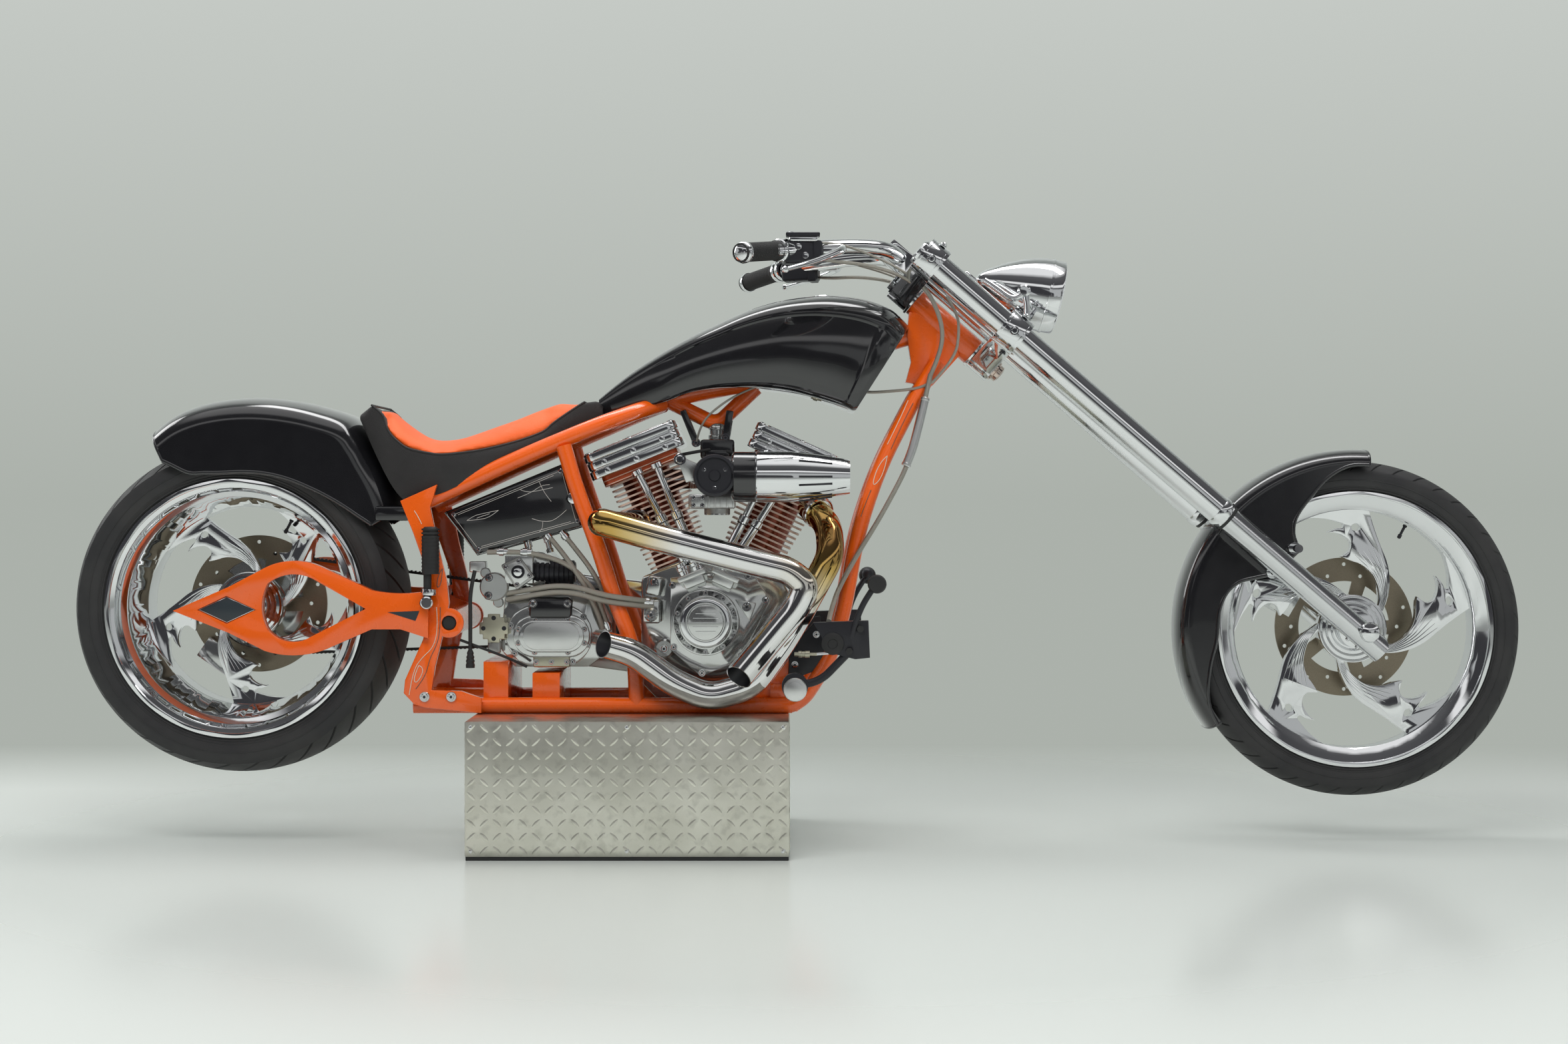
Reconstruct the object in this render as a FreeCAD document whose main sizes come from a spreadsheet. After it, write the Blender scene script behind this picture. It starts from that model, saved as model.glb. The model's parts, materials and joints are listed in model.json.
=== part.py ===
"""Chopper motorcycle standing on a tread-plate plinth.

Millimetres, +Z up, +X forwards, +Y to the rider's left.  The origin lies on the floor under
the middle of the overall length.  Every driving size is a cell of the sheet "sizes", and a
formula is a text that names those cells.
"""
import FreeCAD, Part
import math
import os

import Sketcher
from FreeCAD import Placement, Rotation, Vector

SIZES = (
    # alias, value: wheels and brakes
    ("wheelbase", 2292), ("middle_offset", 2.5), ("front_axle_z", 436), ("rear_axle_z", 482),
    ("front_tyre_radius", 346), ("front_tyre_width", 96), ("front_rim_radius", 284),
    ("front_rim_width", 90), ("front_well_radius", 246),
    ("rear_tyre_radius", 341), ("rear_tyre_width", 250), ("rear_rim_radius", 263),
    ("rear_rim_width", 230), ("rear_well_radius", 206), ("rear_blade_y", 45),
    ("rim_wall", 9), ("bead_inset", 6), ("seat_play", 0.3),
    ("blade_count", 5), ("blade_thickness", 22), ("front_blade_turn", 10), ("rear_blade_turn", 45),
    ("hub_radius", 38), ("flange_radius", 70), ("flange_thickness", 40),
    ("axle_radius", 12), ("bearing_play", 0.05),
    ("rotor_radius", 145), ("rotor_bore", 97), ("rotor_thickness", 5), ("rotor_hole", 4),
    ("front_rotor_y", 60), ("rear_rotor_y", 122),
    ("belt_y", 130), ("belt_width", 14), ("belt_thickness", 5), ("belt_play", 0.5),
    ("pulley_radius", 105), ("drive_pulley_radius", 52), ("drive_shaft_radius", 18),
    ("caliper_length", 84), ("caliper_reach", 47), ("caliper_wall", 17), ("pad_gap", 5),
    # steering head and fork
    ("rake", 49.13), ("fork_reach", 1052.7), ("axle_lead", 80.2), ("fork_offset", 71),
    ("leg_spacing", 260), ("fork_upper_radius", 28.5), ("fork_lower_radius", 25.5),
    ("fork_top", 120), ("fork_joint", -670), ("fork_bottom", -1105), ("fork_nose", 41),
    ("stem_radius", 12.7), ("stem_play", 0.3), ("head_tube_radius", 29),
    ("head_tube_top", 74), ("head_tube_bottom", -86),
    ("top_tree_z", 80), ("top_tree_thickness", 46),
    ("lower_tree_z", -142), ("lower_tree_thickness", 50), ("tree_clamp_radius", 39),
    ("tree_boss_radius", 30), ("riser_length", 40), ("riser_width", 30), ("riser_height", 64),
    ("riser_spacing", 90),
    ("bar_radius", 15.9), ("grip_radius", 19), ("grip_length", 135), ("housing_radius", 23),
    ("housing_length", 38), ("lever_radius", 6),
    ("lamp_radius", 76), ("lamp_length", 176), ("lamp_tilt", 12.6),
    # frame
    ("rail_y", 130), ("rail_radius", 16), ("upper_rail_radius", 17), ("down_tube_radius", 16),
    ("backbone_radius", 20), ("plate_thickness", 16), ("plate_y", 150),
    ("pivot_x", -705), ("pivot_z", 455), ("pivot_bore", 14.7), ("pivot_boss", 29.5),
    ("pivot_tube_radius", 27), ("gusset_thickness", 48),
    ("swingarm_y", 151), ("swingarm_thickness", 28), ("tip_inset_depth", 8), ("brace_radius", 15),
    ("link_thickness", 14),
    # plinth
    ("plinth_length", 635), ("plinth_width", 630), ("plinth_height", 271),
    ("plinth_middle_x", -338), ("plinth_wall", 12),
    # engine and drive
    ("crank_x", -180), ("crank_z", 410), ("rear_bank", 22), ("front_bank", 24.4),
    ("deck_height", 180), ("barrel_radius", 52), ("fin_length", 150), ("fin_width", 150),
    ("fin_thickness", 4), ("fin_pitch", 11), ("fin_count", 19), ("rocker_deck", 396),
    ("rocker_length", 203), ("rocker_height", 57), ("rocker_half_width", 114),
    ("rocker_round", 9), ("intake_z", 745), ("crankcase_half_width", 95), ("cam_cover_depth", 45),
    ("pushrod_radius", 9), ("pushrod_gap", 10), ("intake_radius", 20), ("carburettor_radius", 30),
    ("pipe_radius", 28), ("front_pipe_y", 178), ("rear_pipe_y", 237),
    ("gearbox_half_width", 95), ("drive_x", -500), ("drive_z", 450),
    ("primary_thickness", 48), ("primary_radius", 100), ("primary_gap", 5),
    # bodywork
    ("tank_tunnel", 30), ("cap_radius", 32), ("cap_height", 14),
    ("oil_tank_half_width", 110), ("oil_pin_radius", 8), ("fender_wall", 4),
    ("rear_fender_half_width", 137), ("front_fender_half_width", 66),
    ("front_fender_radius", 370), ("fender_shoulder", 30), ("fender_peg_radius", 8),
    ("seat_base_width", 300), ("seat_pad_width", 284), ("cable_radius", 5),
    # controls and side stand
    ("control_y", 228), ("control_thickness", 24), ("footpeg_radius", 16), ("footpeg_length", 88),
    ("passenger_peg_radius", 17), ("passenger_peg_length", 74),
    ("stand_length", 280), ("stand_radius", 8), ("stand_foot_radius", 12),
    ("stand_pin_radius", 5), ("stand_eye_radius", 11), ("stand_eye_height", 16),
    ("stand_pivot_x", 8), ("stand_pivot_y", 172), ("stand_pivot_z", 289),
)

doc = FreeCAD.newDocument("chopper")
sheet = doc.addObject("Spreadsheet::Sheet", "sizes")
for row, (alias, number) in enumerate(SIZES, start=1):
    sheet.set("A%d" % row, alias)
    sheet.set("B%d" % row, str(number))
    sheet.setAlias("B%d" % row, alias)
doc.recompute()

REAR_X = "-(sizes.wheelbase / 2 + sizes.middle_offset)"
FRONT_X = "(sizes.wheelbase / 2 - sizes.middle_offset)"
Y_AXIS = Vector(0, 1, 0)
UP = Vector(0, 0, 1)
NODES = []


def value(formula):
    """The number that a formula on the sheet gives."""
    return float(sheet.evalExpression(formula))


def keep(part):
    """Count a document object as a sub-part of the machine, named by its label."""
    part.Label = part.Name
    NODES.append(part)
    return part


def bound(kind, name, formulas):
    """A document object whose properties follow formulas on the sheet."""
    part = doc.addObject(kind, name)
    for field, formula in formulas.items():
        part.setExpression(field, formula)
    return part


def bar(name, radius, x, z, start, length):
    """A round bar along Y."""
    part = bound("Part::Cylinder", name, {"Radius": radius, "Height": length})
    part.Placement = Placement(Vector(), Rotation(Vector(1, 0, 0), -90))
    for axis, formula in (("x", x), ("y", start), ("z", z)):
        part.setExpression("Placement.Base." + axis, formula)
    return part


def block(name, sides, corner):
    """A box, from formulas for its length, width and height and for its lowest corner."""
    fields = dict(zip(("Length", "Width", "Height"), sides))
    fields.update(zip(("Placement.Base.x", "Placement.Base.y", "Placement.Base.z"), corner))
    return bound("Part::Box", name, fields)


def fused(name, *pieces):
    """Several pieces as one."""
    part = doc.addObject("Part::MultiFuse", name)
    part.Shapes = list(pieces)
    return part


def cut(name, base, *tools):
    """A piece less the tools."""
    part = doc.addObject("Part::Cut", name)
    part.Base = base
    part.Tool = tools[0] if len(tools) == 1 else fused(name + "_tools", *tools)
    return part


def shared(name, first, second):
    """What two pieces have in common."""
    part = doc.addObject("Part::Common", name)
    part.Base = first
    part.Tool = second
    return part


def mirrored(piece):
    """The same piece on the other side of the machine."""
    part = doc.addObject("Part::Mirroring", piece.Name + "_left")
    part.Source = piece
    part.Normal = Y_AXIS
    return part


def group(name, *pieces):
    """Pieces that don't touch, as one sub-part."""
    part = doc.addObject("Part::Compound", name)
    part.Links = list(pieces)
    return part


def set_shape(name, shape):
    """A document object whose shape is worked out here."""
    part = doc.addObject("Part::Feature", name)
    part.Shape = shape
    return part


def polar_rows(rows, radius, turn=0):
    """Outline rows of (degrees, share of radius) pairs, as points round the origin."""
    turned_rows = []
    for row in rows:
        points = []
        for degrees, share in zip(row[::2], row[1::2]):
            angle = math.radians(degrees + turn)
            points += [radius * share * math.cos(angle), radius * share * math.sin(angle)]
        turned_rows.append(tuple(points))
    return turned_rows


class Casting:
    """A body of pads, pockets, revolutions and patterns on its own origin planes."""

    def __init__(self, name):
        self.body = doc.addObject("PartDesign::Body", name)

    def datum(self, role):
        """One of the body's own planes or axes."""
        return next(item for item in self.body.Origin.OriginFeatures if item.Role == role)

    def sketch(self, role, offset):
        """An empty sketch on a plane, moved along +X, +Y or +Z by the offset."""
        sketch = self.body.newObject("Sketcher::SketchObject", self.body.Name + "_sketch")
        sketch.AttachmentSupport = (self.datum(role), [""])
        sketch.MapMode = "FlatFace"
        away = "-(%s)" % offset if role == "XZ_Plane" else offset
        sketch.setExpression("AttachmentOffset.Base.z", away)
        return sketch

    def outline(self, rows, role="XZ_Plane", offset="0"):
        """A closed outline.  A row (x, z) is a straight side to that corner, and a row
        (through_x, through_z, x, z) is an arc to its second point through its first."""
        sketch = self.sketch(role, offset)
        here = Vector(*rows[-1][-2:], 0)
        for row in rows:
            there = Vector(*row[-2:], 0)
            if len(row) == 2:
                sketch.addGeometry(Part.LineSegment(here, there))
            else:
                sketch.addGeometry(Part.Arc(here, Vector(row[0], row[1], 0), there))
            here = there
        return sketch

    def circle(self, radius, x, z, role="XZ_Plane", offset="0"):
        """A circle whose radius and centre follow formulas."""
        sketch = self.sketch(role, offset)
        spot = Vector(value(x), value(z), 0)
        ring = sketch.addGeometry(Part.Circle(spot, UP, value(radius)))
        rules = [("Radius", (ring,), radius)]
        if spot.Length > 0:
            rules += [("DistanceX", (-1, 1, ring, 3), x), ("DistanceY", (-1, 1, ring, 3), z)]
        else:
            sketch.addConstraint(Sketcher.Constraint("Coincident", ring, 3, -1, 1))
        for kind, place, formula in rules:
            number = sketch.addConstraint(Sketcher.Constraint(kind, *place, value(formula)))
            sketch.setExpression("Constraints[%d]" % number, formula)
        return sketch

    def feature(self, kind, sketch, length):
        """A pad or pocket that runs in the positive direction from its sketch."""
        part = self.body.newObject(kind, self.body.Name + "_feature")
        part.Profile = sketch
        part.setExpression("Length", length)
        backward_plane = sketch.AttachmentSupport[0][0].Role == "XZ_Plane"
        part.Reversed = backward_plane == (kind == "PartDesign::Pad")
        return part

    def pad(self, sketch, length):
        """Material from a sketch."""
        return self.feature("PartDesign::Pad", sketch, length)

    def pocket(self, sketch, length):
        """A recess or hole from a sketch."""
        return self.feature("PartDesign::Pocket", sketch, length)

    def revolve(self, rows):
        """A ring about Y: rows are (distance along Y, radius)."""
        part = self.body.newObject("PartDesign::Revolution", self.body.Name + "_ring")
        part.Profile = self.outline(rows, "YZ_Plane")
        part.ReferenceAxis = (part.Profile[0], ["H_Axis"])
        part.Angle = 360
        return part

    def around(self, features, count):
        """Copies of the features about the body's Y axis."""
        part = self.body.newObject("PartDesign::PolarPattern", self.body.Name + "_pattern")
        part.Originals = features
        part.Axis = (self.datum("Y_Axis"), [""])
        part.Angle = 360
        part.setExpression("Occurrences", count)
        self.body.Tip = part
        return part

    def round_off(self, radius):
        """Round every edge of the body so far."""
        doc.recompute()
        base = self.body.Tip
        part = self.body.newObject("PartDesign::Fillet", self.body.Name + "_round")
        part.Base = (base, ["Face%d" % number for number in range(1, len(base.Shape.Faces) + 1)])
        part.setExpression("Radius", radius)
        return part

    def place(self, x, y, z):
        """Stand the finished body at a point given by formulas."""
        for axis, formula in (("x", x), ("y", y), ("z", z)):
            self.body.setExpression("Placement.Base." + axis, formula)
        return self.body



# ---------------------------------------------------------------- routes and rods
def bent_path(points, share):
    """Straight runs joined by tangent arcs, each as large as its shorter run allows."""
    points = [Vector(*point) for point in points]
    edges = []
    start = points[0]
    for before, corner, after in zip(points, points[1:], points[2:]):
        inward = (before - corner).normalize()
        outward = (after - corner).normalize()
        half_turn = math.acos(max(-1.0, min(1.0, -inward.dot(outward)))) / 2
        trim = share * min((before - corner).Length, (after - corner).Length)
        radius = trim / math.tan(half_turn)
        bisector = (inward + outward).normalize()
        middle = corner + bisector * (radius / math.cos(half_turn) - radius)
        edges.append(Part.LineSegment(start, corner + inward * trim).toShape())
        edges.append(Part.Arc(corner + inward * trim, middle, corner + outward * trim).toShape())
        start = corner + outward * trim
    edges.append(Part.LineSegment(start, points[-1]).toShape())
    return Part.Wire(edges)


def pipe(name, points, radius, share=0.45):
    """A round bar along bent_path."""
    route = set_shape(name + "_route", bent_path(points, share))
    ring = bound("Part::Circle", name + "_ring", {"Radius": radius})
    start = Vector(*points[0])
    ring.Placement = Placement(start, Rotation(UP, Vector(*points[1]) - start))
    part = doc.addObject("Part::Sweep", name)
    part.Sections = [ring]
    part.Spine = (route, ["Edge%d" % number for number in range(1, len(route.Shape.Edges) + 1)])
    part.Solid = True
    return part


def rod(name, radius, start, direction, length):
    """A straight round bar from a point along a direction."""
    part = bound("Part::Cylinder", name, {"Radius": radius, "Height": length})
    part.Placement = Placement(start, Rotation(UP, direction))
    return part


def ball(name, radius, centre):
    """A sphere."""
    part = bound("Part::Sphere", name, {"Radius": radius})
    part.Placement = Placement(centre, Rotation())
    return part


def plate(name, rows, start, thickness):
    """One outline in side view, drawn out along +Y."""
    casting = Casting(name)
    casting.pad(casting.outline(rows, offset=start), thickness)
    return casting.body


def plan_plate(name, rows, start, thickness):
    """One outline in plan view, drawn upwards."""
    casting = Casting(name)
    casting.pad(casting.outline(rows, "XY_Plane", start), thickness)
    return casting.body


rear_axle = Vector(value(REAR_X), 0, value("sizes.rear_axle_z"))
front_axle = Vector(value(FRONT_X), 0, value("sizes.front_axle_z"))
steer_turn = Rotation(Y_AXIS, -value("sizes.rake"))
head = front_axle - steer_turn.multVec(Vector(value("sizes.axle_lead"), 0,
                                              -value("sizes.fork_reach")))
steer = Placement(head, steer_turn)


def on_stem(name, radius, low, length, x="0", y="0"):
    """A round bar along the steering axis, placed forward and to the left of it."""
    part = bound("Part::Cylinder", name, {"Radius": radius, "Height": length})
    spot = Vector(value(x), value(y), value(low))
    part.Placement = steer.multiply(Placement(spot, Rotation()))
    return part


# ---------------------------------------------------------------- tyres, discs and pulleys
TYRE_SHOULDER = 0.32  # share of the sidewall taken by the crown
TREAD_SHARE = 0.92    # tread width over tyre width


def tyre(name, radius, width, rim_radius, rim_width):
    """Tyre carcass round the rim's beads."""
    crown = value(radius)
    foot = value(rim_radius)
    half = value(width) / 2
    bead = value(rim_width) / 2 - value("sizes.bead_inset")
    shoulder = crown - TYRE_SHOULDER * (crown - foot)
    waist = (foot + shoulder) / 2
    edge = TREAD_SHARE * half
    casting = Casting(name)
    casting.revolve(((bead, foot), (half, waist, edge, shoulder),
                     (0, crown, -edge, shoulder), (-half, waist, -bead, foot)))
    return casting


keep(tyre("front_tyre", "sizes.front_tyre_radius", "sizes.front_tyre_width",
          "sizes.front_rim_radius", "sizes.front_rim_width")
     .place(FRONT_X, "0", "sizes.front_axle_z"))
keep(tyre("rear_tyre", "sizes.rear_tyre_radius", "sizes.rear_tyre_width",
          "sizes.rear_rim_radius", "sizes.rear_rim_width")
     .place(REAR_X, "0", "sizes.rear_axle_z"))

# (degrees, share of the disc's radius), arcs as in Casting.outline
ROTOR_WINDOW = ((12, 0.35), (33, 0.35, 54, 0.35), (62, 0.66), (35, 0.66, 8, 0.66))
# hole circle's distance inside the rim of the disc, degrees of its first hole
ROTOR_HOLES = ((34, 0), (14, 18))


def rotor(name, start):
    """Brake disc with windows and two circles of drilled holes."""
    casting = Casting(name)
    casting.pad(casting.circle("sizes.rotor_radius", "0", "0", offset=start),
                "sizes.rotor_thickness")
    window = casting.pocket(
        casting.outline(polar_rows(ROTOR_WINDOW, value("sizes.rotor_radius")), offset=start),
        "sizes.rotor_thickness")
    casting.around([window], "sizes.blade_count")
    for inset, degrees in ROTOR_HOLES:
        reach = "(sizes.rotor_radius - %d)" % inset
        hole = casting.pocket(
            casting.circle("sizes.rotor_hole", "%s * cos(%d)" % (reach, degrees),
                           "%s * sin(%d)" % (reach, degrees), offset=start),
            "sizes.rotor_thickness")
        casting.around([hole], "2 * sizes.blade_count")
    casting.pocket(casting.circle("sizes.axle_radius + sizes.bearing_play", "0", "0",
                                  offset=start), "sizes.rotor_thickness")
    return casting


keep(rotor("front_rotor", "sizes.front_rotor_y").place(FRONT_X, "0", "sizes.front_axle_z"))
keep(rotor("rear_rotor", "sizes.rear_rotor_y").place(REAR_X, "0", "sizes.rear_axle_z"))

PULLEY_LOW = "(sizes.rear_rotor_y + sizes.rotor_thickness)"
BELT_HIGH = "(sizes.belt_y + sizes.belt_width)"
pulley_solid = fused(
    "rear_pulley_solid",
    bar("pulley_rim", "sizes.pulley_radius", REAR_X, "sizes.rear_axle_z", "sizes.belt_y",
        "sizes.belt_width"),
    bar("pulley_hub", "sizes.hub_radius", REAR_X, "sizes.rear_axle_z", PULLEY_LOW,
        "%s - %s" % (BELT_HIGH, PULLEY_LOW)))
keep(cut("rear_pulley", pulley_solid,
         bar("pulley_bore", "sizes.axle_radius + sizes.bearing_play", REAR_X,
             "sizes.rear_axle_z", PULLEY_LOW, "%s - %s" % (BELT_HIGH, PULLEY_LOW))))


def belt_loop(name, grow):
    """Everything inside a belt that stands a distance off both pulleys."""
    big = value("sizes.pulley_radius + " + grow)
    small = value("sizes.drive_pulley_radius + " + grow)
    near_x, near_z = value("sizes.drive_x"), value("sizes.drive_z")
    run = plate(name + "_run", ((rear_axle.x, rear_axle.z + big), (near_x, near_z + small),
                                (near_x, near_z - small), (rear_axle.x, rear_axle.z - big)),
                "sizes.belt_y", "sizes.belt_width")
    return fused(name, run,
                 bar(name + "_rear", "sizes.pulley_radius + " + grow, REAR_X,
                     "sizes.rear_axle_z", "sizes.belt_y", "sizes.belt_width"),
                 bar(name + "_front", "sizes.drive_pulley_radius + " + grow, "sizes.drive_x",
                     "sizes.drive_z", "sizes.belt_y", "sizes.belt_width"))


keep(cut("drive_belt", belt_loop("belt_outside", "sizes.belt_play + sizes.belt_thickness"),
         belt_loop("belt_inside", "sizes.belt_play")))

# ---------------------------------------------------------------- plinth
plinth_outside = block(
    "plinth_outside", ("sizes.plinth_length", "sizes.plinth_width", "sizes.plinth_height"),
    ("sizes.plinth_middle_x - sizes.plinth_length / 2", "-sizes.plinth_width / 2", "0"))
plinth_inside = block(
    "plinth_inside", ("sizes.plinth_length - 2 * sizes.plinth_wall",
                      "sizes.plinth_width - 2 * sizes.plinth_wall",
                      "sizes.plinth_height - 2 * sizes.plinth_wall"),
    ("sizes.plinth_middle_x - sizes.plinth_length / 2 + sizes.plinth_wall",
     "-sizes.plinth_width / 2 + sizes.plinth_wall", "sizes.plinth_wall"))
keep(cut("plinth", plinth_outside, plinth_inside))

# ---------------------------------------------------------------- frame
rail_y = value("sizes.rail_y")
rail_z = value("sizes.plinth_height + sizes.rail_radius")
plate_y = value("sizes.plate_y")
PLATE_LOW = "-(sizes.plate_y + sizes.plate_thickness)"
plate_casting = Casting("rear_plate")
plate_casting.pad(plate_casting.outline(
    ((-803, 700), (-777, 636), (-744, 542), (-740, 502), (-757, 422), (-793, 341), (-796, 314),
     (-775, 292), (-753, 285), (-640, 274), (-640, 304), (-680, 318), (-740, 320), (-733, 368),
     (-718, 430), (-705, 495), (-710, 542), (-727, 609), (-743, 687), (-729, 733)),
    offset=PLATE_LOW), "sizes.plate_thickness")
plate_casting.pad(plate_casting.circle("sizes.pivot_boss", "sizes.pivot_x", "sizes.pivot_z",
                                       offset=PLATE_LOW), "sizes.plate_thickness")
plate_casting.pocket(plate_casting.circle("sizes.pivot_bore", "sizes.pivot_x", "sizes.pivot_z",
                                          offset=PLATE_LOW), "sizes.plate_thickness")
rear_plate = plate_casting.body
far_plate = mirrored(rear_plate)
keep(group("rear_plates", rear_plate, far_plate))

lower_rail = pipe("lower_rail", ((-780, rail_y * -1 - 4, rail_z), (-600, -rail_y, rail_z),
                                 (-16, -rail_y, rail_z)), "sizes.rail_radius")
far_lower_rail = mirrored(lower_rail)
keep(group("lower_rails", lower_rail, far_lower_rail))

head_length = "sizes.head_tube_top - sizes.head_tube_bottom"
head_tube = on_stem("head_tube", "sizes.head_tube_radius", "sizes.head_tube_bottom", head_length)
head_bore = on_stem("head_bore", "sizes.stem_radius + sizes.stem_play",
                    "sizes.head_tube_bottom", head_length)
gusset = plate("gusset", ((226, 1090), (222, 1041), (230, 986), (219, 945), (274, 938),
                          (330, 1000), (300, 1080)),
               "-sizes.gusset_thickness / 2", "sizes.gusset_thickness")
neck = keep(cut("neck", fused("neck_solid", head_tube, gusset), head_bore))

down_route = pipe("down_route", ((-16, -rail_y, rail_z), (10, -rail_y, rail_z + 18),
                                 (60, -118, 380), (90, -104, 480), (117, -90, 635),
                                 (163, -74, 771), (241, -48, 920), (285, -30, 985)),
                  "sizes.down_tube_radius")
down_tube = cut("down_tube", down_route, neck, lower_rail)
far_down_tube = mirrored(down_tube)

spine = cut("spine", pipe("spine_route", ((250, 0, 1050), (120, 0, 1010), (-60, 0, 955),
                                          (-268, 0, 915), (-330, 0, 900)),
                          "sizes.backbone_radius"), neck)
hanger = pipe("hanger", ((-268, 0, 905), (-172, 0, 858), (-90, 0, 935)), "sizes.rail_radius",
              0.2)
backbone = keep(fused("backbone", spine, hanger))
seat_rail = cut("seat_rail", pipe(
    "seat_rail_route", ((-775, value("sizes.upper_rail_radius") - plate_y, 690),
                        (-560, -rail_y, 790), (-413, 12 - rail_y, 852), (-330, -60, 885),
                        (-285, -14, 900)), "sizes.upper_rail_radius"), backbone)
far_seat_rail = mirrored(seat_rail)
keep(group("seat_rails", seat_rail, far_seat_rail))
seat_post = cut("seat_post", pipe(
    "seat_post_route", ((-478, -rail_y, 812), (-454, -rail_y, 730), (-402, -rail_y, 589),
                        (-380, -rail_y, 515), (-335, -rail_y, 400), (-330, -rail_y, rail_z)),
    "sizes.rail_radius"), seat_rail, lower_rail)
far_seat_post = mirrored(seat_post)
keep(group("seat_posts", seat_post, far_seat_post))

# swingarm: a pointed end plate with a dark inset, an eye, and a pinch before the pivot
ARM_LOW = "-(sizes.swingarm_y + sizes.swingarm_thickness)"
arm_casting = Casting("swingarm_blade")
arm_casting.pad(arm_casting.outline(
    ((-1256, 480), (-1144, 528), (-1072, 566), (-1018, 580, -960, 568), (-858, 521),
     (-810, 515, -745, 520), (-745, 425), (-800, 443), (-858, 443), (-952, 402),
     (-1018, 391, -1072, 400), (-1144, 436)), offset=ARM_LOW), "sizes.swingarm_thickness")
arm_casting.pocket(arm_casting.outline(
    ((-1018, 553, -970, 541), (-870, 484), (-980, 428), (-1020, 418, -1066, 442),
     (-1078, 490, -1066, 535)), offset=ARM_LOW), "sizes.swingarm_thickness")
INSET_LENGTH, INSET_HEIGHT = 59, 28
arm_casting.pocket(arm_casting.outline(
    ((rear_axle.x - INSET_LENGTH, rear_axle.z), (rear_axle.x, rear_axle.z + INSET_HEIGHT),
     (rear_axle.x + INSET_LENGTH, rear_axle.z), (rear_axle.x, rear_axle.z - INSET_HEIGHT)),
    offset=ARM_LOW), "sizes.tip_inset_depth")
arm = cut("swingarm_outer", arm_casting.body, rear_plate)
LINK_INSIDE = "(sizes.plate_y - sizes.link_thickness)"
link = plate("swingarm_link", ((-800, 505), (-745, 500), (-705, 482), (-705, 428),
                               (-745, 430), (-800, 450)), "-sizes.plate_y",
             "sizes.link_thickness")
bridge = cut("swingarm_bridge", plate("bridge_plate", ((-800, 505), (-765, 500), (-765, 445),
                                                       (-800, 450)), "-sizes.swingarm_y", "15"),
             rear_plate)
pivot_bore = bar("pivot_bore", "sizes.pivot_bore", "sizes.pivot_x", "sizes.pivot_z",
                 PLATE_LOW, "2 * (sizes.plate_y + sizes.plate_thickness)")
axle_hole = bar("axle_hole", "sizes.axle_radius", REAR_X, "sizes.rear_axle_z", ARM_LOW,
                "2 * (sizes.swingarm_y + sizes.swingarm_thickness)")
pivot_tube = cut("pivot_tube", bar("pivot_bar", "sizes.pivot_tube_radius", "sizes.pivot_x",
                                   "sizes.pivot_z", "-sizes.plate_y", "2 * sizes.plate_y"),
                 pivot_bore)
brace = bar("swingarm_brace", "sizes.brace_radius", "-778", "472", "-" + LINK_INSIDE,
            "2 * " + LINK_INSIDE)
keep(group("swingarm_tubes", pivot_tube, brace))
arm_side = cut("swingarm_side", fused("swingarm_solid", arm, link, bridge), axle_hole,
               pivot_bore, pivot_tube)
keep(group("swingarm", arm_side, mirrored(arm_side)))
AXLE_HALF = "(sizes.swingarm_y + sizes.swingarm_thickness - sizes.tip_inset_depth)"
keep(bar("rear_axle", "sizes.axle_radius", REAR_X, "sizes.rear_axle_z", "-" + AXLE_HALF,
         "2 * " + AXLE_HALF))

# ---------------------------------------------------------------- engine
crank = Vector(value("sizes.crank_x"), 0, value("sizes.crank_z"))
deck = value("sizes.deck_height")
half_fin = value("sizes.fin_length") / 2
BANKS = (("rear", -value("sizes.rear_bank")), ("front", value("sizes.front_bank")))


def bank_place(degrees, spot=Vector()):
    """Local +Z along a bore that leans forward by some degrees, from a point on the bank."""
    return Placement(crank, Rotation(Y_AXIS, degrees)).multiply(Placement(spot, Rotation()))


def on_bank(degrees, x, z):
    """A side-view point given across and along one bore."""
    spot = bank_place(degrees).multVec(Vector(x, 0, z))
    return (spot.x, spot.z)


keep(plate("crankcase", ((-323, 330), (-290, 296), (-70, 296), (-5, 350), (-5, 480),
                         on_bank(BANKS[1][1], half_fin, deck),
                         on_bank(BANKS[1][1], -half_fin * 0.9, deck),
                         on_bank(BANKS[0][1], half_fin * 0.9, deck),
                         on_bank(BANKS[0][1], -half_fin, deck), (-323, 540)),
           "-sizes.crankcase_half_width", "2 * sizes.crankcase_half_width"))

INTAKE_RISE = "(sizes.intake_z - sizes.crank_z)"
intake = bound("Part::Cylinder", "intake", {
    "Radius": "sizes.intake_radius",
    "Height": "%s * (tan(sizes.rear_bank) + tan(sizes.front_bank))" % INTAKE_RISE})
intake.Placement = Placement(Vector(0, -20, 0), Rotation(Y_AXIS, 90))
intake.setExpression("Placement.Base.x",
                     "sizes.crank_x - %s * tan(sizes.rear_bank)" % INTAKE_RISE)
intake.setExpression("Placement.Base.z", "sizes.intake_z")

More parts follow.
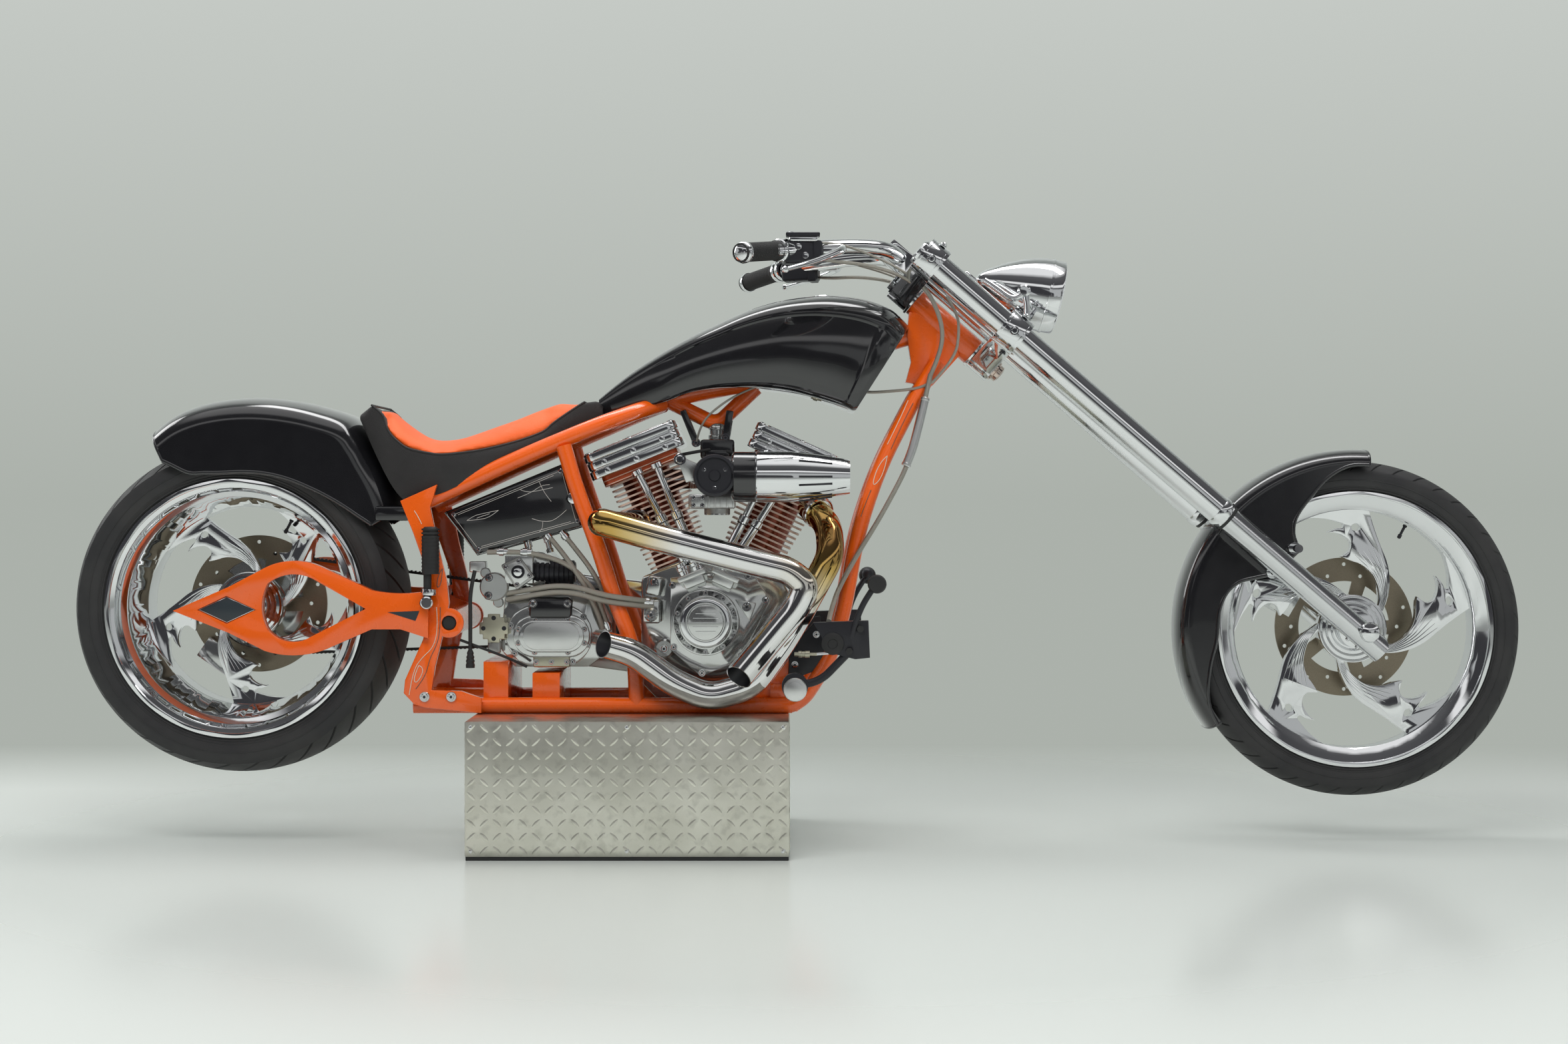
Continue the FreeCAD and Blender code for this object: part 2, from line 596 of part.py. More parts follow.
# the lowest fins are shorter, where the two cylinders come together
SHORT_FINS = 11
FIN_STEP = 1.2
barrels = []
cylinders = []
rockers = []
for name, lean in BANKS:
    barrel = bound("Part::Cylinder", name + "_barrel", {
        "Radius": "sizes.barrel_radius", "Height": "sizes.rocker_deck - sizes.deck_height"})
    barrel.Placement = bank_place(lean, Vector(0, 0, deck))
    fins = []
    for number in range(int(value("sizes.fin_count"))):
        shrink = max(0, SHORT_FINS - number) * FIN_STEP
        level = deck + value("sizes.fin_thickness") + number * value("sizes.fin_pitch")
        fin = bound("Part::Box", "%s_fin_%d" % (name, number), {
            "Length": "sizes.fin_length - %g" % (2 * shrink), "Width": "sizes.fin_width",
            "Height": "sizes.fin_thickness"})
        fin.Placement = bank_place(lean, Vector(shrink - half_fin,
                                                -value("sizes.fin_width") / 2, level))
        fins.append(fin)
    finned = fused(name + "_finned", barrel, *fins)
    cylinders.append(cut(name + "_cylinder", finned, intake))
    barrels.append(barrel)
    cover = Casting(name + "_rocker_box")
    half_long, half_wide = value("sizes.rocker_length") / 2, value("sizes.rocker_half_width")
    cover.pad(cover.outline(((-half_long, -half_wide), (half_long, -half_wide),
                             (half_long, half_wide), (-half_long, half_wide)), "XY_Plane",
                            "sizes.rocker_deck"), "sizes.rocker_height")
    cover.round_off("sizes.rocker_round")
    cover.body.Placement = bank_place(lean)
    rockers.append(cover.body)
cylinder_pair = keep(group("cylinders", *cylinders))
keep(group("rocker_boxes", *rockers))

CARB_X, CARB_Y = "-168", "-160"
keep(cut("carburettor", fused(
    "carburettor_solid", intake,
    bar("carburettor_body", "sizes.carburettor_radius", CARB_X, "sizes.intake_z", CARB_Y,
        "140"),
    rod("float_bowl", "sizes.carburettor_radius - 4", Vector(value(CARB_X), -115, 672), UP,
        "sizes.intake_z - 672")), *barrels))

COVER_LOW = "-(sizes.crankcase_half_width + sizes.cam_cover_depth)"
cam = Casting("cam_cover")
cam.pad(cam.outline(((-262, 545), (-100, 560), (-60, 500), (-118, 380), (-200, 345),
                     (-262, 400)), offset=COVER_LOW), "sizes.cam_cover_depth")
# radius, height above the cover
for radius, rise in ((67, 18), (51, 21), (36, 24)):
    cam.pad(cam.circle(str(radius), "-190", "456", offset="%s - %d" % (COVER_LOW, rise)),
            str(rise))
LIFTER_WIDTH, LIFTER_HEIGHT = 44, 40
for x in (-222, -152):
    cam.pad(cam.outline(((x - LIFTER_WIDTH / 2, 530), (x + LIFTER_WIDTH / 2, 530),
                         (x + LIFTER_WIDTH / 2, 530 + LIFTER_HEIGHT),
                         (x - LIFTER_WIDTH / 2, 530 + LIFTER_HEIGHT)),
                        offset="%s + 5" % COVER_LOW), "sizes.cam_cover_depth - 5")
cam_cover = keep(cam.body)

rod_y = -value("sizes.crankcase_half_width + sizes.pushrod_gap")
# top x, top z, bottom x
PUSHRODS = ((-340, 776, -232), (-300, 792, -208), (-60, 770, -160), (-25, 750, -140))
pushrods = []
for number, (top_x, top_z, low_x) in enumerate(PUSHRODS):
    foot = Vector(low_x, rod_y, 530 + LIFTER_HEIGHT)
    away = Vector(top_x, rod_y, top_z) - foot
    pushrods.append(cut("pushrod_%d" % number, rod("pushrod_bar_%d" % number,
                                                   "sizes.pushrod_radius", foot, away,
                                                   "%.3f" % away.Length), cam_cover, *rockers))
keep(group("pushrod_tubes", *pushrods))

filter_casting = Casting("air_filter")
filter_casting.revolve(((0, 0), (0, 30), (82, 30), (82, 51), (150, 51), (268, 34), (268, 0)))
filter_casting.body.Placement = Placement(Vector(-169, -200, 748), Rotation(UP, -90))
keep(fused("air_cleaner", filter_casting.body, bar("air_elbow", "43", "-169.5", "750", "-243",
                                                   "83")))

front_y = -value("sizes.front_pipe_y")
rear_y = -value("sizes.rear_pipe_y")
rear_pipe = cut("rear_pipe", pipe(
    "rear_pipe_route", ((-345, -70, 700), (-372, -130, 684), (-388, -200, 664),
                        (-362, rear_y, 648), (-290, rear_y, 629), (-60, rear_y, 570),
                        (5, rear_y, 514), (-122, rear_y, 362)), "sizes.pipe_radius", 0.4),
    cylinder_pair)
front_pipe = cut("front_pipe", pipe(
    "front_pipe_route", ((20, -60, 690), (58, -120, 650), (62, -160, 590), (-29, front_y, 424),
                         (-96, front_y, 330), (-182, front_y, 306), (-255, front_y, 337),
                         (-335, front_y, 396), (-394, front_y, 413)), "sizes.pipe_radius", 0.4),
    cylinder_pair)
keep(group("exhaust_pipes", rear_pipe, front_pipe))

# ---------------------------------------------------------------- gearbox and drive
case = Casting("gearbox_case")
case.pad(case.outline(((-610, 400), (-580, 363), (-430, 363), (-380, 400), (-380, 500),
                       (-430, 512), (-600, 508)), offset="-sizes.gearbox_half_width - 5"),
         "2 * sizes.gearbox_half_width + 5")
case.pad(case.outline(((-455, 396), (-430, 428, -455, 460), (-545, 460), (-570, 428, -545, 396)),
                      offset="-sizes.gearbox_half_width - 27"), "22")
drive_shaft = bar("drive_shaft", "sizes.drive_shaft_radius", "sizes.drive_x", "sizes.drive_z",
                  "sizes.gearbox_half_width", "%s - sizes.gearbox_half_width" % BELT_HIGH)
drive_pulley = bar("drive_pulley", "sizes.drive_pulley_radius", "sizes.drive_x",
                   "sizes.drive_z", "sizes.belt_y", "sizes.belt_width")
gearbox = keep(fused("gearbox", case.body, drive_shaft, drive_pulley))

PRIMARY_LOW = "(%s + sizes.primary_gap)" % BELT_HIGH
keep(fused("starter", bar("starter_motor", "34", "-540", "561", "-96", "96 + " + PRIMARY_LOW),
           block("starter_nose", ("56", "22", "56"), ("-598", "-118", "533"))))
primary_r = value("sizes.primary_radius")
drive_x, drive_z = value("sizes.drive_x"), value("sizes.drive_z")
keep(fused(
    "primary_cover",
    bar("primary_front", "sizes.primary_radius", "sizes.crank_x", "sizes.crank_z", PRIMARY_LOW,
        "sizes.primary_thickness"),
    bar("primary_rear", "sizes.primary_radius - 2", "sizes.drive_x", "sizes.drive_z",
        PRIMARY_LOW, "sizes.primary_thickness"),
    plate("primary_middle", ((crank.x, crank.z + primary_r), (crank.x, crank.z - primary_r),
                             (drive_x, drive_z - primary_r + 2),
                             (drive_x, drive_z + primary_r - 2)),
          PRIMARY_LOW, "sizes.primary_thickness"),
    bar("primary_spacer", "0.8 * sizes.primary_radius", "sizes.crank_x", "sizes.crank_z",
        "sizes.crankcase_half_width", "%s - sizes.crankcase_half_width" % PRIMARY_LOW)))

cross_members = []
# low x, length, height above the rails' middle
for number, (x, length, rise) in enumerate(((-640, 50, 88), (-541, 55, 65), (-60, 30, 43))):
    member = block("cross_block_%d" % number, (str(length), "2 * sizes.rail_y", str(rise)),
                   (str(x), "-sizes.rail_y", "sizes.plinth_height + sizes.rail_radius"))
    cross_members.append(cut("cross_member_%d" % number, member, lower_rail, far_lower_rail,
                             doc.getObject("crankcase"), gearbox, front_pipe, rear_plate))
keep(group("cross_members", *cross_members))

# ---------------------------------------------------------------- tank, oil tank and seat
TANK_SECTIONS = (
    # x, bottom z, top z, half width at the bottom, half width at the middle
    (222, 1046, 1064, 40, 46),
    (208, 1027, 1080, 62, 72),
    (190, 1001, 1096, 84, 96),
    (164, 964, 1108, 94, 110),
    (136, 923, 1116, 100, 118),
    (111, 886, 1122, 104, 122),
    (90, 892, 1124, 104, 123),
    (51, 905, 1124, 104, 124),
    (-2, 918, 1120, 102, 122),
    (-57, 930, 1110, 100, 118),
    (-113, 932, 1091, 93, 109),
    (-168, 930, 1066, 85, 98),
    (-223, 922, 1040, 76, 86),
    (-278, 903, 1010, 62, 71),
    (-334, 887, 975, 42, 49),
    (-375, 880, 945, 28, 33),
    (-412, 878, 912, 16, 20),
)


def tank_ring(x, low, high, foot, waist):
    """One cross-section: flat floor, round flanks and a crowned top."""
    middle = low + 0.45 * (high - low)
    shoulder = low + 0.78 * (high - low)
    edge = 0.86 * waist
    right = Part.Arc(Vector(x, -foot, low), Vector(x, -waist, middle), Vector(x, -edge, shoulder))
    crown = Part.Arc(Vector(x, -edge, shoulder), Vector(x, 0, high), Vector(x, edge, shoulder))
    left = Part.Arc(Vector(x, edge, shoulder), Vector(x, waist, middle), Vector(x, foot, low))
    floor = Part.LineSegment(Vector(x, foot, low), Vector(x, -foot, low))
    return Part.Wire([side.toShape() for side in (right, crown, left, floor)])


tank_shell = set_shape("tank_shell", Part.makeLoft([tank_ring(*row) for row in TANK_SECTIONS],
                                                   True, True))
tunnel = plate("tank_tunnel", ((300, 1075), (120, 1036), (-60, 982), (-268, 942), (-420, 915),
                               (-420, 840), (300, 840)), "-sizes.tank_tunnel",
               "2 * sizes.tank_tunnel")
filler = rod("filler_cap", "sizes.cap_radius", Vector(50, 0, 1100), UP, "sizes.cap_height + 12")
keep(cut("fuel_tank", fused("tank_solid", tank_shell, filler), tunnel, neck, backbone,
         seat_rail, far_seat_rail))

oil_casting = plate("oil_box", ((-722, 676), (-476, 777), (-440, 650), (-656, 590)),
                    "-sizes.oil_tank_half_width", "2 * sizes.oil_tank_half_width")
oil_pin = bar("oil_pin", "sizes.oil_pin_radius", "-458", "706", "-sizes.rail_y",
              "2 * sizes.rail_y")
oil_lug = block("oil_lug", ("24", "sizes.rail_y - 100", "44"), ("-712", "-sizes.rail_y", "672"))
keep(cut("oil_tank", fused("oil_tank_solid", oil_casting, oil_pin, oil_lug, mirrored(oil_lug)),
         seat_post, far_seat_post, seat_rail, far_seat_rail))

# seat width in plan: x, share of the full half width
SEAT_PLAN = ((-905, 0.70), (-860, 0.83), (-720, 1), (-600, 0.85), (-440, 0.41), (-400, 0.27))


def seat_plan(width):
    """Outline of the seat in plan."""
    half = value(width) / 2
    right = [(x, -half * share) for x, share in SEAT_PLAN]
    return right + [(x, -y) for x, y in reversed(right)]


skirt = shared(
    "seat_skirt",
    plate("skirt_side", ((-894, 876), (-868, 890), (-839, 851), (-798, 808), (-744, 795),
                         (-663, 799), (-569, 822), (-502, 859), (-448, 900), (-415, 905),
                         (-405, 892), (-414, 856), (-560, 792), (-740, 708), (-812, 700)),
          "-sizes.seat_base_width / 2", "sizes.seat_base_width"),
    plan_plate("skirt_plan", seat_plan("sizes.seat_base_width"), "650", "300"))
fender_space = plate("fender_space", ((-905, 878), (-812, 712), (-950, 600), (-1200, 800)),
                     "-sizes.seat_base_width / 2", "sizes.seat_base_width")
keep(cut("seat_base", skirt, fender_space, seat_rail, far_seat_rail, rear_plate, far_plate))
keep(shared("seat_pad",
            plate("pad_side", ((-868, 892), (-852, 887), (-803, 848), (-748, 823), (-693, 827),
                               (-582, 866), (-458, 908), (-448, 901), (-502, 860), (-569, 823),
                               (-663, 800), (-744, 796), (-798, 809), (-839, 852)),
                  "-sizes.seat_pad_width / 2", "sizes.seat_pad_width"),
            plan_plate("pad_plan", seat_plan("sizes.seat_pad_width"), "650", "300")))


# ---------------------------------------------------------------- fenders
def polar(centre, degrees, radius, y=0):
    """A point at that distance and angle from an axle, angle counted up from +X."""
    angle = math.radians(degrees)
    return Vector(centre.x + radius * math.cos(angle), y, centre.z + radius * math.sin(angle))


# angle round the rear axle, radius of the crown, radius of the side's lower edge
REAR_FENDER = ((115, 402, 330), (108, 416, 290), (101, 423, 280), (94, 427, 276), (85, 432, 278),
               (76, 438, 282), (67, 446, 286), (59, 454, 290), (54, 443, 294), (49, 429, 299),
               (42, 415, 308), (36, 402, 318), (31, 392, 330))
REAR_SHOULDER = 50


def fender_ring(degrees, crown, edge):
    """A U section of sheet at one angle round the rear wheel, up one side and down the other."""
    half = value("sizes.rear_fender_half_width")
    wall = value("sizes.fender_wall")
    side = crown - REAR_SHOULDER

    def at(y, radius):
        return polar(rear_axle, degrees, radius, y)

    return Part.Wire([
        Part.LineSegment(at(-half, edge), at(-half, side)).toShape(),
        Part.Arc(at(-half, side), at(0, crown), at(half, side)).toShape(),
        Part.LineSegment(at(half, side), at(half, edge)).toShape(),
        Part.LineSegment(at(half, edge), at(half - wall, edge)).toShape(),
        Part.LineSegment(at(half - wall, edge), at(half - wall, side)).toShape(),
        Part.Arc(at(half - wall, side), at(0, crown - wall), at(wall - half, side)).toShape(),
        Part.LineSegment(at(wall - half, side), at(wall - half, edge)).toShape(),
        Part.LineSegment(at(wall - half, edge), at(-half, edge)).toShape()])


rear_shell = set_shape("rear_fender_shell",
                       Part.makeLoft([fender_ring(*row) for row in REAR_FENDER], True, True))
fender_tab = block("fender_tab", ("74", "sizes.plate_y - 115", "30"),
                   ("-856", "-sizes.plate_y", "660"))
keep(cut("rear_fender", fused("rear_fender_solid", rear_shell, fender_tab,
                              mirrored(fender_tab)), rear_plate, far_plate, seat_rail,
         far_seat_rail))

leg_y = value("sizes.leg_spacing") / 2
fork_upper = on_stem("fork_upper_tube", "sizes.fork_upper_radius", "sizes.fork_joint",
                     "sizes.fork_top - sizes.fork_joint", "sizes.fork_offset",
                     "-sizes.leg_spacing / 2")
far_fork_upper = mirrored(fork_upper)
keep(group("fork_upper_tubes", fork_upper, far_fork_upper))
FRONT_AXLE_HALF = "(sizes.leg_spacing / 2 + sizes.fork_lower_radius + 6)"
front_pin = keep(bar("front_axle", "sizes.axle_radius", FRONT_X, "sizes.front_axle_z",
                     "-" + FRONT_AXLE_HALF, "2 * " + FRONT_AXLE_HALF))
nose_space = block("nose_space", ("100", "sizes.leg_spacing", "200"),
                   ("%s + sizes.fork_nose" % FRONT_X, "-sizes.leg_spacing",
                    "sizes.front_axle_z - 100"))
fork_lower = cut("fork_lower_tube", on_stem(
    "slider", "sizes.fork_lower_radius", "sizes.fork_bottom",
    "sizes.fork_joint - sizes.fork_bottom", "sizes.fork_offset", "-sizes.leg_spacing / 2"),
    nose_space, front_pin)
far_fork_lower = mirrored(fork_lower)
keep(group("fork_lower_tubes", fork_lower, far_fork_lower))

# angle round the front axle, radius of the side's lower edge
FRONT_FENDER = ((86, 338), (93, 336), (101, 318), (109, 291), (119, 262), (124, 236), (126, 205),
                (147, 205), (153, 236), (158, 262), (164, 279), (172, 287), (184, 291),
                (194, 312), (206, 340), (216, 352))
half = value("sizes.front_fender_half_width")
crown = value("sizes.front_fender_radius")
shoulder = crown - value("sizes.fender_shoulder")
wall = value("sizes.fender_wall")
lowest = min(radius for degrees, radius in FRONT_FENDER) - 15
shell = Casting("front_fender_shell")
shell.revolve(((-half, shoulder), (0, crown, half, shoulder), (half, lowest),
               (half - wall, lowest), (half - wall, shoulder),
               (0, crown - wall, wall - half, shoulder), (wall - half, lowest), (-half, lowest)))
shell.place(FRONT_X, "0", "sizes.front_axle_z")
side = [polar(front_axle, degrees, crown + 30) for degrees in range(216, 85, -10)]
side += [polar(front_axle, degrees, radius) for degrees, radius in FRONT_FENDER]
fender_side = plate("front_fender_side", [(point.x, point.z) for point in side],
                    "-sizes.front_fender_half_width - 5", "2 * sizes.front_fender_half_width + 10")
pegs = []
for number, degrees in enumerate((128, 146)):
    spot = polar(front_axle, degrees, lowest + 22)
    inner = bar("fender_peg_%d" % number, "sizes.fender_peg_radius", "%.3f" % spot.x,
                "%.3f" % spot.z, "18 - sizes.leg_spacing / 2",
                "sizes.leg_spacing / 2 - sizes.front_fender_half_width - 17")
    pegs += [inner, mirrored(inner)]
keep(cut("front_fender", fused("front_fender_solid",
                               shared("front_fender_sheet", shell.body, fender_side), *pegs),
         fork_lower, far_fork_lower))

# ---------------------------------------------------------------- steering
bar_half = ((212, 0, 1196), (212, -45, 1196), (176, -92, 1214), (117, -122, 1215),
            (47, -160, 1209), (-49, -232, 1195), (-116, -332, 1181))
handlebar = keep(pipe("handlebar", [(x, -y, z) for x, y, z in bar_half[:0:-1]]
                      + list(bar_half[1:]), "sizes.bar_radius"))
stem = on_stem("steering_stem", "sizes.stem_radius", "sizes.lower_tree_z",
               "sizes.top_tree_z + 20 - sizes.lower_tree_z")
trees = []
for name in ("top_tree", "lower_tree"):
    low, thick = "sizes.%s_z" % name, "sizes.%s_thickness" % name
    tree = Casting(name)
    leg_x = value("sizes.fork_offset")
    tree.pad(tree.outline(((leg_x + 24, -leg_y), (leg_x + 24, leg_y), (leg_x - 30, leg_y - 20),
                           (-14, 26), (-14, -26), (leg_x - 30, 20 - leg_y)), "XY_Plane", low),
             thick)
    tree.pad(tree.circle("sizes.tree_boss_radius", "0", "0", "XY_Plane", low), thick)
    for hand in ("-", ""):
        tree.pad(tree.circle("sizes.tree_clamp_radius", "sizes.fork_offset",
                             hand + "sizes.leg_spacing / 2", "XY_Plane", low), thick)
    tree.body.Placement = steer
    trees.append(tree.body)
riser = bound("Part::Box", "bar_riser", {
    "Length": "sizes.riser_length", "Width": "sizes.riser_width",
    "Height": "sizes.riser_height"})
riser.Placement = steer.multiply(Placement(Vector(
    24, -value("sizes.riser_spacing + sizes.riser_width") / 2,
    value("sizes.top_tree_z + sizes.top_tree_thickness")), Rotation()))
triple_trees = keep(cut("triple_trees", fused("tree_set", stem, riser, mirrored(riser), *trees),
                        fork_upper, far_fork_upper, handlebar))

grip_end = Vector(*bar_half[-1])
grip_axis = (grip_end - Vector(*bar_half[-2])).normalize()
grip_length = value("sizes.grip_length")
grip = cut("grip", rod("grip_sleeve", "sizes.grip_radius",
                       grip_end - grip_axis * (grip_length - 6), grip_axis,
                       "sizes.grip_length"), handlebar)
keep(group("grips", grip, mirrored(grip)))
clamp_at = grip_end - grip_axis * (grip_length + 42)
perch = clamp_at + grip_axis * 8
housing = fused(
    "housing", rod("switch_clamp", "sizes.housing_radius", clamp_at, grip_axis,
                   "sizes.housing_length"),
    block("fluid_pot", ("58", "44", "14"), ["%.3f" % number for number in (
        perch.x - 6, perch.y - 30, perch.z + 22)]),
    pipe("lever", ((perch.x + 10, perch.y - 16, perch.z + 16),
                   (perch.x + 50, perch.y - 34, perch.z + 14),
                   (perch.x + 22, perch.y - 150, perch.z + 12)), "sizes.lever_radius"))
hand_control = cut("hand_control", housing, handlebar)
keep(group("hand_controls", hand_control, mirrored(hand_control)))

lamp_tilt = math.radians(value("sizes.lamp_tilt"))
lamp_axis = Vector(math.cos(lamp_tilt), 0, -math.sin(lamp_tilt))
lamp_r, lamp_l = value("sizes.lamp_radius"), value("sizes.lamp_length")
lamp = Casting("lamp_bowl")
lamp.revolve(((-lamp_l, 0), (-lamp_l, 8), (-150, lamp_r - 48), (-110, lamp_r - 22),
              (-60, lamp_r - 3), (-24, lamp_r + 2), (-2, lamp_r), (0, lamp_r - 8),
              (4, lamp_r * 0.5), (6, 0)))
lamp.body.Placement = Placement(Vector(536.5, 0, 1120), Rotation(Y_AXIS, lamp_axis))
bracket = cut("lamp_bracket", plate("lamp_arm", ((420, 1074), (470, 1095), (455, 1130),
                                                 (398, 1090)), "-20", "40"), triple_trees)
keep(fused("headlight", lamp.body, bracket))

# ---------------------------------------------------------------- controls, pegs and brakes
CONTROL_LOW = "-(sizes.control_y + sizes.control_thickness)"
pedal_y = -value("sizes.control_y") - 18
control = fused(
    "control",
    plate("control_plate", ((25, 460), (134, 464), (137, 391), (108, 388), (60, 400)),
          CONTROL_LOW, "sizes.control_thickness"),
    bar("control_mount", "14", "86", "430", "-sizes.control_y", "sizes.control_y - 116"),
    pipe("pedal", ((100, pedal_y, 430), (118, pedal_y - 16, 490), (150, pedal_y - 22, 540)), "6"),
    ball("pedal_knob", "14", Vector(150, pedal_y - 22, 540)),
    pipe("peg_arm", ((94, pedal_y + 6, 400), (40, pedal_y, 345), (-11, pedal_y - 2, 335)), "8"),
    bar("peg_socket", "sizes.footpeg_radius + 10", "-11", "335", CONTROL_LOW + " - 10", "28"),
    bar("footpeg", "sizes.footpeg_radius", "-11", "335",
        CONTROL_LOW + " - 10 - sizes.footpeg_length", "sizes.footpeg_length"))
forward_control = cut("forward_control", control, down_tube)
keep(group("forward_controls", forward_control, mirrored(forward_control)))

peg_y = -value("sizes.plate_y + sizes.plate_thickness") - 20
passenger_peg = cut("passenger_peg", fused(
    "peg_solid",
    bar("peg_bolt", "10", "-750", "496", PLATE_LOW + " - 26", "26"),
    rod("peg_stem", "8", Vector(-745, peg_y, 490), UP, "70"),
    rod("peg_rubber", "sizes.passenger_peg_radius", Vector(-739, peg_y, 554), UP,
        "sizes.passenger_peg_length")), arm, rear_plate)
keep(group("passenger_pegs", passenger_peg, mirrored(passenger_peg)))


def caliper(name, degrees, disc_y, seat_y):
    """Brake caliper straddling a disc's rim, out to the face that carries it."""
    casting = Casting(name)
    low = value("sizes.rotor_radius") - 30
    high = low + value("sizes.caliper_reach")
    half_long = value("sizes.caliper_length") / 2
    floor = "(%s - sizes.pad_gap - sizes.caliper_wall)" % disc_y
    casting.pad(casting.outline(((low, -half_long), (high, -half_long), (high, half_long),
                                 (low, half_long)), offset=floor), "%s - %s" % (seat_y, floor))
    slot_high = value("sizes.rotor_radius + sizes.pad_gap")
    casting.pocket(casting.outline(((low - 5, -half_long), (slot_high, -half_long),
                                    (slot_high, half_long), (low - 5, half_long)),
                                   offset="%s - sizes.pad_gap" % disc_y),
                   "sizes.rotor_thickness + 2 * sizes.pad_gap")
    casting.turn = Rotation(Y_AXIS, -degrees)
    return casting


front_caliper = caliper("front_caliper_block", 150, "sizes.front_rotor_y",
                        "sizes.leg_spacing / 2")
front_caliper.body.Placement = Placement(front_axle, front_caliper.turn)
keep(cut("front_caliper", front_caliper.body, far_fork_lower))
rear_caliper = caliper("rear_caliper_block", 235, "sizes.rear_rotor_y", "sizes.swingarm_y")
BRACKET_THICKNESS = 5
bracket_low = "sizes.swingarm_y - %d" % BRACKET_THICKNESS
rear_caliper.pad(rear_caliper.outline(
    ((-26, -26), (value("sizes.rotor_radius"), -20), (value("sizes.rotor_radius"), 20),
     (-26, 26)), offset=bracket_low), str(BRACKET_THICKNESS))
rear_caliper.body.Placement = Placement(rear_axle, rear_caliper.turn)
keep(cut("rear_caliper", rear_caliper.body, doc.getObject("rear_axle")))

# clutch cable from the neck down the front frame tube to the right forward control
cable = pipe("cable", ((268, -59, 960), (245, -80, 860), (219, -93, 770), (165, -108, 670),
                       (112, -117, 585), (76, -140, 520), (62, -186, 482), (56, -240, 462)),
             "sizes.cable_radius")
keep(cut("clutch_cable", cable, forward_control, down_tube))
arcs = [edge.Curve.Radius for edge in doc.getObject("cable_route").Shape.Edges
        if isinstance(edge.Curve, Part.Circle)]
print("clutch cable bends, mm:", ", ".join("%.0f" % radius for radius in arcs))

# ---------------------------------------------------------------- side stand
stand_pivot = Vector(value("sizes.stand_pivot_x"), value("sizes.stand_pivot_y"),
                     value("sizes.stand_pivot_z"))
pin_axis = Vector(-0.39, 0.333, -0.858).normalize()
leg_axis = Vector(-0.994, 0.10, 0).normalize()
eye_height = value("sizes.stand_eye_height")
pin_play = value("sizes.stem_play")
stand_solid = fused(
    "stand_solid",
    rod("stand_eye", "sizes.stand_eye_radius", stand_pivot - pin_axis * (eye_height / 2),
        pin_axis, "sizes.stand_eye_height"),
    rod("stand_leg", "sizes.stand_radius", stand_pivot, leg_axis, "sizes.stand_length"),
    ball("stand_foot", "sizes.stand_foot_radius",
         stand_pivot + leg_axis * value("sizes.stand_length")))
pin_hole = rod("stand_hole", "sizes.stand_pin_radius + sizes.stem_play",
               stand_pivot - pin_axis * eye_height, pin_axis, "2 * sizes.stand_eye_height")
keep(cut("side_stand", stand_solid, pin_hole))
lug_depth = 14
lug_start = stand_pivot - pin_axis * (eye_height / 2 + pin_play + lug_depth)
lug_arm = Vector(10, rail_y + 2, rail_z + 18) - lug_start
stand_lug = fused(
    "stand_lug", far_down_tube,
    rod("lug_boss", "sizes.stand_eye_radius", lug_start, pin_axis, str(lug_depth)),
    rod("lug_arm", "sizes.stand_radius - 1", lug_start + pin_axis * 5, lug_arm,
        "%.3f" % lug_arm.Length),
    rod("stand_pin", "sizes.stand_pin_radius", lug_start, pin_axis,
        "%d + sizes.stand_eye_height + 4" % lug_depth))
keep(group("down_tubes", down_tube, cut("left_down_tube", stand_lug, far_lower_rail)))

# ---------------------------------------------------------------- wheels
# Blade outline: (degrees round the axle, share of the rim's well radius)
BLADE = (
    (-56, 0.27), (-36, 0.452, -17, 0.665), (-8, 0.79, 0, 1.015), (16, 1.02, 33, 1.015),
    (21, 0.945, 14, 0.895), (12.5, 0.865, 14.5, 0.85), (18, 0.846, 22, 0.832),
    (15, 0.80, 10.5, 0.755), (8.5, 0.70, 9.5, 0.655), (12, 0.635, 16, 0.61),
    (10, 0.575, 3, 0.555), (-12, 0.49, -26, 0.40), (-35, 0.335, -44, 0.27),
)
BLADE_WINDOW = ((5.5, 0.885, 8.5, 0.85), (5.5, 0.82, 3, 0.845))
# Rim section: share of the half width, share of the way from the lip down to the well
FRONT_RIM = ((-1, 0), (-0.84, 0), (-0.78, 0.4), (-0.5, 1), (0.5, 1), (0.78, 0.4), (0.84, 0),
             (1, 0))
REAR_RIM = ((-1, 0), (-0.94, 0), (-0.92, 0.18), (-0.72, 0.34), (-0.66, 0.56), (0.1, 1),
            (0.72, 1), (0.9, 0.4), (0.94, 0), (1, 0))


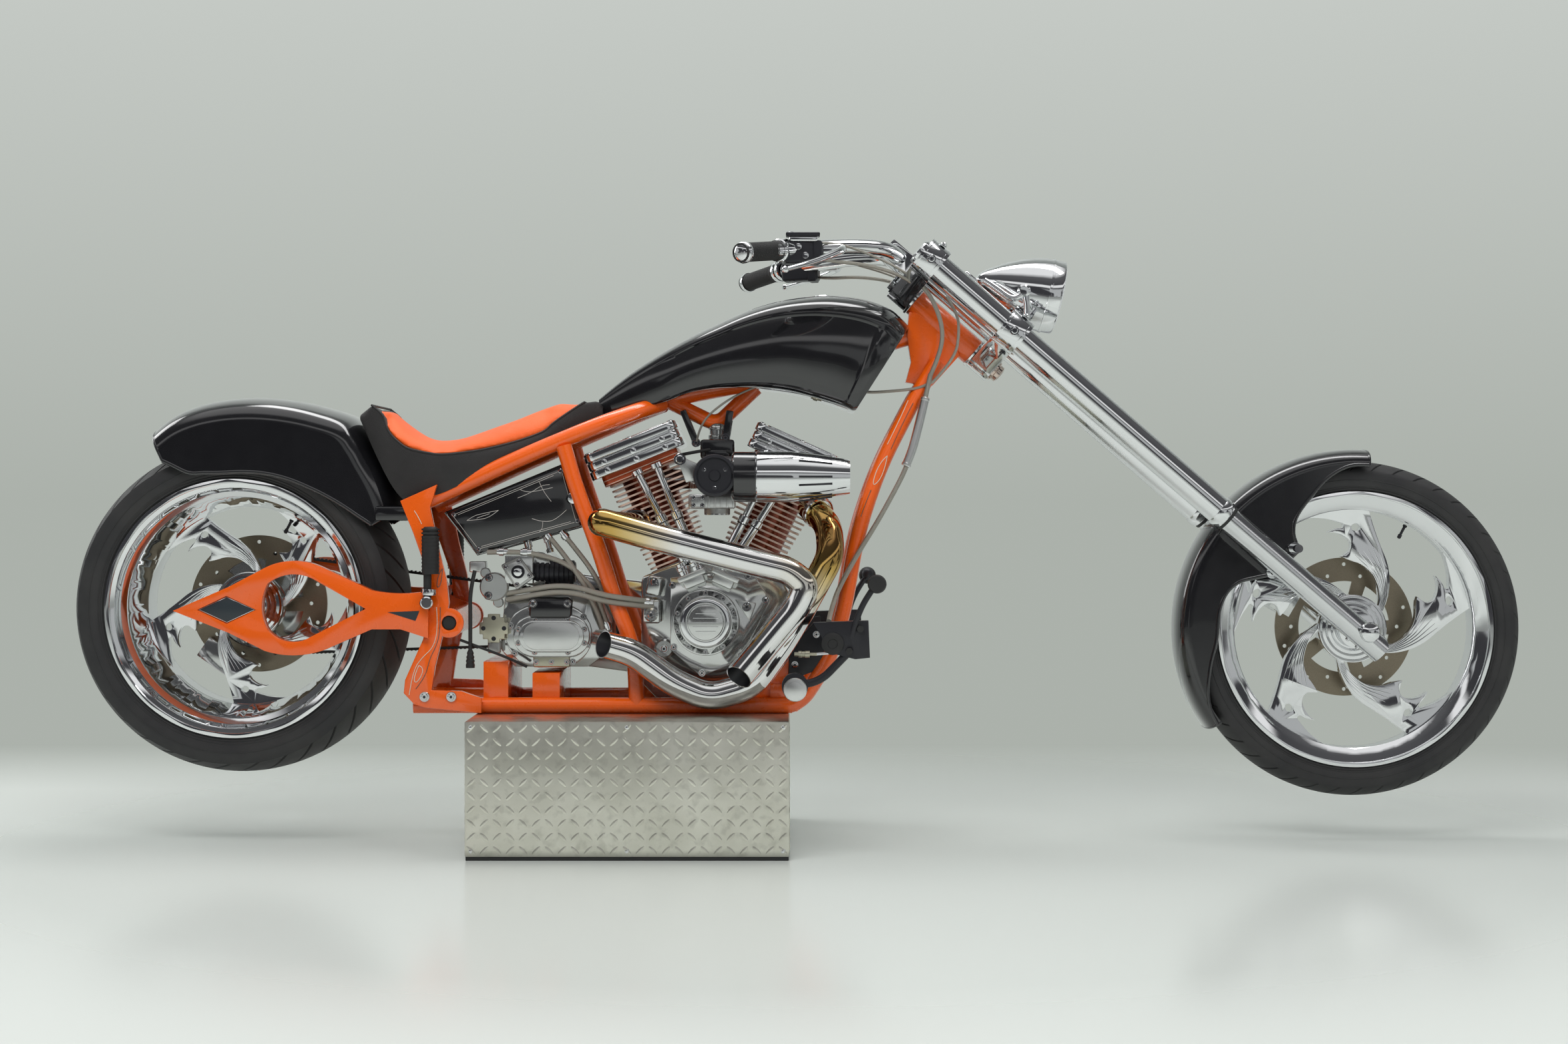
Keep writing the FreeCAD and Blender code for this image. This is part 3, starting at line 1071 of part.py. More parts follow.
def wheel(name, rim_radius, rim_width, well_radius, section, blade_middle, hub_end, turn):
    """Rim, hub and claw-shaped blades in one casting, bored for the axle."""
    casting = Casting(name)
    half = value(rim_width) / 2
    lip = value(rim_radius) - value("sizes.seat_play")
    drop = lip - value("sizes.rim_wall") - value(well_radius)
    outer = [(half * across, lip - drop * down) for across, down in section]
    inner = [(y, radius - value("sizes.rim_wall")) for y, radius in reversed(outer)]
    casting.revolve(outer + inner)
    flange_low = "%s - sizes.flange_thickness / 2" % blade_middle
    blade_low = "%s - sizes.blade_thickness / 2" % blade_middle
    arm, window = (polar_rows(rows, value(well_radius), value(turn))
                   for rows in (BLADE, BLADE_WINDOW))
    arm = casting.pad(casting.outline(arm, offset=blade_low), "sizes.blade_thickness")
    window = casting.pocket(casting.outline(window, offset=blade_low), "sizes.blade_thickness")
    casting.around([arm, window], "sizes.blade_count")
    casting.pad(casting.circle("sizes.flange_radius", "0", "0", offset=flange_low),
                "sizes.flange_thickness")
    casting.pad(casting.circle("sizes.hub_radius", "0", "0", offset="-%s" % hub_end),
                "2 * %s" % hub_end)
    casting.pocket(casting.circle("sizes.axle_radius + sizes.bearing_play", "0", "0",
                                  offset="-%s" % hub_end), "2 * %s" % hub_end)
    return casting


keep(wheel("front_rim", "sizes.front_rim_radius", "sizes.front_rim_width",
           "sizes.front_well_radius", FRONT_RIM, "0", "sizes.front_rotor_y",
           "sizes.front_blade_turn")
     .place(FRONT_X, "0", "sizes.front_axle_z"))
keep(wheel("rear_rim", "sizes.rear_rim_radius", "sizes.rear_rim_width",
           "sizes.rear_well_radius", REAR_RIM, "sizes.rear_blade_y", "sizes.rear_rotor_y",
           "sizes.rear_blade_turn")
     .place(REAR_X, "0", "sizes.rear_axle_z"))

doc.recompute()
for part in doc.Objects:
    if "Invalid" in part.State or "Error" in part.State:
        raise RuntimeError("%s failed: %s" % (part.Label, part.State))
for part in NODES:
    if part.Shape.isNull() or not part.Shape.isValid():
        raise RuntimeError("%s has no valid shape" % part.Label)
os.makedirs("parts", exist_ok=True)
for part in NODES:
    part.Shape.exportStep("parts/%s.step" % part.Label)
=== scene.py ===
"""Chopper motorcycle on a tread-plate plinth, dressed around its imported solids.

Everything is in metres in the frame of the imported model: +X forwards, +Y to the rider's
left, +Z up.  Each sub-assembly is a class that holds its sizes and builds its own pieces.
"""
from __future__ import annotations

import json
import logging
import math
from dataclasses import dataclass
from enum import Enum
from typing import Any, Callable, Iterable, Mapping, Sequence

import bmesh
import bpy
from mathutils import Matrix, Vector
from mathutils.bvhtree import BVHTree

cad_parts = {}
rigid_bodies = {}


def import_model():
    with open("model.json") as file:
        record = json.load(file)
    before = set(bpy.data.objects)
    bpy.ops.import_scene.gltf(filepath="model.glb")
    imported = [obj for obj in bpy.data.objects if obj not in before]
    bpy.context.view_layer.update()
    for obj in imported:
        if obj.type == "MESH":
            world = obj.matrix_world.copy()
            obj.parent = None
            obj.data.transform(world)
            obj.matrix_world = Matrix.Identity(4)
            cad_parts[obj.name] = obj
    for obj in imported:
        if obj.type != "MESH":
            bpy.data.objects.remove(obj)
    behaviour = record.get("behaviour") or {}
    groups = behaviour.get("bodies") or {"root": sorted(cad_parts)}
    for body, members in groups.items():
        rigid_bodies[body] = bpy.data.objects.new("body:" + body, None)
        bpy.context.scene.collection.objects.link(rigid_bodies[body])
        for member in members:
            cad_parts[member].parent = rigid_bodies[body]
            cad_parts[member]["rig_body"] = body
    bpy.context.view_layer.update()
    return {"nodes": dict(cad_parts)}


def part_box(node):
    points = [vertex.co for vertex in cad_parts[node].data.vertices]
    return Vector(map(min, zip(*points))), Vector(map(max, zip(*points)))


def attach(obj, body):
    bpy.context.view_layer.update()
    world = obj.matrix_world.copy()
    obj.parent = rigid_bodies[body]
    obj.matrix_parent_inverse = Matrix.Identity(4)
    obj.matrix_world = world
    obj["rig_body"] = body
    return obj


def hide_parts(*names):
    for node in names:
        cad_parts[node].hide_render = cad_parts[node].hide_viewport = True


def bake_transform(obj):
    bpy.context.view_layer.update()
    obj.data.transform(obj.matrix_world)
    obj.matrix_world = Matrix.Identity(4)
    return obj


LOG = logging.getLogger("chopper")
Point = tuple[float, float, float]
Rows = Sequence[Sequence[float]]
Colour = tuple[float, float, float]

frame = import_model()

CREASE = 32.0  # degrees at which two faces meet in a crisp edge
MERGE = 1e-6  # distance within which two vertices are one
BUMP_HEIGHT = 0.0006  # height of the relief in a finish
COAT_ROUGHNESS = 0.03
ARC_STEPS = 12  # steps of an arc between two straight runs
PAINT_LIFT = 0.0002  # how far a painted line stands off its surface
PATCH_LIFT = 0.0006  # how far a laid skin stands off its surface
UP = Vector((0, 0, 1))
ACROSS = Vector((0, 1, 0))
FORWARD = Vector((1, 0, 0))


# ---------------------------------------------------------------- node graphs
def operator(operation: str, swapped: bool = False) -> Callable[["Value", Any], "Value"]:
    """An arithmetic method of a value.

    Args:
        operation: the Math node's operation.
        swapped: whether the value stands on the right.

    Returns:
        The method, which adds the node.
    """
    def method(value: "Value", other: Any) -> "Value":
        """Add a Math node for the value and another value or number."""
        return value.graph.math(operation, *((other, value) if swapped else (value, other)))

    return method


class Value:
    """An output socket that does arithmetic by adding nodes to its graph."""

    __add__, __radd__ = operator("ADD"), operator("ADD", True)
    __sub__, __rsub__ = operator("SUBTRACT"), operator("SUBTRACT", True)
    __mul__, __rmul__ = operator("MULTIPLY"), operator("MULTIPLY", True)
    __truediv__, __rtruediv__ = operator("DIVIDE"), operator("DIVIDE", True)

    def __init__(self, graph: "Graph", socket: bpy.types.NodeSocket) -> None:
        """Wrap a socket.

        Args:
            graph: the graph that the socket belongs to.
            socket: the output socket.
        """
        self.graph = graph
        self.socket = socket


class Graph:
    """A node tree with one way to add any node."""

    def __init__(self, tree: bpy.types.NodeTree) -> None:
        """Start on an empty tree.

        Args:
            tree: a shader or geometry tree, whose nodes are removed.
        """
        self.tree = tree
        self.tree.nodes.clear()

    def add(self, kind: str, settings: Mapping[str, Any] | None = None,
            inputs: Mapping[Any, Any] | None = None, output: Any = 0) -> Value:
        """Add a node.

        Args:
            kind: the node's type.
            settings: its own fields, set first; "stops" sets a ramp's (place, colour) pairs.
            inputs: socket name or number to a value or a linked Value.
            output: name or number of the output that is returned.

        Returns:
            The chosen output.
        """
        node = self.tree.nodes.new(kind)
        for name, setting in (settings or {}).items():
            if name == "stops":
                self._set_stops(node.color_ramp, setting)
            else:
                setattr(node, name, setting)
        for key, given in (inputs or {}).items():
            socket = node.inputs[key]
            if isinstance(given, Value):
                self.tree.links.new(given.socket, socket)
            else:
                if socket.type == "RGBA" and len(given) == 3:
                    given = (*given, 1.0)
                socket.default_value = given
        return Value(self, node.outputs[output]) if node.outputs else Value(self, None)

    @staticmethod
    def _set_stops(ramp: bpy.types.ColorRamp, stops: Sequence[tuple[float, Colour]]) -> None:
        """Give a ramp its stops.

        Args:
            ramp: the ramp.
            stops: its (place, colour) pairs.
        """
        while len(ramp.elements) < len(stops):
            ramp.elements.new(1.0)
        for element, (place, colour) in zip(ramp.elements, stops):
            element.position = place
            element.color = (*colour, 1.0)

    def math(self, operation: str, *values: Any) -> Value:
        """Add a Math node on numbers or numeric outputs."""
        return self.add("ShaderNodeMath", {"operation": operation}, dict(enumerate(values)))

    def mix(self, factor: Any, low: Any, high: Any) -> Value:
        """Blend two colours by a factor."""
        return self.add("ShaderNodeMix", {"data_type": "RGBA"}, {0: factor, 6: low, 7: high}, 2)

    def vector(self, operation: str, *values: Any, output: str = "Vector") -> Value:
        """Add a Vector Math node."""
        return self.add("ShaderNodeVectorMath", {"operation": operation}, dict(enumerate(values)), output)

    def axis(self, vector: Value, name: str) -> Value:
        """One coordinate of a vector."""
        return self.add("ShaderNodeSeparateXYZ", None, {"Vector": vector}, name)

    def noise(self, vector: Value, scale: float, detail: float = 3.0) -> Value:
        """Noise between 0 and 1."""
        return self.add("ShaderNodeTexNoise", None, {"Vector": vector, "Scale": scale, "Detail": detail},
            "Fac")

    def ramp(self, value: Value, *stops: tuple[float, float]) -> Value:
        """A number through a ramp of grey stops."""
        return self.add("ShaderNodeValToRGB", {"stops": [(place, (grey,) * 3) for place, grey in stops]},
            {"Fac": value}, "Color")


class Relief(Enum):
    """The small-scale surface that a finish has."""

    SMOOTH = "smooth"
    CAST = "cast"
    BRUSHED = "brushed"
    GRAIN = "grain"
    RUBBER = "rubber"
    BRAID = "braid"
    ORANGE_PEEL = "orange peel"
    TURNED = "turned"


@dataclass(frozen=True)
class Finish:
    """One procedural finish.

    Attributes:
        name: name of its material.
        slot: slot of the record that it belongs to; not used.
        colour: its base colour.
        shade: the colour that its darker patches lean to.
        metallic: 0 or 1.
        roughness: middle roughness.
        spread: how far the roughness wanders.
        coat: clear-coat weight.
        relief: small-scale surface.
        depth: strength of its bump.
        patch: how strongly the shade shows, from 0 to 1.
        scale: patches in a metre.
        extra: what else changes its colour, from the graph, the place and the colour.
    """

    name: str
    slot: str
    colour: Colour
    shade: Colour
    metallic: float = 0.0
    roughness: float = 0.3
    spread: float = 0.05
    coat: float = 0.0
    relief: Relief = Relief.SMOOTH
    depth: float = 0.1
    patch: float = 0.25
    scale: float = 14.0
    extra: Callable[[Graph, Value, Value], Value] | None = None

    def _height(self, graph: Graph, place: Value) -> Value:
        """The height pattern of the relief.

        Args:
            graph: the material's graph.
            place: Object coordinates.

        Returns:
            The height, from 0 to 1.
        """
        if self.relief is Relief.GRAIN:
            cells = graph.add("ShaderNodeTexVoronoi", {"feature": "DISTANCE_TO_EDGE"},
                {"Vector": place, "Scale": 420.0}, "Distance")
            return graph.ramp(cells, (0.0, 0.0), (0.25, 1.0)) * 0.8 + graph.noise(place, 900.0) * 0.2
        if self.relief is Relief.BRUSHED:
            fine = graph.vector("MULTIPLY", place, (30.0, 30.0, 900.0))
            return graph.noise(fine, 3.0)
        if self.relief is Relief.TURNED:
            return graph.noise(graph.vector("MULTIPLY", place, (40.0, 1200.0, 40.0)), 2.0)
        if self.relief is Relief.CAST:
            return graph.noise(place, 700.0, 6.0)
        if self.relief is Relief.RUBBER:
            return graph.noise(place, 1100.0, 4.0)
        if self.relief is Relief.ORANGE_PEEL:
            return graph.noise(place, 260.0, 2.0)
        if self.relief is Relief.BRAID:
            left = graph.add("ShaderNodeTexWave", {"bands_direction": "DIAGONAL"},
                {"Vector": place, "Scale": 260.0, "Distortion": 0.5}, "Fac")
            right = graph.add("ShaderNodeTexWave", {"bands_direction": "DIAGONAL"},
                {"Vector": graph.vector("MULTIPLY", place, (1.0, 1.0, -1.0)), "Scale": 260.0,
                    "Distortion": 0.5}, "Fac")
            return left * right
        return graph.noise(place, 90.0, 2.0)

    def material(self) -> bpy.types.Material:
        """Build the material, or return it if it is there already.

        Returns:
            The material.
        """
        known = bpy.data.materials.get(self.name)
        if known:
            return known
        made = bpy.data.materials.new(self.name)
        made.use_nodes = True
        graph = Graph(made.node_tree)
        place = graph.add("ShaderNodeTexCoord", output="Object")
        wander = graph.noise(place, self.scale, 5.0)
        mask = graph.ramp(wander, (0.35, 0.0), (0.7, 1.0))
        colour = graph.mix(mask * self.patch, self.colour, self.shade)
        if self.extra:
            colour = self.extra(graph, place, colour)
        rough = (self.roughness - self.spread) + graph.noise(place, self.scale * 3.0) * (2.0 * self.spread)
        bump = graph.add("ShaderNodeBump", None,
            {"Strength": self.depth, "Distance": BUMP_HEIGHT, "Height": self._height(graph, place)},
            "Normal")
        shader = graph.add("ShaderNodeBsdfPrincipled", None,
            {"Base Color": colour, "Metallic": self.metallic, "Roughness": rough, "Coat Weight": self.coat,
                "Coat Roughness": COAT_ROUGHNESS, "Normal": bump}, "BSDF")
        graph.add("ShaderNodeOutputMaterial", None, {"Surface": shader})
        return made


def heat_tint(graph: Graph, place: Value, colour: Value) -> Value:
    """Gold and brown of a pipe near the exhaust ports, fading with distance from them.

    Args:
        graph: the material's graph.
        place: Object coordinates.
        colour: the colour so far.

    Returns:
        The tinted colour.
    """
    for port in ((-0.395, -0.2, 0.66), (0.062, -0.14, 0.62)):
        away = graph.vector("DISTANCE", place, port, output="Value")
        wobble = away + graph.noise(place, 18.0) * 0.03
        gold = graph.ramp(wobble, (0.09, 1.0), (0.19, 0.0))
        brown = graph.ramp(wobble, (0.05, 1.0), (0.11, 0.0))
        colour = graph.mix(gold, colour, (0.66, 0.46, 0.13))
        colour = graph.mix(brown * 0.7, colour, (0.3, 0.13, 0.06))
    return colour


def scuffed_plate_and_foot_shade(graph: Graph, place: Value, colour: Value) -> Value:
    """Dull scuffs and painted shade along the foot of rolled tread plate.

    Args:
        graph: the material's graph.
        place: Object coordinates.
        colour: the colour so far.

    Returns:
        The scuffed colour, darkened by painted shade at the foot.
    """
    height = graph.axis(place, "Z")
    # painted shade: the plate darkens towards the floor, within 2 cm of it
    foot = graph.ramp(height, (0.0, 1.0), (0.02, 0.0))
    scuff = graph.ramp(graph.noise(place, 45.0, 8.0), (0.52, 0.0), (0.66, 1.0))
    colour = graph.mix(scuff * 0.18, colour, (0.16, 0.15, 0.12))
    return graph.mix(foot * 0.8, colour, (0.05, 0.05, 0.045))


def ground_grain(graph: Graph, place: Value, colour: Value) -> Value:
    """A fine radial grain of a ground disc."""
    fine = graph.noise(graph.vector("MULTIPLY", place, (500.0, 5.0, 500.0)), 1.0, 2.0)
    return graph.mix(fine * 0.5, colour, (0.42, 0.38, 0.3))


ORANGE = Finish("orange_paint", "frame_orange", (0.76, 0.105, 0.003), (0.66, 0.085, 0.003), roughness=0.28,
    coat=0.7, relief=Relief.ORANGE_PEEL, depth=0.04, patch=0.2)
BLACK = Finish("black_paint", "gloss_black", (0.006, 0.006, 0.007), (0.014, 0.014, 0.016), roughness=0.16,
    coat=1.0, relief=Relief.ORANGE_PEEL, depth=0.03)
CHROME = Finish("chrome_plate", "chrome", (0.8, 0.81, 0.82), (0.7, 0.71, 0.72), metallic=1.0,
    roughness=0.06, spread=0.02, depth=0.02)
PIPE = Finish("exhaust_chrome", "chrome", (0.8, 0.8, 0.8), (0.72, 0.7, 0.66), metallic=1.0, roughness=0.07,
    spread=0.03, depth=0.02, extra=heat_tint)
ALLOY = Finish("polished_alloy", "polished_alloy", (0.66, 0.66, 0.65), (0.52, 0.52, 0.5), metallic=1.0,
    roughness=0.2, spread=0.07, relief=Relief.CAST, depth=0.12)
DULL_ALLOY = Finish("cast_alloy", "polished_alloy", (0.46, 0.46, 0.45), (0.3, 0.3, 0.29), metallic=1.0,
    roughness=0.38, spread=0.08, relief=Relief.CAST, depth=0.5)
LIGHT_ALLOY = Finish("bead_blasted_alloy", "polished_alloy", (0.74, 0.75, 0.74), (0.6, 0.61, 0.6),
    metallic=1.0, roughness=0.3, spread=0.06, relief=Relief.CAST, depth=0.2)
TAN_ALLOY = Finish("yellow_passivated", "polished_alloy", (0.6, 0.58, 0.46), (0.44, 0.4, 0.28),
    metallic=1.0, roughness=0.36, relief=Relief.CAST, depth=0.2)
# dark swingarm insets, and the painted shade laid where the swingarm's tubes part
INSET_AND_GAP_SHADE = Finish("dark_inset_and_gap_shade", "frame_orange", (0.022, 0.03, 0.036), (0.03, 0.036, 0.04), roughness=0.38,
    relief=Relief.CAST, depth=0.1)
WARM_CHROME = Finish("tinted_chrome", "chrome", (0.62, 0.52, 0.46), (0.5, 0.38, 0.32), metallic=1.0,
    roughness=0.12, depth=0.05)
FORK_ALLOY = Finish("slider_alloy", "polished_alloy", (0.72, 0.73, 0.74), (0.6, 0.61, 0.62), metallic=1.0,
    roughness=0.14, relief=Relief.BRUSHED, depth=0.04)
FIN_RED = Finish("fin_red", "fin_red", (0.56, 0.065, 0.018), (0.36, 0.036, 0.012), roughness=0.4, coat=0.3,
    relief=Relief.CAST, depth=0.35, patch=0.5)
FIN_EDGE = Finish("machined_edge", "polished_alloy", (0.76, 0.56, 0.46), (0.6, 0.36, 0.26), metallic=0.1,
    roughness=0.34, relief=Relief.TURNED)
# tread plate: random scuffs, and painted shade along its foot
TREAD_PLATE = Finish("rolled_plate", "tread_plate", (0.84, 0.83, 0.74), (0.62, 0.61, 0.52), metallic=1.0,
    roughness=0.4, spread=0.12, relief=Relief.CAST, depth=0.3, patch=0.5, extra=scuffed_plate_and_foot_shade)
TYRE = Finish("tyre_rubber", "tyre_black", (0.022, 0.022, 0.023), (0.045, 0.044, 0.042), roughness=0.62,
    spread=0.08, relief=Relief.RUBBER, depth=0.35, patch=0.4)
RUBBER = Finish("black_rubber", "rubber_black", (0.016, 0.016, 0.016), (0.03, 0.03, 0.03), roughness=0.55,
    relief=Relief.RUBBER, depth=0.4)
BRONZE = Finish("ground_disc", "disc_bronze", (0.26, 0.215, 0.155), (0.17, 0.14, 0.1), metallic=1.0,
    roughness=0.33, spread=0.08, depth=0.15, extra=ground_grain)
SATIN = Finish("satin_black", "satin_black", (0.018, 0.018, 0.02), (0.035, 0.035, 0.036), roughness=0.4,
    relief=Relief.CAST, depth=0.2)
LEATHER_BLACK = Finish("black_leather", "seat_black", (0.018, 0.017, 0.017), (0.035, 0.033, 0.032),
    roughness=0.5, relief=Relief.GRAIN, depth=0.5)
LEATHER_ORANGE = Finish("orange_leather", "seat_orange", (0.82, 0.125, 0.02), (0.62, 0.08, 0.012),
    roughness=0.5, relief=Relief.GRAIN, depth=0.45)
BRAID = Finish("steel_braid", "polished_alloy", (0.42, 0.4, 0.35), (0.28, 0.26, 0.22), metallic=0.7,
    roughness=0.42, relief=Relief.BRAID, depth=0.8)
LIGHT_LINE = Finish("pale_pinstripe", "frame_orange", (0.62, 0.56, 0.46), (0.5, 0.44, 0.34), roughness=0.35,
    coat=0.6)
TANK_LINE = Finish("faded_pinstripe", "gloss_black", (0.46, 0.44, 0.41), (0.34, 0.33, 0.31), roughness=0.35,
    coat=0.6)
DARK_LINE = Finish("dark_pinstripe", "frame_orange", (0.12, 0.09, 0.07), (0.2, 0.12, 0.08), roughness=0.35,
    coat=0.6)
THREAD = Finish("sewing_thread", "seat_black", (0.035, 0.033, 0.032), (0.06, 0.055, 0.05), roughness=0.6,
    relief=Relief.BRAID, depth=0.3)
GLASS = Finish("lamp_glass", "chrome", (0.85, 0.87, 0.88), (0.75, 0.77, 0.78), roughness=0.04, coat=1.0,
    metallic=0.0)


# ---------------------------------------------------------------- making pieces
def new_object(name: str, mesh: bpy.types.Mesh) -> bpy.types.Object:
    """Link a new object with a mesh.

    Args:
        name: the object's name.
        mesh: its mesh.

    Returns:
        The object.
    """
    made = bpy.data.objects.new(name, mesh)
    bpy.context.scene.collection.objects.link(made)
    return made


def shade_by_angle(mesh: bpy.types.Mesh, degrees: float = CREASE) -> None:
    """Smooth faces with sharp edges where they meet at more than an angle.

    Args:
        mesh: the mesh, which is changed.
        degrees: least angle of a sharp edge.
    """
    work = bmesh.new()
    work.from_mesh(mesh)
    limit = math.radians(degrees)
    for face in work.faces:
        face.smooth = True
    for edge in work.edges:
        edge.smooth = edge.is_manifold and edge.calc_face_angle(0.0) < limit
    work.to_mesh(mesh)
    work.free()


def baked(obj: bpy.types.Object) -> bpy.types.Object:
    """Turn an object's modifiers or curve into one plain mesh object.

    Args:
        obj: the object, which is removed.

    Returns:
        The plain object, under the same name.
    """
    graph = bpy.context.evaluated_depsgraph_get()
    mesh = bpy.data.meshes.new_from_object(obj.evaluated_get(graph))
    name = obj.name
    mesh.transform(obj.matrix_world)
    bpy.data.objects.remove(obj)
    made = new_object(name, mesh)
    mesh.name = name
    return made


def finish_piece(obj: bpy.types.Object, finish: Finish | Sequence[Finish], body: str = "root",
        replaces: Sequence[str] = ()) -> bpy.types.Object:
    """Give a piece its material, body and the nodes that it stands for.

    Args:
        obj: the piece, in place.
        finish: one finish, or one for each material index.
        body: the body that it rides on.
        replaces: names of the CAD nodes that it replaces.

    Returns:
        The same piece.
    """
    finishes = [finish] if isinstance(finish, Finish) else list(finish)
    marks = [face.material_index for face in obj.data.polygons]
    obj.data.materials.clear()
    for one in finishes:
        obj.data.materials.append(one.material())
    if len(finishes) > 1:
        obj.data.polygons.foreach_set("material_index", marks)
    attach(obj, body)
    if replaces:
        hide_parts(*replaces)
    LOG.info("%s on %s", obj.name, body)
    return obj


def mesh_piece(name: str, vertices: Iterable[Sequence[float]],
        faces: Iterable[Sequence[int]]) -> bpy.types.Object:
    """An object from vertices and faces, with doubles merged and faces turned outwards.

    Args:
        name: name of the piece.
        vertices: places of the vertices.
        faces: rows of the vertices' numbers.

    Returns:
        The piece.
    """
    mesh = bpy.data.meshes.new(name)
    mesh.from_pydata([tuple(vertex) for vertex in vertices], [], [list(face) for face in faces])
    work = bmesh.new()
    work.from_mesh(mesh)
    bmesh.ops.remove_doubles(work, verts=work.verts, dist=MERGE)
    bmesh.ops.recalc_face_normals(work, faces=work.faces)
    work.to_mesh(mesh)
    work.free()
    return new_object(name, mesh)


def add_bevel(obj: bpy.types.Object, width: float, segments: int = 2,
        degrees: float = 30.0) -> bpy.types.Object:
    """Round the sharp edges of a piece and bake the result.

    Args:
        obj: the piece, which is replaced.
        width: width of the rounds.
        segments: faces across a round.
        degrees: least angle that counts as an edge.

    Returns:
        The rounded piece.
    """
    modifier = obj.modifiers.new("bevel", "BEVEL")
    modifier.width = width
    modifier.segments = segments
    modifier.limit_method = "ANGLE"
    modifier.angle_limit = math.radians(degrees)
    made = baked(obj)
    shade_by_angle(made.data, degrees + 5.0)
    return made


def turned(name: str, profile: Rows, centre: Sequence[float], axis: Sequence[float],
        steps: int = 96) -> bpy.types.Object:
    """A lathe piece.

    Args:
        name: name of the piece.
        profile: rows of (distance along the axis, radius); a closed loop unless its ends
            lie on the axis.
        centre: a point on the axis.
        axis: direction of the axis.
        steps: faces round the axis.

    Returns:
        The piece.
    """
    spin = Vector(axis).normalized().to_track_quat("Z", "Y").to_matrix().to_4x4()
    place = Matrix.Translation(Vector(centre)) @ spin
    rows = list(profile)
    vertices = []
    for along, radius in rows:
        for step in range(steps):
            angle = math.tau * step / steps
            vertices.append(place @ Vector((radius * math.cos(angle), radius * math.sin(angle), along)))
    closed = rows[0][1] > MERGE and rows[-1][1] > MERGE
    count = len(rows)
    faces = []
    for row in range(count if closed else count - 1):
        for step in range(steps):
            after = (step + 1) % steps
            upper = (row + 1) % count
            faces.append((row * steps + step, row * steps + after, upper * steps + after,
                    upper * steps + step))
    made = mesh_piece(name, vertices, faces)
    shade_by_angle(made.data)
    return made


def prism(name: str, outline: Rows, start: float, depth: float, bevel: float = 0.0) -> bpy.types.Object:
    """A side-view outline of (x, z) points drawn along +Y from start by depth.

    Args:
        name: name of the piece.
        outline: its (x, z) corners.
        start: where it starts along +Y.
        depth: its depth along +Y.
        bevel: width of its rounded edges, or 0.

    Returns:
        The piece.
    """
    count = len(outline)
    vertices = [(x, start, z) for x, z in outline] + [(x, start + depth, z) for x, z in outline]
    faces = [tuple(range(count)), tuple(range(2 * count - 1, count - 1, -1))]
    faces += [(i, (i + 1) % count, (i + 1) % count + count, i + count) for i in range(count)]
    made = mesh_piece(name, vertices, faces)
    if bevel:
        made = add_bevel(made, bevel)
    else:
        shade_by_angle(made.data)
    return made


def smooth_line(points: Rows, detail: int = 12) -> list[Vector]:
    """Points along the NURBS spline that has the given control points.

    Args:
        points: the control points.
        detail: points along the line for each of them.

    Returns:
        The points along the line.
    """
    curve = bpy.data.curves.new("route", "CURVE")
    curve.dimensions = "3D"
    spline = curve.splines.new("NURBS")
    spline.points.add(len(points) - 1)
    for knot, point in zip(spline.points, points):
        knot.co = (*point, 1.0)
    spline.order_u = 3
    spline.use_endpoint_u = True
    curve.resolution_u = detail
    holder = bpy.data.objects.new("route", curve)
    bpy.context.scene.collection.objects.link(holder)
    graph = bpy.context.evaluated_depsgraph_get()
    mesh = bpy.data.meshes.new_from_object(holder.evaluated_get(graph))
    line = [vertex.co.copy() for vertex in mesh.vertices]
    bpy.data.objects.remove(holder)
    bpy.data.meshes.remove(mesh)
    return line


def rounded_path(points: Rows, share: float) -> list[Vector]:
    """Points along straight runs that are joined by tangent arcs.

    Args:
        points: the corners.
        share: the part of the shorter run that an arc takes.

    Returns:
        Points close enough together for a smooth pipe.
    """
    corners = [Vector(point) for point in points]
    line = [corners[0]]
    for before, corner, after in zip(corners, corners[1:], corners[2:]):
        inward, outward = (before - corner), (after - corner)
        trim = share * min(inward.length, outward.length)
        inward.normalize()
        outward.normalize()
        first, last = corner + inward * trim, corner + outward * trim
        for step in range(ARC_STEPS + 1):
            part = step / ARC_STEPS
            line.append(first * (1 - part) ** 2 + corner * 2 * part * (1 - part) + last * part ** 2)
    line.append(corners[-1])
    return line


def swept(name: str, line: Sequence[Vector], radii: float | Sequence[float], steps: int = 20,
        capped: bool = True) -> bpy.types.Object:
    """A tube along a line.

    Args:
        name: name of the piece.
        line: points along its middle.
        radii: one radius, or one for each point.
        steps: faces round the tube.
        capped: whether the ends are closed.

    Returns:
        The piece.
    """
    line = [Vector(point) for point in line]
    sizes = [radii] * len(line) if isinstance(radii, float) else list(radii)
    vertices, faces = [], []
    tangent = (line[1] - line[0]).normalized()
    side = tangent.orthogonal().normalized()
    for number, point in enumerate(line):
        ahead = line[min(number + 1, len(line) - 1)] - line[max(number - 1, 0)]
        turn = tangent.rotation_difference(ahead.normalized())
        side = (turn @ side).normalized()
        tangent = ahead.normalized()
        other = tangent.cross(side)
        for step in range(steps):
            angle = math.tau * step / steps
            away = (side * math.cos(angle) + other * math.sin(angle)) * sizes[number]
            vertices.append(point + away)
    for ring in range(len(line) - 1):
        for step in range(steps):
            after = (step + 1) % steps
            faces.append((ring * steps + step, ring * steps + after, (ring + 1) * steps + after,
                    (ring + 1) * steps + step))
    if capped:
        faces.append(tuple(range(steps - 1, -1, -1)))
        faces.append(tuple(range((len(line) - 1) * steps, len(line) * steps)))
    made = mesh_piece(name, vertices, faces)
    shade_by_angle(made.data, 40.0)
    return made


def hose(name: str, points: Rows, radius: float, steps: int = 20, detail: int = 8) -> bpy.types.Object:
    """A tube along the smooth line that has the given control points."""
    return swept(name, smooth_line(points, detail), radius, steps)


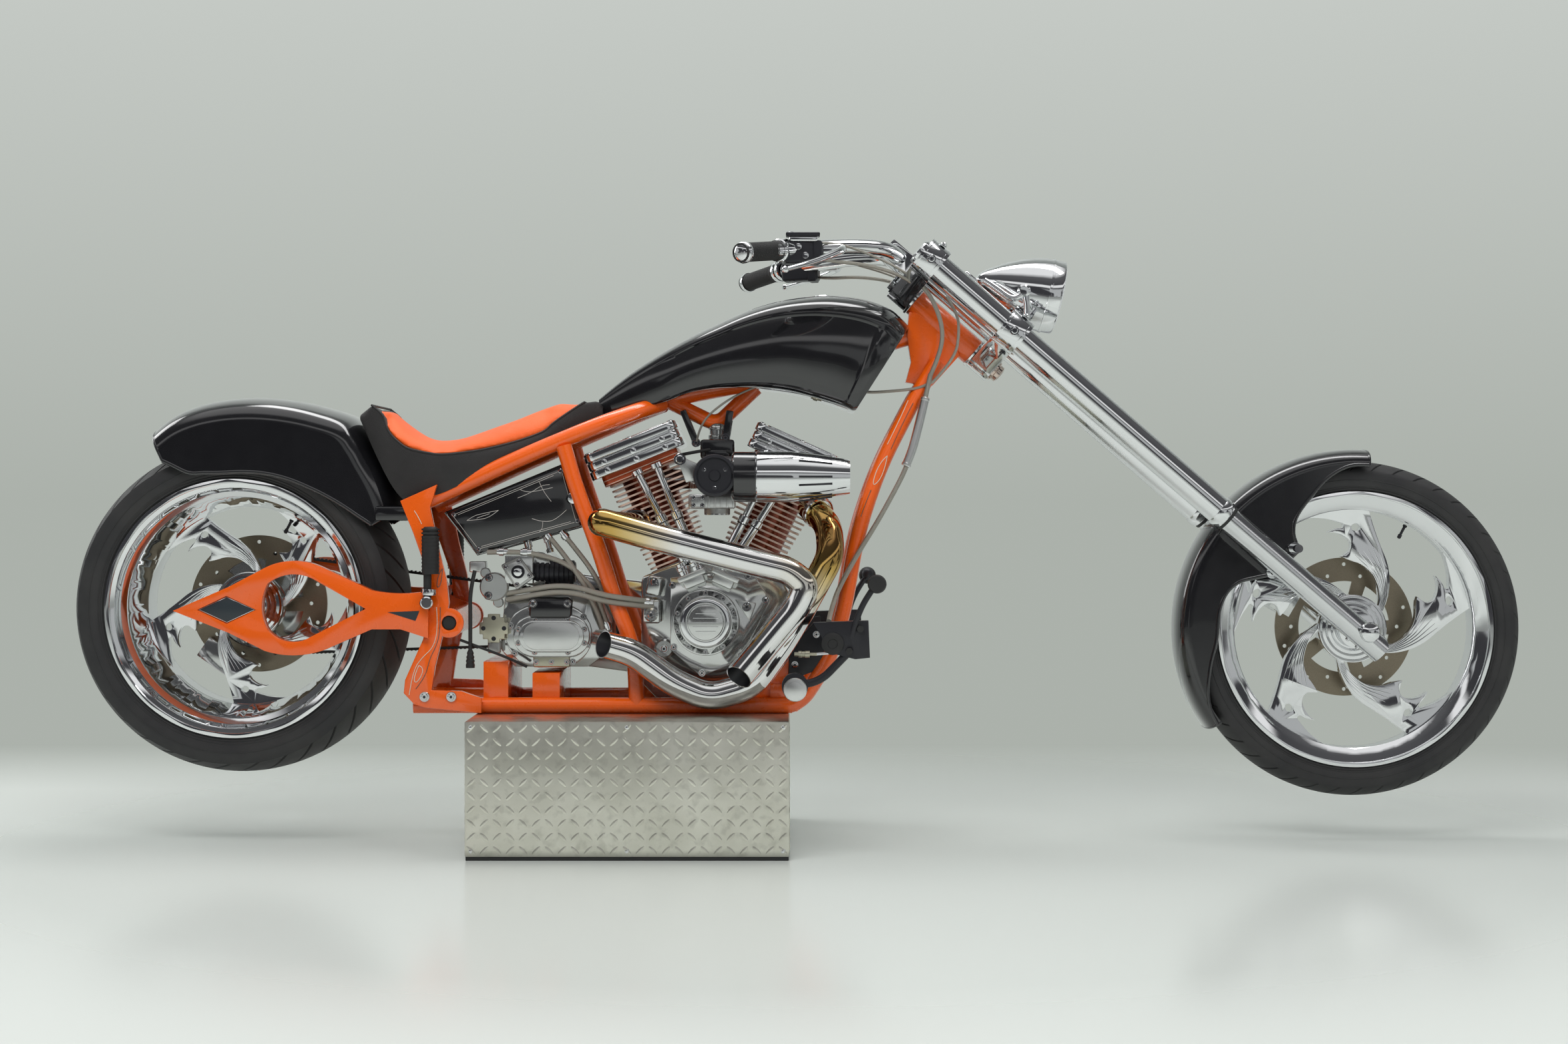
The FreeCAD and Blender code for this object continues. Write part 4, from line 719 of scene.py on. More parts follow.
def joined(name: str, pieces: Sequence[bpy.types.Object]) -> bpy.types.Object:
    """Several mesh objects as one, with their materials kept.

    Args:
        name: name of the whole.
        pieces: the objects, which are removed.

    Returns:
        The whole.
    """
    work = bmesh.new()
    materials: list[bpy.types.Material] = []
    for piece in pieces:
        start = len(work.faces)
        work.from_mesh(piece.data)
        work.faces.ensure_lookup_table()
        numbers = []
        for material in piece.data.materials:
            if material not in materials:
                materials.append(material)
            numbers.append(materials.index(material))
        for face in work.faces[start:]:
            if numbers:
                face.material_index = numbers[min(face.material_index, len(numbers) - 1)]
    mesh = bpy.data.meshes.new(name)
    work.to_mesh(mesh)
    work.free()
    for material in materials:
        mesh.materials.append(material)
    for piece in pieces:
        bpy.data.objects.remove(piece)
    return new_object(name, mesh)


def joined_piece(name: str, pieces: Sequence[bpy.types.Object], finish: Finish, body: str = "root",
        replaces: Sequence[str] = ()) -> bpy.types.Object:
    """Join several objects and finish the whole; finish_piece explains the rest."""
    return finish_piece(joined(name, pieces), finish, body, replaces)


def mirrored(obj: bpy.types.Object, name: str) -> bpy.types.Object:
    """A copy of a mesh piece on the other side of the machine.

    Args:
        obj: the piece, which stays.
        name: name of the copy.

    Returns:
        The copy.
    """
    mesh = obj.data.copy()
    mesh.transform(Matrix.Diagonal((1, -1, 1, 1)))
    mesh.flip_normals()
    return new_object(name, mesh)


def refined(node: str, finish: Finish | Sequence[Finish], bevel: float = 0.0) -> bpy.types.Object:
    """A cleaned copy of a CAD node with smooth shading and small edge rounds.

    Args:
        node: name of the CAD node that the copy replaces.
        finish: its finish.
        bevel: radius of the edge rounds.

    Returns:
        The piece.
    """
    source = frame["nodes"][node]
    made = new_object(node + "_skin", source.data.copy())
    work = bmesh.new()
    work.from_mesh(made.data)
    bmesh.ops.remove_doubles(work, verts=work.verts, dist=2 * MERGE)
    if bevel:
        bmesh.ops.dissolve_limit(work, angle_limit=math.radians(1.0), verts=work.verts, edges=work.edges)
    work.to_mesh(made.data)
    work.free()
    if "custom_normal" in made.data.attributes:
        made.data.attributes.remove(made.data.attributes["custom_normal"])
    if bevel:
        made = add_bevel(made, bevel, 2, CREASE)
    else:
        shade_by_angle(made.data)
    return finish_piece(made, finish, source["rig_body"], (node,))


# ---------------------------------------------------------------- repeats
@dataclass(frozen=True)
class Input:
    """A named input of a repeat's tree."""

    name: str
    value: Any
    kind: str = "NodeSocketFloat"


class Repeat:
    """A Geometry Nodes tree that places copies of a shape on marked points."""

    def __init__(self, name: str, inputs: Sequence[Input]) -> None:
        """Start a tree.

        Args:
            name: name of the tree.
            inputs: its named inputs after the geometry.
        """
        self.tree = bpy.data.node_groups.new(name, "GeometryNodeTree")
        self.graph = Graph(self.tree)
        face = self.tree.interface
        face.new_socket("Geometry", in_out="INPUT", socket_type="NodeSocketGeometry")
        face.new_socket("Geometry", in_out="OUTPUT", socket_type="NodeSocketGeometry")
        self.identifiers = {}
        self.values = {}
        for item in inputs:
            socket = face.new_socket(item.name, in_out="INPUT", socket_type=item.kind)
            self.identifiers[item.name] = socket.identifier
            self.values[item.name] = item.value
        self.source = self.tree.nodes.new("NodeGroupInput")

    def given(self, name: str) -> Value:
        """One of the tree's inputs."""
        return Value(self.graph, self.source.outputs[name])

    def marked(self, label: str) -> Value:
        """The vector that each point carries under a name."""
        return self.graph.add("GeometryNodeInputNamedAttribute", {"data_type": "FLOAT_VECTOR"},
            {"Name": label}, "Attribute")

    def aimed(self, label: str, pivot: str = "AUTO") -> Value:
        """The rotation that turns +Z to a named vector of each point."""
        return self.graph.add("FunctionNodeAlignRotationToVector", {"axis": "Z", "pivot_axis": pivot},
            {"Vector": self.marked(label)})

    def merged(self, *parts: Value) -> Value:
        """Several shapes as one.

        Args:
            parts: the shapes.

        Returns:
            The whole.
        """
        joint = self.tree.nodes.new("GeometryNodeJoinGeometry")
        for part in parts:
            self.tree.links.new(part.socket, joint.inputs[0])
        return Value(self.graph, joint.outputs[0])

    def copies(self, shape: Value, **sockets: Value) -> Value:
        """A copy of a shape on each point."""
        return self.graph.add("GeometryNodeInstanceOnPoints", None,
            {"Points": self.given("Geometry"), "Instance": shape, **sockets})

    def painted(self, geometry: Value, finish: Finish, **sockets: Value) -> Value:
        """Geometry with the material of a finish on all or chosen faces."""
        return self.graph.add("GeometryNodeSetMaterial", None,
            {"Geometry": geometry, "Material": finish.material(), **sockets})

    def end(self, geometry: Value, finish: Finish | None = None) -> None:
        """Close the tree with real geometry and with its material, where one is given."""
        real = self.graph.add("GeometryNodeRealizeInstances", None, {"Geometry": geometry})
        self.graph.add("NodeGroupOutput", None, {0: self.painted(real, finish) if finish else real})

    def apply(self, name: str, points: Sequence[Sequence[float]],
            vectors: Mapping[str, Sequence[Sequence[float]]] | None = None,
            **changed: Any) -> bpy.types.Object:
        """Run the tree on points and return the result as a plain mesh object.

        Args:
            name: name of the piece.
            points: where the copies go.
            vectors: named vector attributes, one for each point.
            changed: inputs that differ from their defaults, with _ for spaces.

        Returns:
            The piece.
        """
        mesh = bpy.data.meshes.new(name)
        mesh.from_pydata([tuple(point) for point in points], [], [])
        for label, rows in (vectors or {}).items():
            store = mesh.attributes.new(label, "FLOAT_VECTOR", "POINT")
            for item, row in zip(store.data, rows):
                item.vector = row
        holder = new_object(name, mesh)
        modifier = holder.modifiers.new("repeat", "NODES")
        modifier.node_group = self.tree
        values = dict(self.values)
        values.update({key.replace("_", " "): item for key, item in changed.items()})
        for label, item in values.items():
            modifier[self.identifiers[label]] = item
        return baked(holder)


def fastener_tree(name: str, finish: Finish, sides: int) -> Repeat:
    """Screw heads: a shank-wide washer and a chamfered head.

    Args:
        name: name of the tree.
        finish: finish of the heads.
        sides: sides of the head.

    Returns:
        The tree; its points need a vector attribute named axis.
    """
    tree = Repeat(name, (Input("Head Radius", 0.006), Input("Head Height", 0.006)))
    graph = tree.graph
    radius, height = tree.given("Head Radius"), tree.given("Head Height")
    head, cap, washer = (graph.add("GeometryNodeMeshCone", None,
            {"Vertices": count, "Radius Bottom": radius * low, "Radius Top": radius * high,
                "Depth": height * share}, "Mesh")
        for count, low, high, share in ((sides, 1.0, 1.0, 0.75), (sides, 1.0, 0.78, 0.25),
            (20, 1.45, 1.35, 0.22)))
    lift = graph.add("ShaderNodeCombineXYZ", None, {"Z": height * 0.75})
    cap = graph.add("GeometryNodeTransform", None, {"Geometry": cap, "Translation": lift})
    tree.end(tree.copies(tree.merged(head, cap, washer), Rotation=tree.aimed("axis")), finish)
    return tree


# ---------------------------------------------------------------- places
def middle_of(node: str) -> Vector:
    """Middle of a CAD node's box."""
    low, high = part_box(node)
    return (low + high) / 2


def body_of(node: str) -> str:
    """The body that a CAD node rides on."""
    return frame["nodes"][node]["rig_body"]


def around(centre: Sequence[float], reach: float, degrees: float) -> Vector:
    """A point at a distance and an angle from a centre, in the side view."""
    angle = math.radians(degrees)
    return Vector(centre) + Vector((math.cos(angle), 0, math.sin(angle))) * reach


def hand(side: int) -> str:
    """Name of the right side (-1) or the left side (1)."""
    return "right" if side < 0 else "left"


# ---------------------------------------------------------------- stage
@dataclass
class Stage:
    """Floor, wall, lamps and camera."""

    wall: float = 1.9
    reach: float = 9.0
    pale: Colour = (0.53, 0.56, 0.54)
    horizon: Colour = (0.41, 0.44, 0.405)
    zenith: Colour = (0.57, 0.6, 0.57)
    eye: Point = (-0.0325, -5.0, 0.703)
    lens: float = 55.31
    sensor: float = 36.0
    shift: float = -0.0144

    @staticmethod
    def _paint(name: str) -> tuple[bpy.types.Material, Graph]:
        """A new material for the stage.

        Args:
            name: its name.

        Returns:
            The material and its empty graph.
        """
        made = bpy.data.materials.new(name)
        made.use_nodes = True
        return made, Graph(made.node_tree)

    def _sheet(self, name: str, corners: Sequence[Point]) -> bpy.types.Object:
        """A flat four-cornered sheet that belongs to the stage.

        Args:
            name: name of the sheet.
            corners: its four corners.

        Returns:
            The sheet.
        """
        mesh = bpy.data.meshes.new(name)
        mesh.from_pydata(corners, [], [(0, 1, 2, 3)])
        made = new_object(name, mesh)
        return made

    def floor(self) -> None:
        """A pale floor that fades into the plain tone of the room far away."""
        far = self.reach
        made = self._sheet("floor", [(-far, -far, 0), (far, -far, 0), (far, far, 0), (-far, far, 0)])
        finish, graph = self._paint("pale_floor")
        place = graph.add("ShaderNodeTexCoord", output="Object")
        out = graph.vector("LENGTH", place, output="Value")
        deep = graph.ramp(graph.axis(place, "Y") / self.wall, (0.45, 0.0), (1.0, 1.0))
        ring = graph.ramp(out / far, (0.36, 0.0), (0.62, 1.0))
        matt = graph.ramp(out / far, (0.17, 0.0), (0.26, 1.0))
        seen = graph.add("ShaderNodeLightPath", output="Is Camera Ray")
        shader = graph.add("ShaderNodeBsdfPrincipled", None,
            {"Base Color": (0.6, 0.63, 0.6), "Roughness": 0.19 + matt * 0.5}, "BSDF")
        glow = graph.add("ShaderNodeEmission", None, {"Color": self.horizon, "Strength": 1.0})
        both = graph.add("ShaderNodeMixShader", None,
            {0: graph.math("MAXIMUM", deep, ring) * seen, 1: shader, 2: glow})
        graph.add("ShaderNodeOutputMaterial", None, {"Surface": both})
        made.data.materials.append(finish)

    def backdrop(self) -> None:
        """A pale wall behind the machine, which only metal and paint see."""
        far, y = self.reach, self.wall
        made = self._sheet("backdrop", [(-far, y, 0), (far, y, 0), (far, y, 6), (-far, y, 6)])
        finish, graph = self._paint("pale_wall")
        shader = graph.add("ShaderNodeBsdfPrincipled", None, {"Base Color": self.pale, "Roughness": 0.74},
            "BSDF")
        graph.add("ShaderNodeOutputMaterial", None, {"Surface": shader})
        made.data.materials.append(finish)
        made.visible_camera = False

    def sky(self) -> None:
        """A soft room: light above, a dark band at eye level; the camera sees a pale wall."""
        world = bpy.data.worlds.new("room")
        bpy.context.scene.world = world
        world.use_nodes = True
        graph = Graph(world.node_tree)
        place = graph.add("ShaderNodeTexCoord", output="Generated")
        height = graph.axis(place, "Z")
        tone = graph.add("ShaderNodeValToRGB",
            {"stops": ((0.0, (0.3, 0.3, 0.29)), (0.44, (0.14, 0.14, 0.14)), (0.5, (0.05, 0.05, 0.055)),
                    (0.66, (0.05, 0.05, 0.055)), (0.685, (1.0, 1.0, 1.0)), (0.72, (1.0, 1.0, 1.0)),
                    (0.74, (0.07, 0.07, 0.075)), (0.88, (0.12, 0.12, 0.125)), (0.94, (1.0, 1.0, 1.0)),
                    (1.0, (1.0, 1.0, 1.0)))}, {"Fac": height * 0.5 + 0.5}, "Color")
        band = graph.ramp(height * 0.5 + 0.5, (0.38, 0.0), (0.45, 1.0), (0.62, 1.0), (0.65, 0.0))
        panes = graph.ramp(graph.noise(place, 2.6, 1.0), (0.5, 0.0), (0.55, 1.0))
        tone = graph.mix(band * panes * 0.7, tone, (0.7, 0.72, 0.72))
        light = graph.add("ShaderNodeBackground", None, {"Color": tone, "Strength": 0.9})
        wall = graph.mix(graph.ramp(height, (0.0, 0.0), (0.22, 1.0)), self.horizon, self.zenith)
        plain = graph.add("ShaderNodeBackground", None, {"Color": wall, "Strength": 1.0})
        seen = graph.add("ShaderNodeLightPath", output="Is Camera Ray")
        both = graph.add("ShaderNodeMixShader", None, {0: seen, 1: light, 2: plain})
        graph.add("ShaderNodeOutputWorld", None, {"Surface": both})

    def lamp(self, name: str, spot: Point, aim: Point, size: tuple[float, float], power: float,
            mirrored_in_gloss: bool = True) -> None:
        """A soft rectangular lamp that faces a point.

        Args:
            name: its name.
            spot: where it hangs.
            aim: the point that it faces.
            size: its width and height.
            power: its power in watts.
            mirrored_in_gloss: whether glossy surfaces mirror it.
        """
        data = bpy.data.lights.new(name, "AREA")
        data.shape = "RECTANGLE"
        data.size, data.size_y = size
        data.energy = power
        made = bpy.data.objects.new(name, data)
        made.location = spot
        made.rotation_euler = (Vector(aim) - Vector(spot)).to_track_quat("-Z", "Y").to_euler()
        made.visible_glossy = mirrored_in_gloss
        made.visible_camera = False
        bpy.context.scene.collection.objects.link(made)

    def camera(self) -> None:
        """A level camera on the right side."""
        data = bpy.data.cameras.new("camera")
        data.sensor_width = self.sensor
        data.lens = self.lens
        data.shift_y = self.shift
        made = bpy.data.objects.new("camera", data)
        made.location = self.eye
        made.rotation_euler = (math.radians(90), 0, 0)
        bpy.context.scene.collection.objects.link(made)
        bpy.context.scene.camera = made

    def build(self) -> None:
        """Set up everything around the machine."""
        self.camera()
        self.floor()
        self.backdrop()
        self.sky()
        self.lamp("key", (-1.2, -2.6, 3.4), (-0.2, 0, 0.6), (3.4, 1.1), 100, False)
        self.lamp("fill", (2.6, -3.0, 2.0), (0.4, 0, 0.6), (0.9, 2.2), 34, False)
        self.lamp("top", (0.2, 0.4, 3.6), (0, 0, 0.5), (4.2, 0.7), 54)
        self.lamp("left", (-3.4, 1.2, 2.2), (-0.4, 0, 0.6), (1.0, 2.0), 22)
        bpy.context.scene.view_settings.view_transform = "Standard"


# ---------------------------------------------------------------- nodes that keep their shape
@dataclass(frozen=True)
class Skin:
    """How one CAD node is dressed where its shape stays."""

    node: str
    finish: Finish
    bevel: float = 0.0


SKINS = (Skin("lower_rails", ORANGE), Skin("seat_rails", ORANGE), Skin("backbone", ORANGE),
    Skin("seat_posts", ORANGE), Skin("neck", ORANGE, 0.003), Skin("cross_members", ORANGE, 0.003),
    Skin("swingarm", ORANGE, 0.006), Skin("swingarm_tubes", ORANGE), Skin("rear_axle", CHROME),
    Skin("crankcase", ALLOY, 0.006), Skin("cam_cover", ALLOY, 0.003), Skin("carburettor", ALLOY),
    Skin("gearbox", ALLOY, 0.003), Skin("starter", ALLOY, 0.002), Skin("primary_cover", CHROME, 0.004),
    Skin("drive_belt", RUBBER), Skin("passenger_pegs", RUBBER), Skin("rear_caliper", ALLOY, 0.002),
    Skin("front_caliper", ALLOY, 0.002), Skin("clutch_cable", BRAID), Skin("triple_trees", CHROME, 0.003),
    Skin("fork_upper_tubes", CHROME), Skin("fork_lower_tubes", FORK_ALLOY), Skin("handlebar", CHROME),
    Skin("front_axle", CHROME), Skin("front_rim", CHROME, 0.0012), Skin("front_rotor", BRONZE),
    Skin("rear_rim", CHROME, 0.0012), Skin("rear_rotor", BRONZE), Skin("rear_pulley", ALLOY),
    Skin("side_stand", CHROME))


def dress() -> None:
    """Give the nodes that keep their shape a cleaned and finished skin."""
    for skin in SKINS:
        refined(skin.node, skin.finish, skin.bevel)



# ---------------------------------------------------------------- repeats used all over
SCREWS = fastener_tree("screw_heads", CHROME, 16)
DARK_SOCKETS = fastener_tree("socket_heads", SATIN, 6)


def screws(name: str, spots: Sequence[Sequence[float]], axis: Sequence[float], body: str,
        radius: float = 0.005, height: float = 0.005, tree: Repeat | None = None,
        recess: bool = True) -> bpy.types.Object:
    """Screw heads that face one way, each with a dark socket in its top.

    Args:
        name: name of the piece.
        spots: where the heads stand.
        axis: the way that they face.
        body: the body that they ride on.
        radius: radius of a head.
        height: height of a head.
        tree: kind of head.
        recess: whether each has a dark socket.

    Returns:
        The piece.
    """
    away = Vector(axis).normalized()
    axes = {"axis": [tuple(away)] * len(spots)}
    parts = [(tree or SCREWS).apply(name, spots, axes, Head_Radius=radius, Head_Height=height)]
    if recess:
        tops = [tuple(Vector(spot) + away * (height * 0.9)) for spot in spots]
        parts.append(DARK_SOCKETS.apply(name + "_sockets", tops, axes, Head_Radius=radius * 0.42,
                Head_Height=height * 0.14))
    made = joined(name, parts)
    shade_by_angle(made.data)
    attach(made, body)
    LOG.info("%s on %s", name, body)
    return made


def ring_tree() -> Repeat:
    """Copies of a shape turned about an axle along Y.

    Returns:
        The tree, with the inputs Centre and Count.
    """
    tree = Repeat("turned_copies", (Input("Centre", (0, 0, 0), "NodeSocketVector"),
            Input("Count", 5, "NodeSocketInt")))
    graph = tree.graph
    centre = tree.given("Centre")
    moved = graph.add("GeometryNodeTransform", None,
        {"Geometry": tree.given("Geometry"),
            "Translation": graph.vector("MULTIPLY", centre, (-1.0, -1.0, -1.0))})
    line = graph.add("GeometryNodeMeshLine", None,
        {"Count": tree.given("Count"), "Start Location": centre, "Offset": (0.0, 0.0, 0.0)})
    number = graph.add("GeometryNodeInputIndex")
    turn = graph.add("ShaderNodeCombineXYZ", None, {"Y": number * math.tau / tree.given("Count")})
    placed = graph.add("GeometryNodeInstanceOnPoints", None,
        {"Points": line, "Instance": moved, "Rotation": turn})
    tree.end(placed)
    return tree


TURNED_COPIES = ring_tree()


def turned_copies(piece: bpy.types.Object, centre: Sequence[float], count: int) -> bpy.types.Object:
    """Repeat a mesh piece round an axle that lies along Y.

    Args:
        piece: the shape, which is replaced.
        centre: a point on the axle.
        count: number of copies.

    Returns:
        All the copies as one piece.
    """
    modifier = piece.modifiers.new("repeat", "NODES")
    modifier.node_group = TURNED_COPIES.tree
    modifier[TURNED_COPIES.identifiers["Centre"]] = tuple(centre)
    modifier[TURNED_COPIES.identifiers["Count"]] = count
    return baked(piece)


# ---------------------------------------------------------------- plinth
@dataclass
class Plinth:
    """Box of folded tread plate on a dark foot."""

    pitch: float = 0.025
    bar_length: float = 0.0118
    bar_width: float = 0.0036
    bar_height: float = 0.0014
    corner: float = 0.003
    foot: float = 0.007
    skin: float = 0.0016

    def _bar_tree(self) -> Repeat:
        """Low lens-shaped bars that lie on a face.

        Returns:
            The tree; its points need vectors named along and axis.
        """
        tree = Repeat("tread_bars", (Input("Half Length", self.bar_length),
                Input("Half Width", self.bar_width), Input("Height", self.bar_height)))
        graph = tree.graph
        ball = graph.add("GeometryNodeMeshUVSphere", None, {"Segments": 8, "Rings": 4, "Radius": 1.0},
            "Mesh")
        size = graph.add("ShaderNodeCombineXYZ", None,
            {"X": tree.given("Half Width"), "Y": tree.given("Height"), "Z": tree.given("Half Length")})
        bar = graph.add("GeometryNodeTransform", None, {"Geometry": ball, "Scale": size})
        aim = graph.add("FunctionNodeAlignRotationToVector", {"axis": "Y", "pivot_axis": "Z"},
            {"Rotation": tree.aimed("along"), "Vector": tree.marked("axis")})
        tree.end(tree.copies(bar, Rotation=aim), TREAD_PLATE)
        return tree

    def _face_grid(self, corner: Vector, right: Vector, up: Vector, width: float,
            height: float) -> list[tuple[Vector, Vector]]:
        """Bar centres and directions on one face.

        Args:
            corner: the face's first corner.
            right: direction of its width.
            up: direction of its height.
            width: its width.
            height: its height.

        Returns:
            The centre and the direction of each bar.
        """
        rows = []
        across, high = int(width / self.pitch), int(height / self.pitch)
        for i in range(across):
            for j in range(high):
                spot = corner + right * ((i + 0.5) * width / across) + up * ((j + 0.5) * height / high)
                slant = right + up if (i + j) % 2 else right - up
                rows.append((spot, slant.normalized()))
        return rows

    def build(self) -> None:
        """Box, bars, foot and screws."""
        low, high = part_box("plinth")
        inset = self.bar_height
        low, high = low + Vector((inset, inset, 0)), high - Vector((inset, inset, 0))
        size = high - low
        outline = [(low.x, low.z + self.foot), (high.x, low.z + self.foot), (high.x, high.z),
            (low.x, high.z)]
        box = prism("plinth_box", outline, low.y, size.y, self.corner)
        faces = ((Vector((low.x, low.y, low.z + self.foot)), FORWARD, UP, size.x, -ACROSS),
            (Vector((low.x, high.y, low.z + self.foot)), FORWARD, UP, size.x, ACROSS),
            (Vector((low.x, low.y, low.z + self.foot)), ACROSS, UP, size.y, -FORWARD),
            (Vector((high.x, low.y, low.z + self.foot)), ACROSS, UP, size.y, FORWARD))
        spots, along, axes = [], [], []
        for corner, right, up, width, normal in faces:
            for spot, slant in self._face_grid(corner, right, up, width, size.z - self.foot):
                spots.append(spot)
                along.append(slant)
                axes.append(normal)
        margin = 0.012
        top = Vector((low.x + margin, low.y + margin, high.z - inset))
        for spot, slant in self._face_grid(top, FORWARD, ACROSS, size.x - 2 * margin, size.y - 2 * margin):
            spots.append(spot)
            along.append(slant)
            axes.append(UP)
        bars = self._bar_tree().apply("plinth_bars", spots, {"along": along, "axis": axes})
        shade_by_angle(bars.data, 60.0)
        box = joined("plinth_plate", [box, bars])
        box.data.materials.clear()
        finish_piece(box, TREAD_PLATE, "root", ("plinth",))
        foot = prism("plinth_foot", [(low.x + self.skin, 0), (high.x - self.skin, 0),
                (high.x - self.skin, self.foot + self.skin), (low.x + self.skin, self.foot + self.skin)],
            low.y + self.skin, size.y - 2 * self.skin, 0.001)
        finish_piece(foot, RUBBER)
        reach = 0.012
        spots = [(x, low.y, z) for x in (low.x + reach, (low.x + high.x) / 2, high.x - reach)
            for z in (high.z - reach, self.foot + reach)]
        screws("plinth_screws", spots, -ACROSS, "root", 0.0032, 0.0013, recess=False)


# ---------------------------------------------------------------- tyres and wheels
@dataclass
class Tyre:
    """A tyre with swept grooves, staggered from side to side."""

    node: str
    rim_width: float
    blocks: int
    foot: float
    groove: float = 0.0075
    widest: float = 0.125
    wall: float = 0.0012
    depth: float = 0.0045
    sweep: float = 0.16
    inset: float = 0.006
    wall_rows: int = 9
    tread_rows: int = 22

    def _section(self, radius: float, half: float) -> list[tuple[float, float, float]]:
        """The outer section.

        Args:
            radius: radius of the tread's crown.
            half: half width of the tyre.

        Returns:
            Rows of (y, radius, share of the tread's half width) from bead to bead.
        """
        foot = self.foot
        shoulder = radius - 0.32 * (radius - foot)
        edge = 0.92 * half
        bead = self.rim_width / 2 - self.inset
        rows = []
        for step in range(self.wall_rows):
            t = step / self.wall_rows
            y = (1 - t) ** 2 * bead + 2 * t * (1 - t) * (half + 0.5 * (half - bead)) * 0.99 + t * t * edge
            rows.append((y, foot + (shoulder - foot) * t, 2.0))
        for step in range(self.tread_rows + 1):
            share = 1 - 2 * step / self.tread_rows
            y = edge * share
            crown = radius - shoulder
            rise = (edge * edge + crown * crown) / (2 * crown)
            r = radius - rise + math.sqrt(rise * rise - y * y)
            rows.append((y, r, share))
        rows += [(-y, r, 2.0) for y, r, _ in reversed(rows[:self.wall_rows])]
        return rows

    def build(self) -> None:
        """Carcass with grooves and sidewall rings."""
        low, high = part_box(self.node)
        centre = (low + high) / 2
        radius, half = (high.z - low.z) / 2 - 0.0002, (high.y - low.y) / 2
        rows = self._section(radius, min(half, self.widest))
        inner = [(y * 0.86, self.foot + 0.004 + (r - self.foot) * 0.9) for y, r, _ in rows]
        pitch = math.tau / self.blocks
        wide, thin = self.groove / radius, self.wall / radius
        columns = (0.0, thin, wide - thin, wide, wide + (pitch - wide) * 0.33, wide + (pitch - wide) * 0.66)
        ring = []
        for y, r, share in rows:
            side = math.copysign(1, share)
            spread = abs(share) if abs(share) <= 1 else 1.0
            shift = self.sweep * spread ** 1.4 + (pitch / 2 if side > 0 else 0) * min(1, spread * 6)
            grooved = 0.22 < spread < 0.97 and abs(share) <= 1
            ring.append((y, r, shift, grooved))
        vertices = []
        for block in range(self.blocks):
            for number, column in enumerate(columns):
                for y, r, shift, grooved in ring:
                    angle = block * pitch + column + shift
                    deep = r - self.depth if grooved and number in (1, 2) else r
                    vertices.append((centre.x + deep * math.cos(angle), centre.y + y,
                            centre.z + deep * math.sin(angle)))
                for y, r in reversed(inner):
                    angle = block * pitch + column + ring[0][2]
                    vertices.append((centre.x + r * math.cos(angle), centre.y + y,
                            centre.z + r * math.sin(angle)))
        loop = len(rows) + len(inner)
        total = self.blocks * len(columns)
        faces = []
        for column in range(total):
            after = (column + 1) % total
            for row in range(loop):
                upper = (row + 1) % loop
                faces.append((column * loop + row, column * loop + upper, after * loop + upper,
                        after * loop + row))
        made = mesh_piece(self.node + "_tread", vertices, faces)
        shade_by_angle(made.data, 38.0)
        body = body_of(self.node)
        finish_piece(made, TYRE, body, (self.node,))
        for side in (-1, 1):
            rings = []
            for share, size in ((0.16, 0.0022), (0.24, 0.0014), (0.62, 0.0012)):
                index = int(share * self.wall_rows)
                y, r = rows[index][0], rows[index][1]
                line = [(side * (y - 0.0002) + size * math.cos(a), r + size * math.sin(a))
                    for a in [math.tau * k / 8 for k in range(8)]]
                rings.append(turned("%s_ring" % self.node, line, centre, ACROSS, 128))
            joined_piece("%s_wall_rings_%s" % (self.node, hand(side)), rings, TYRE, body)


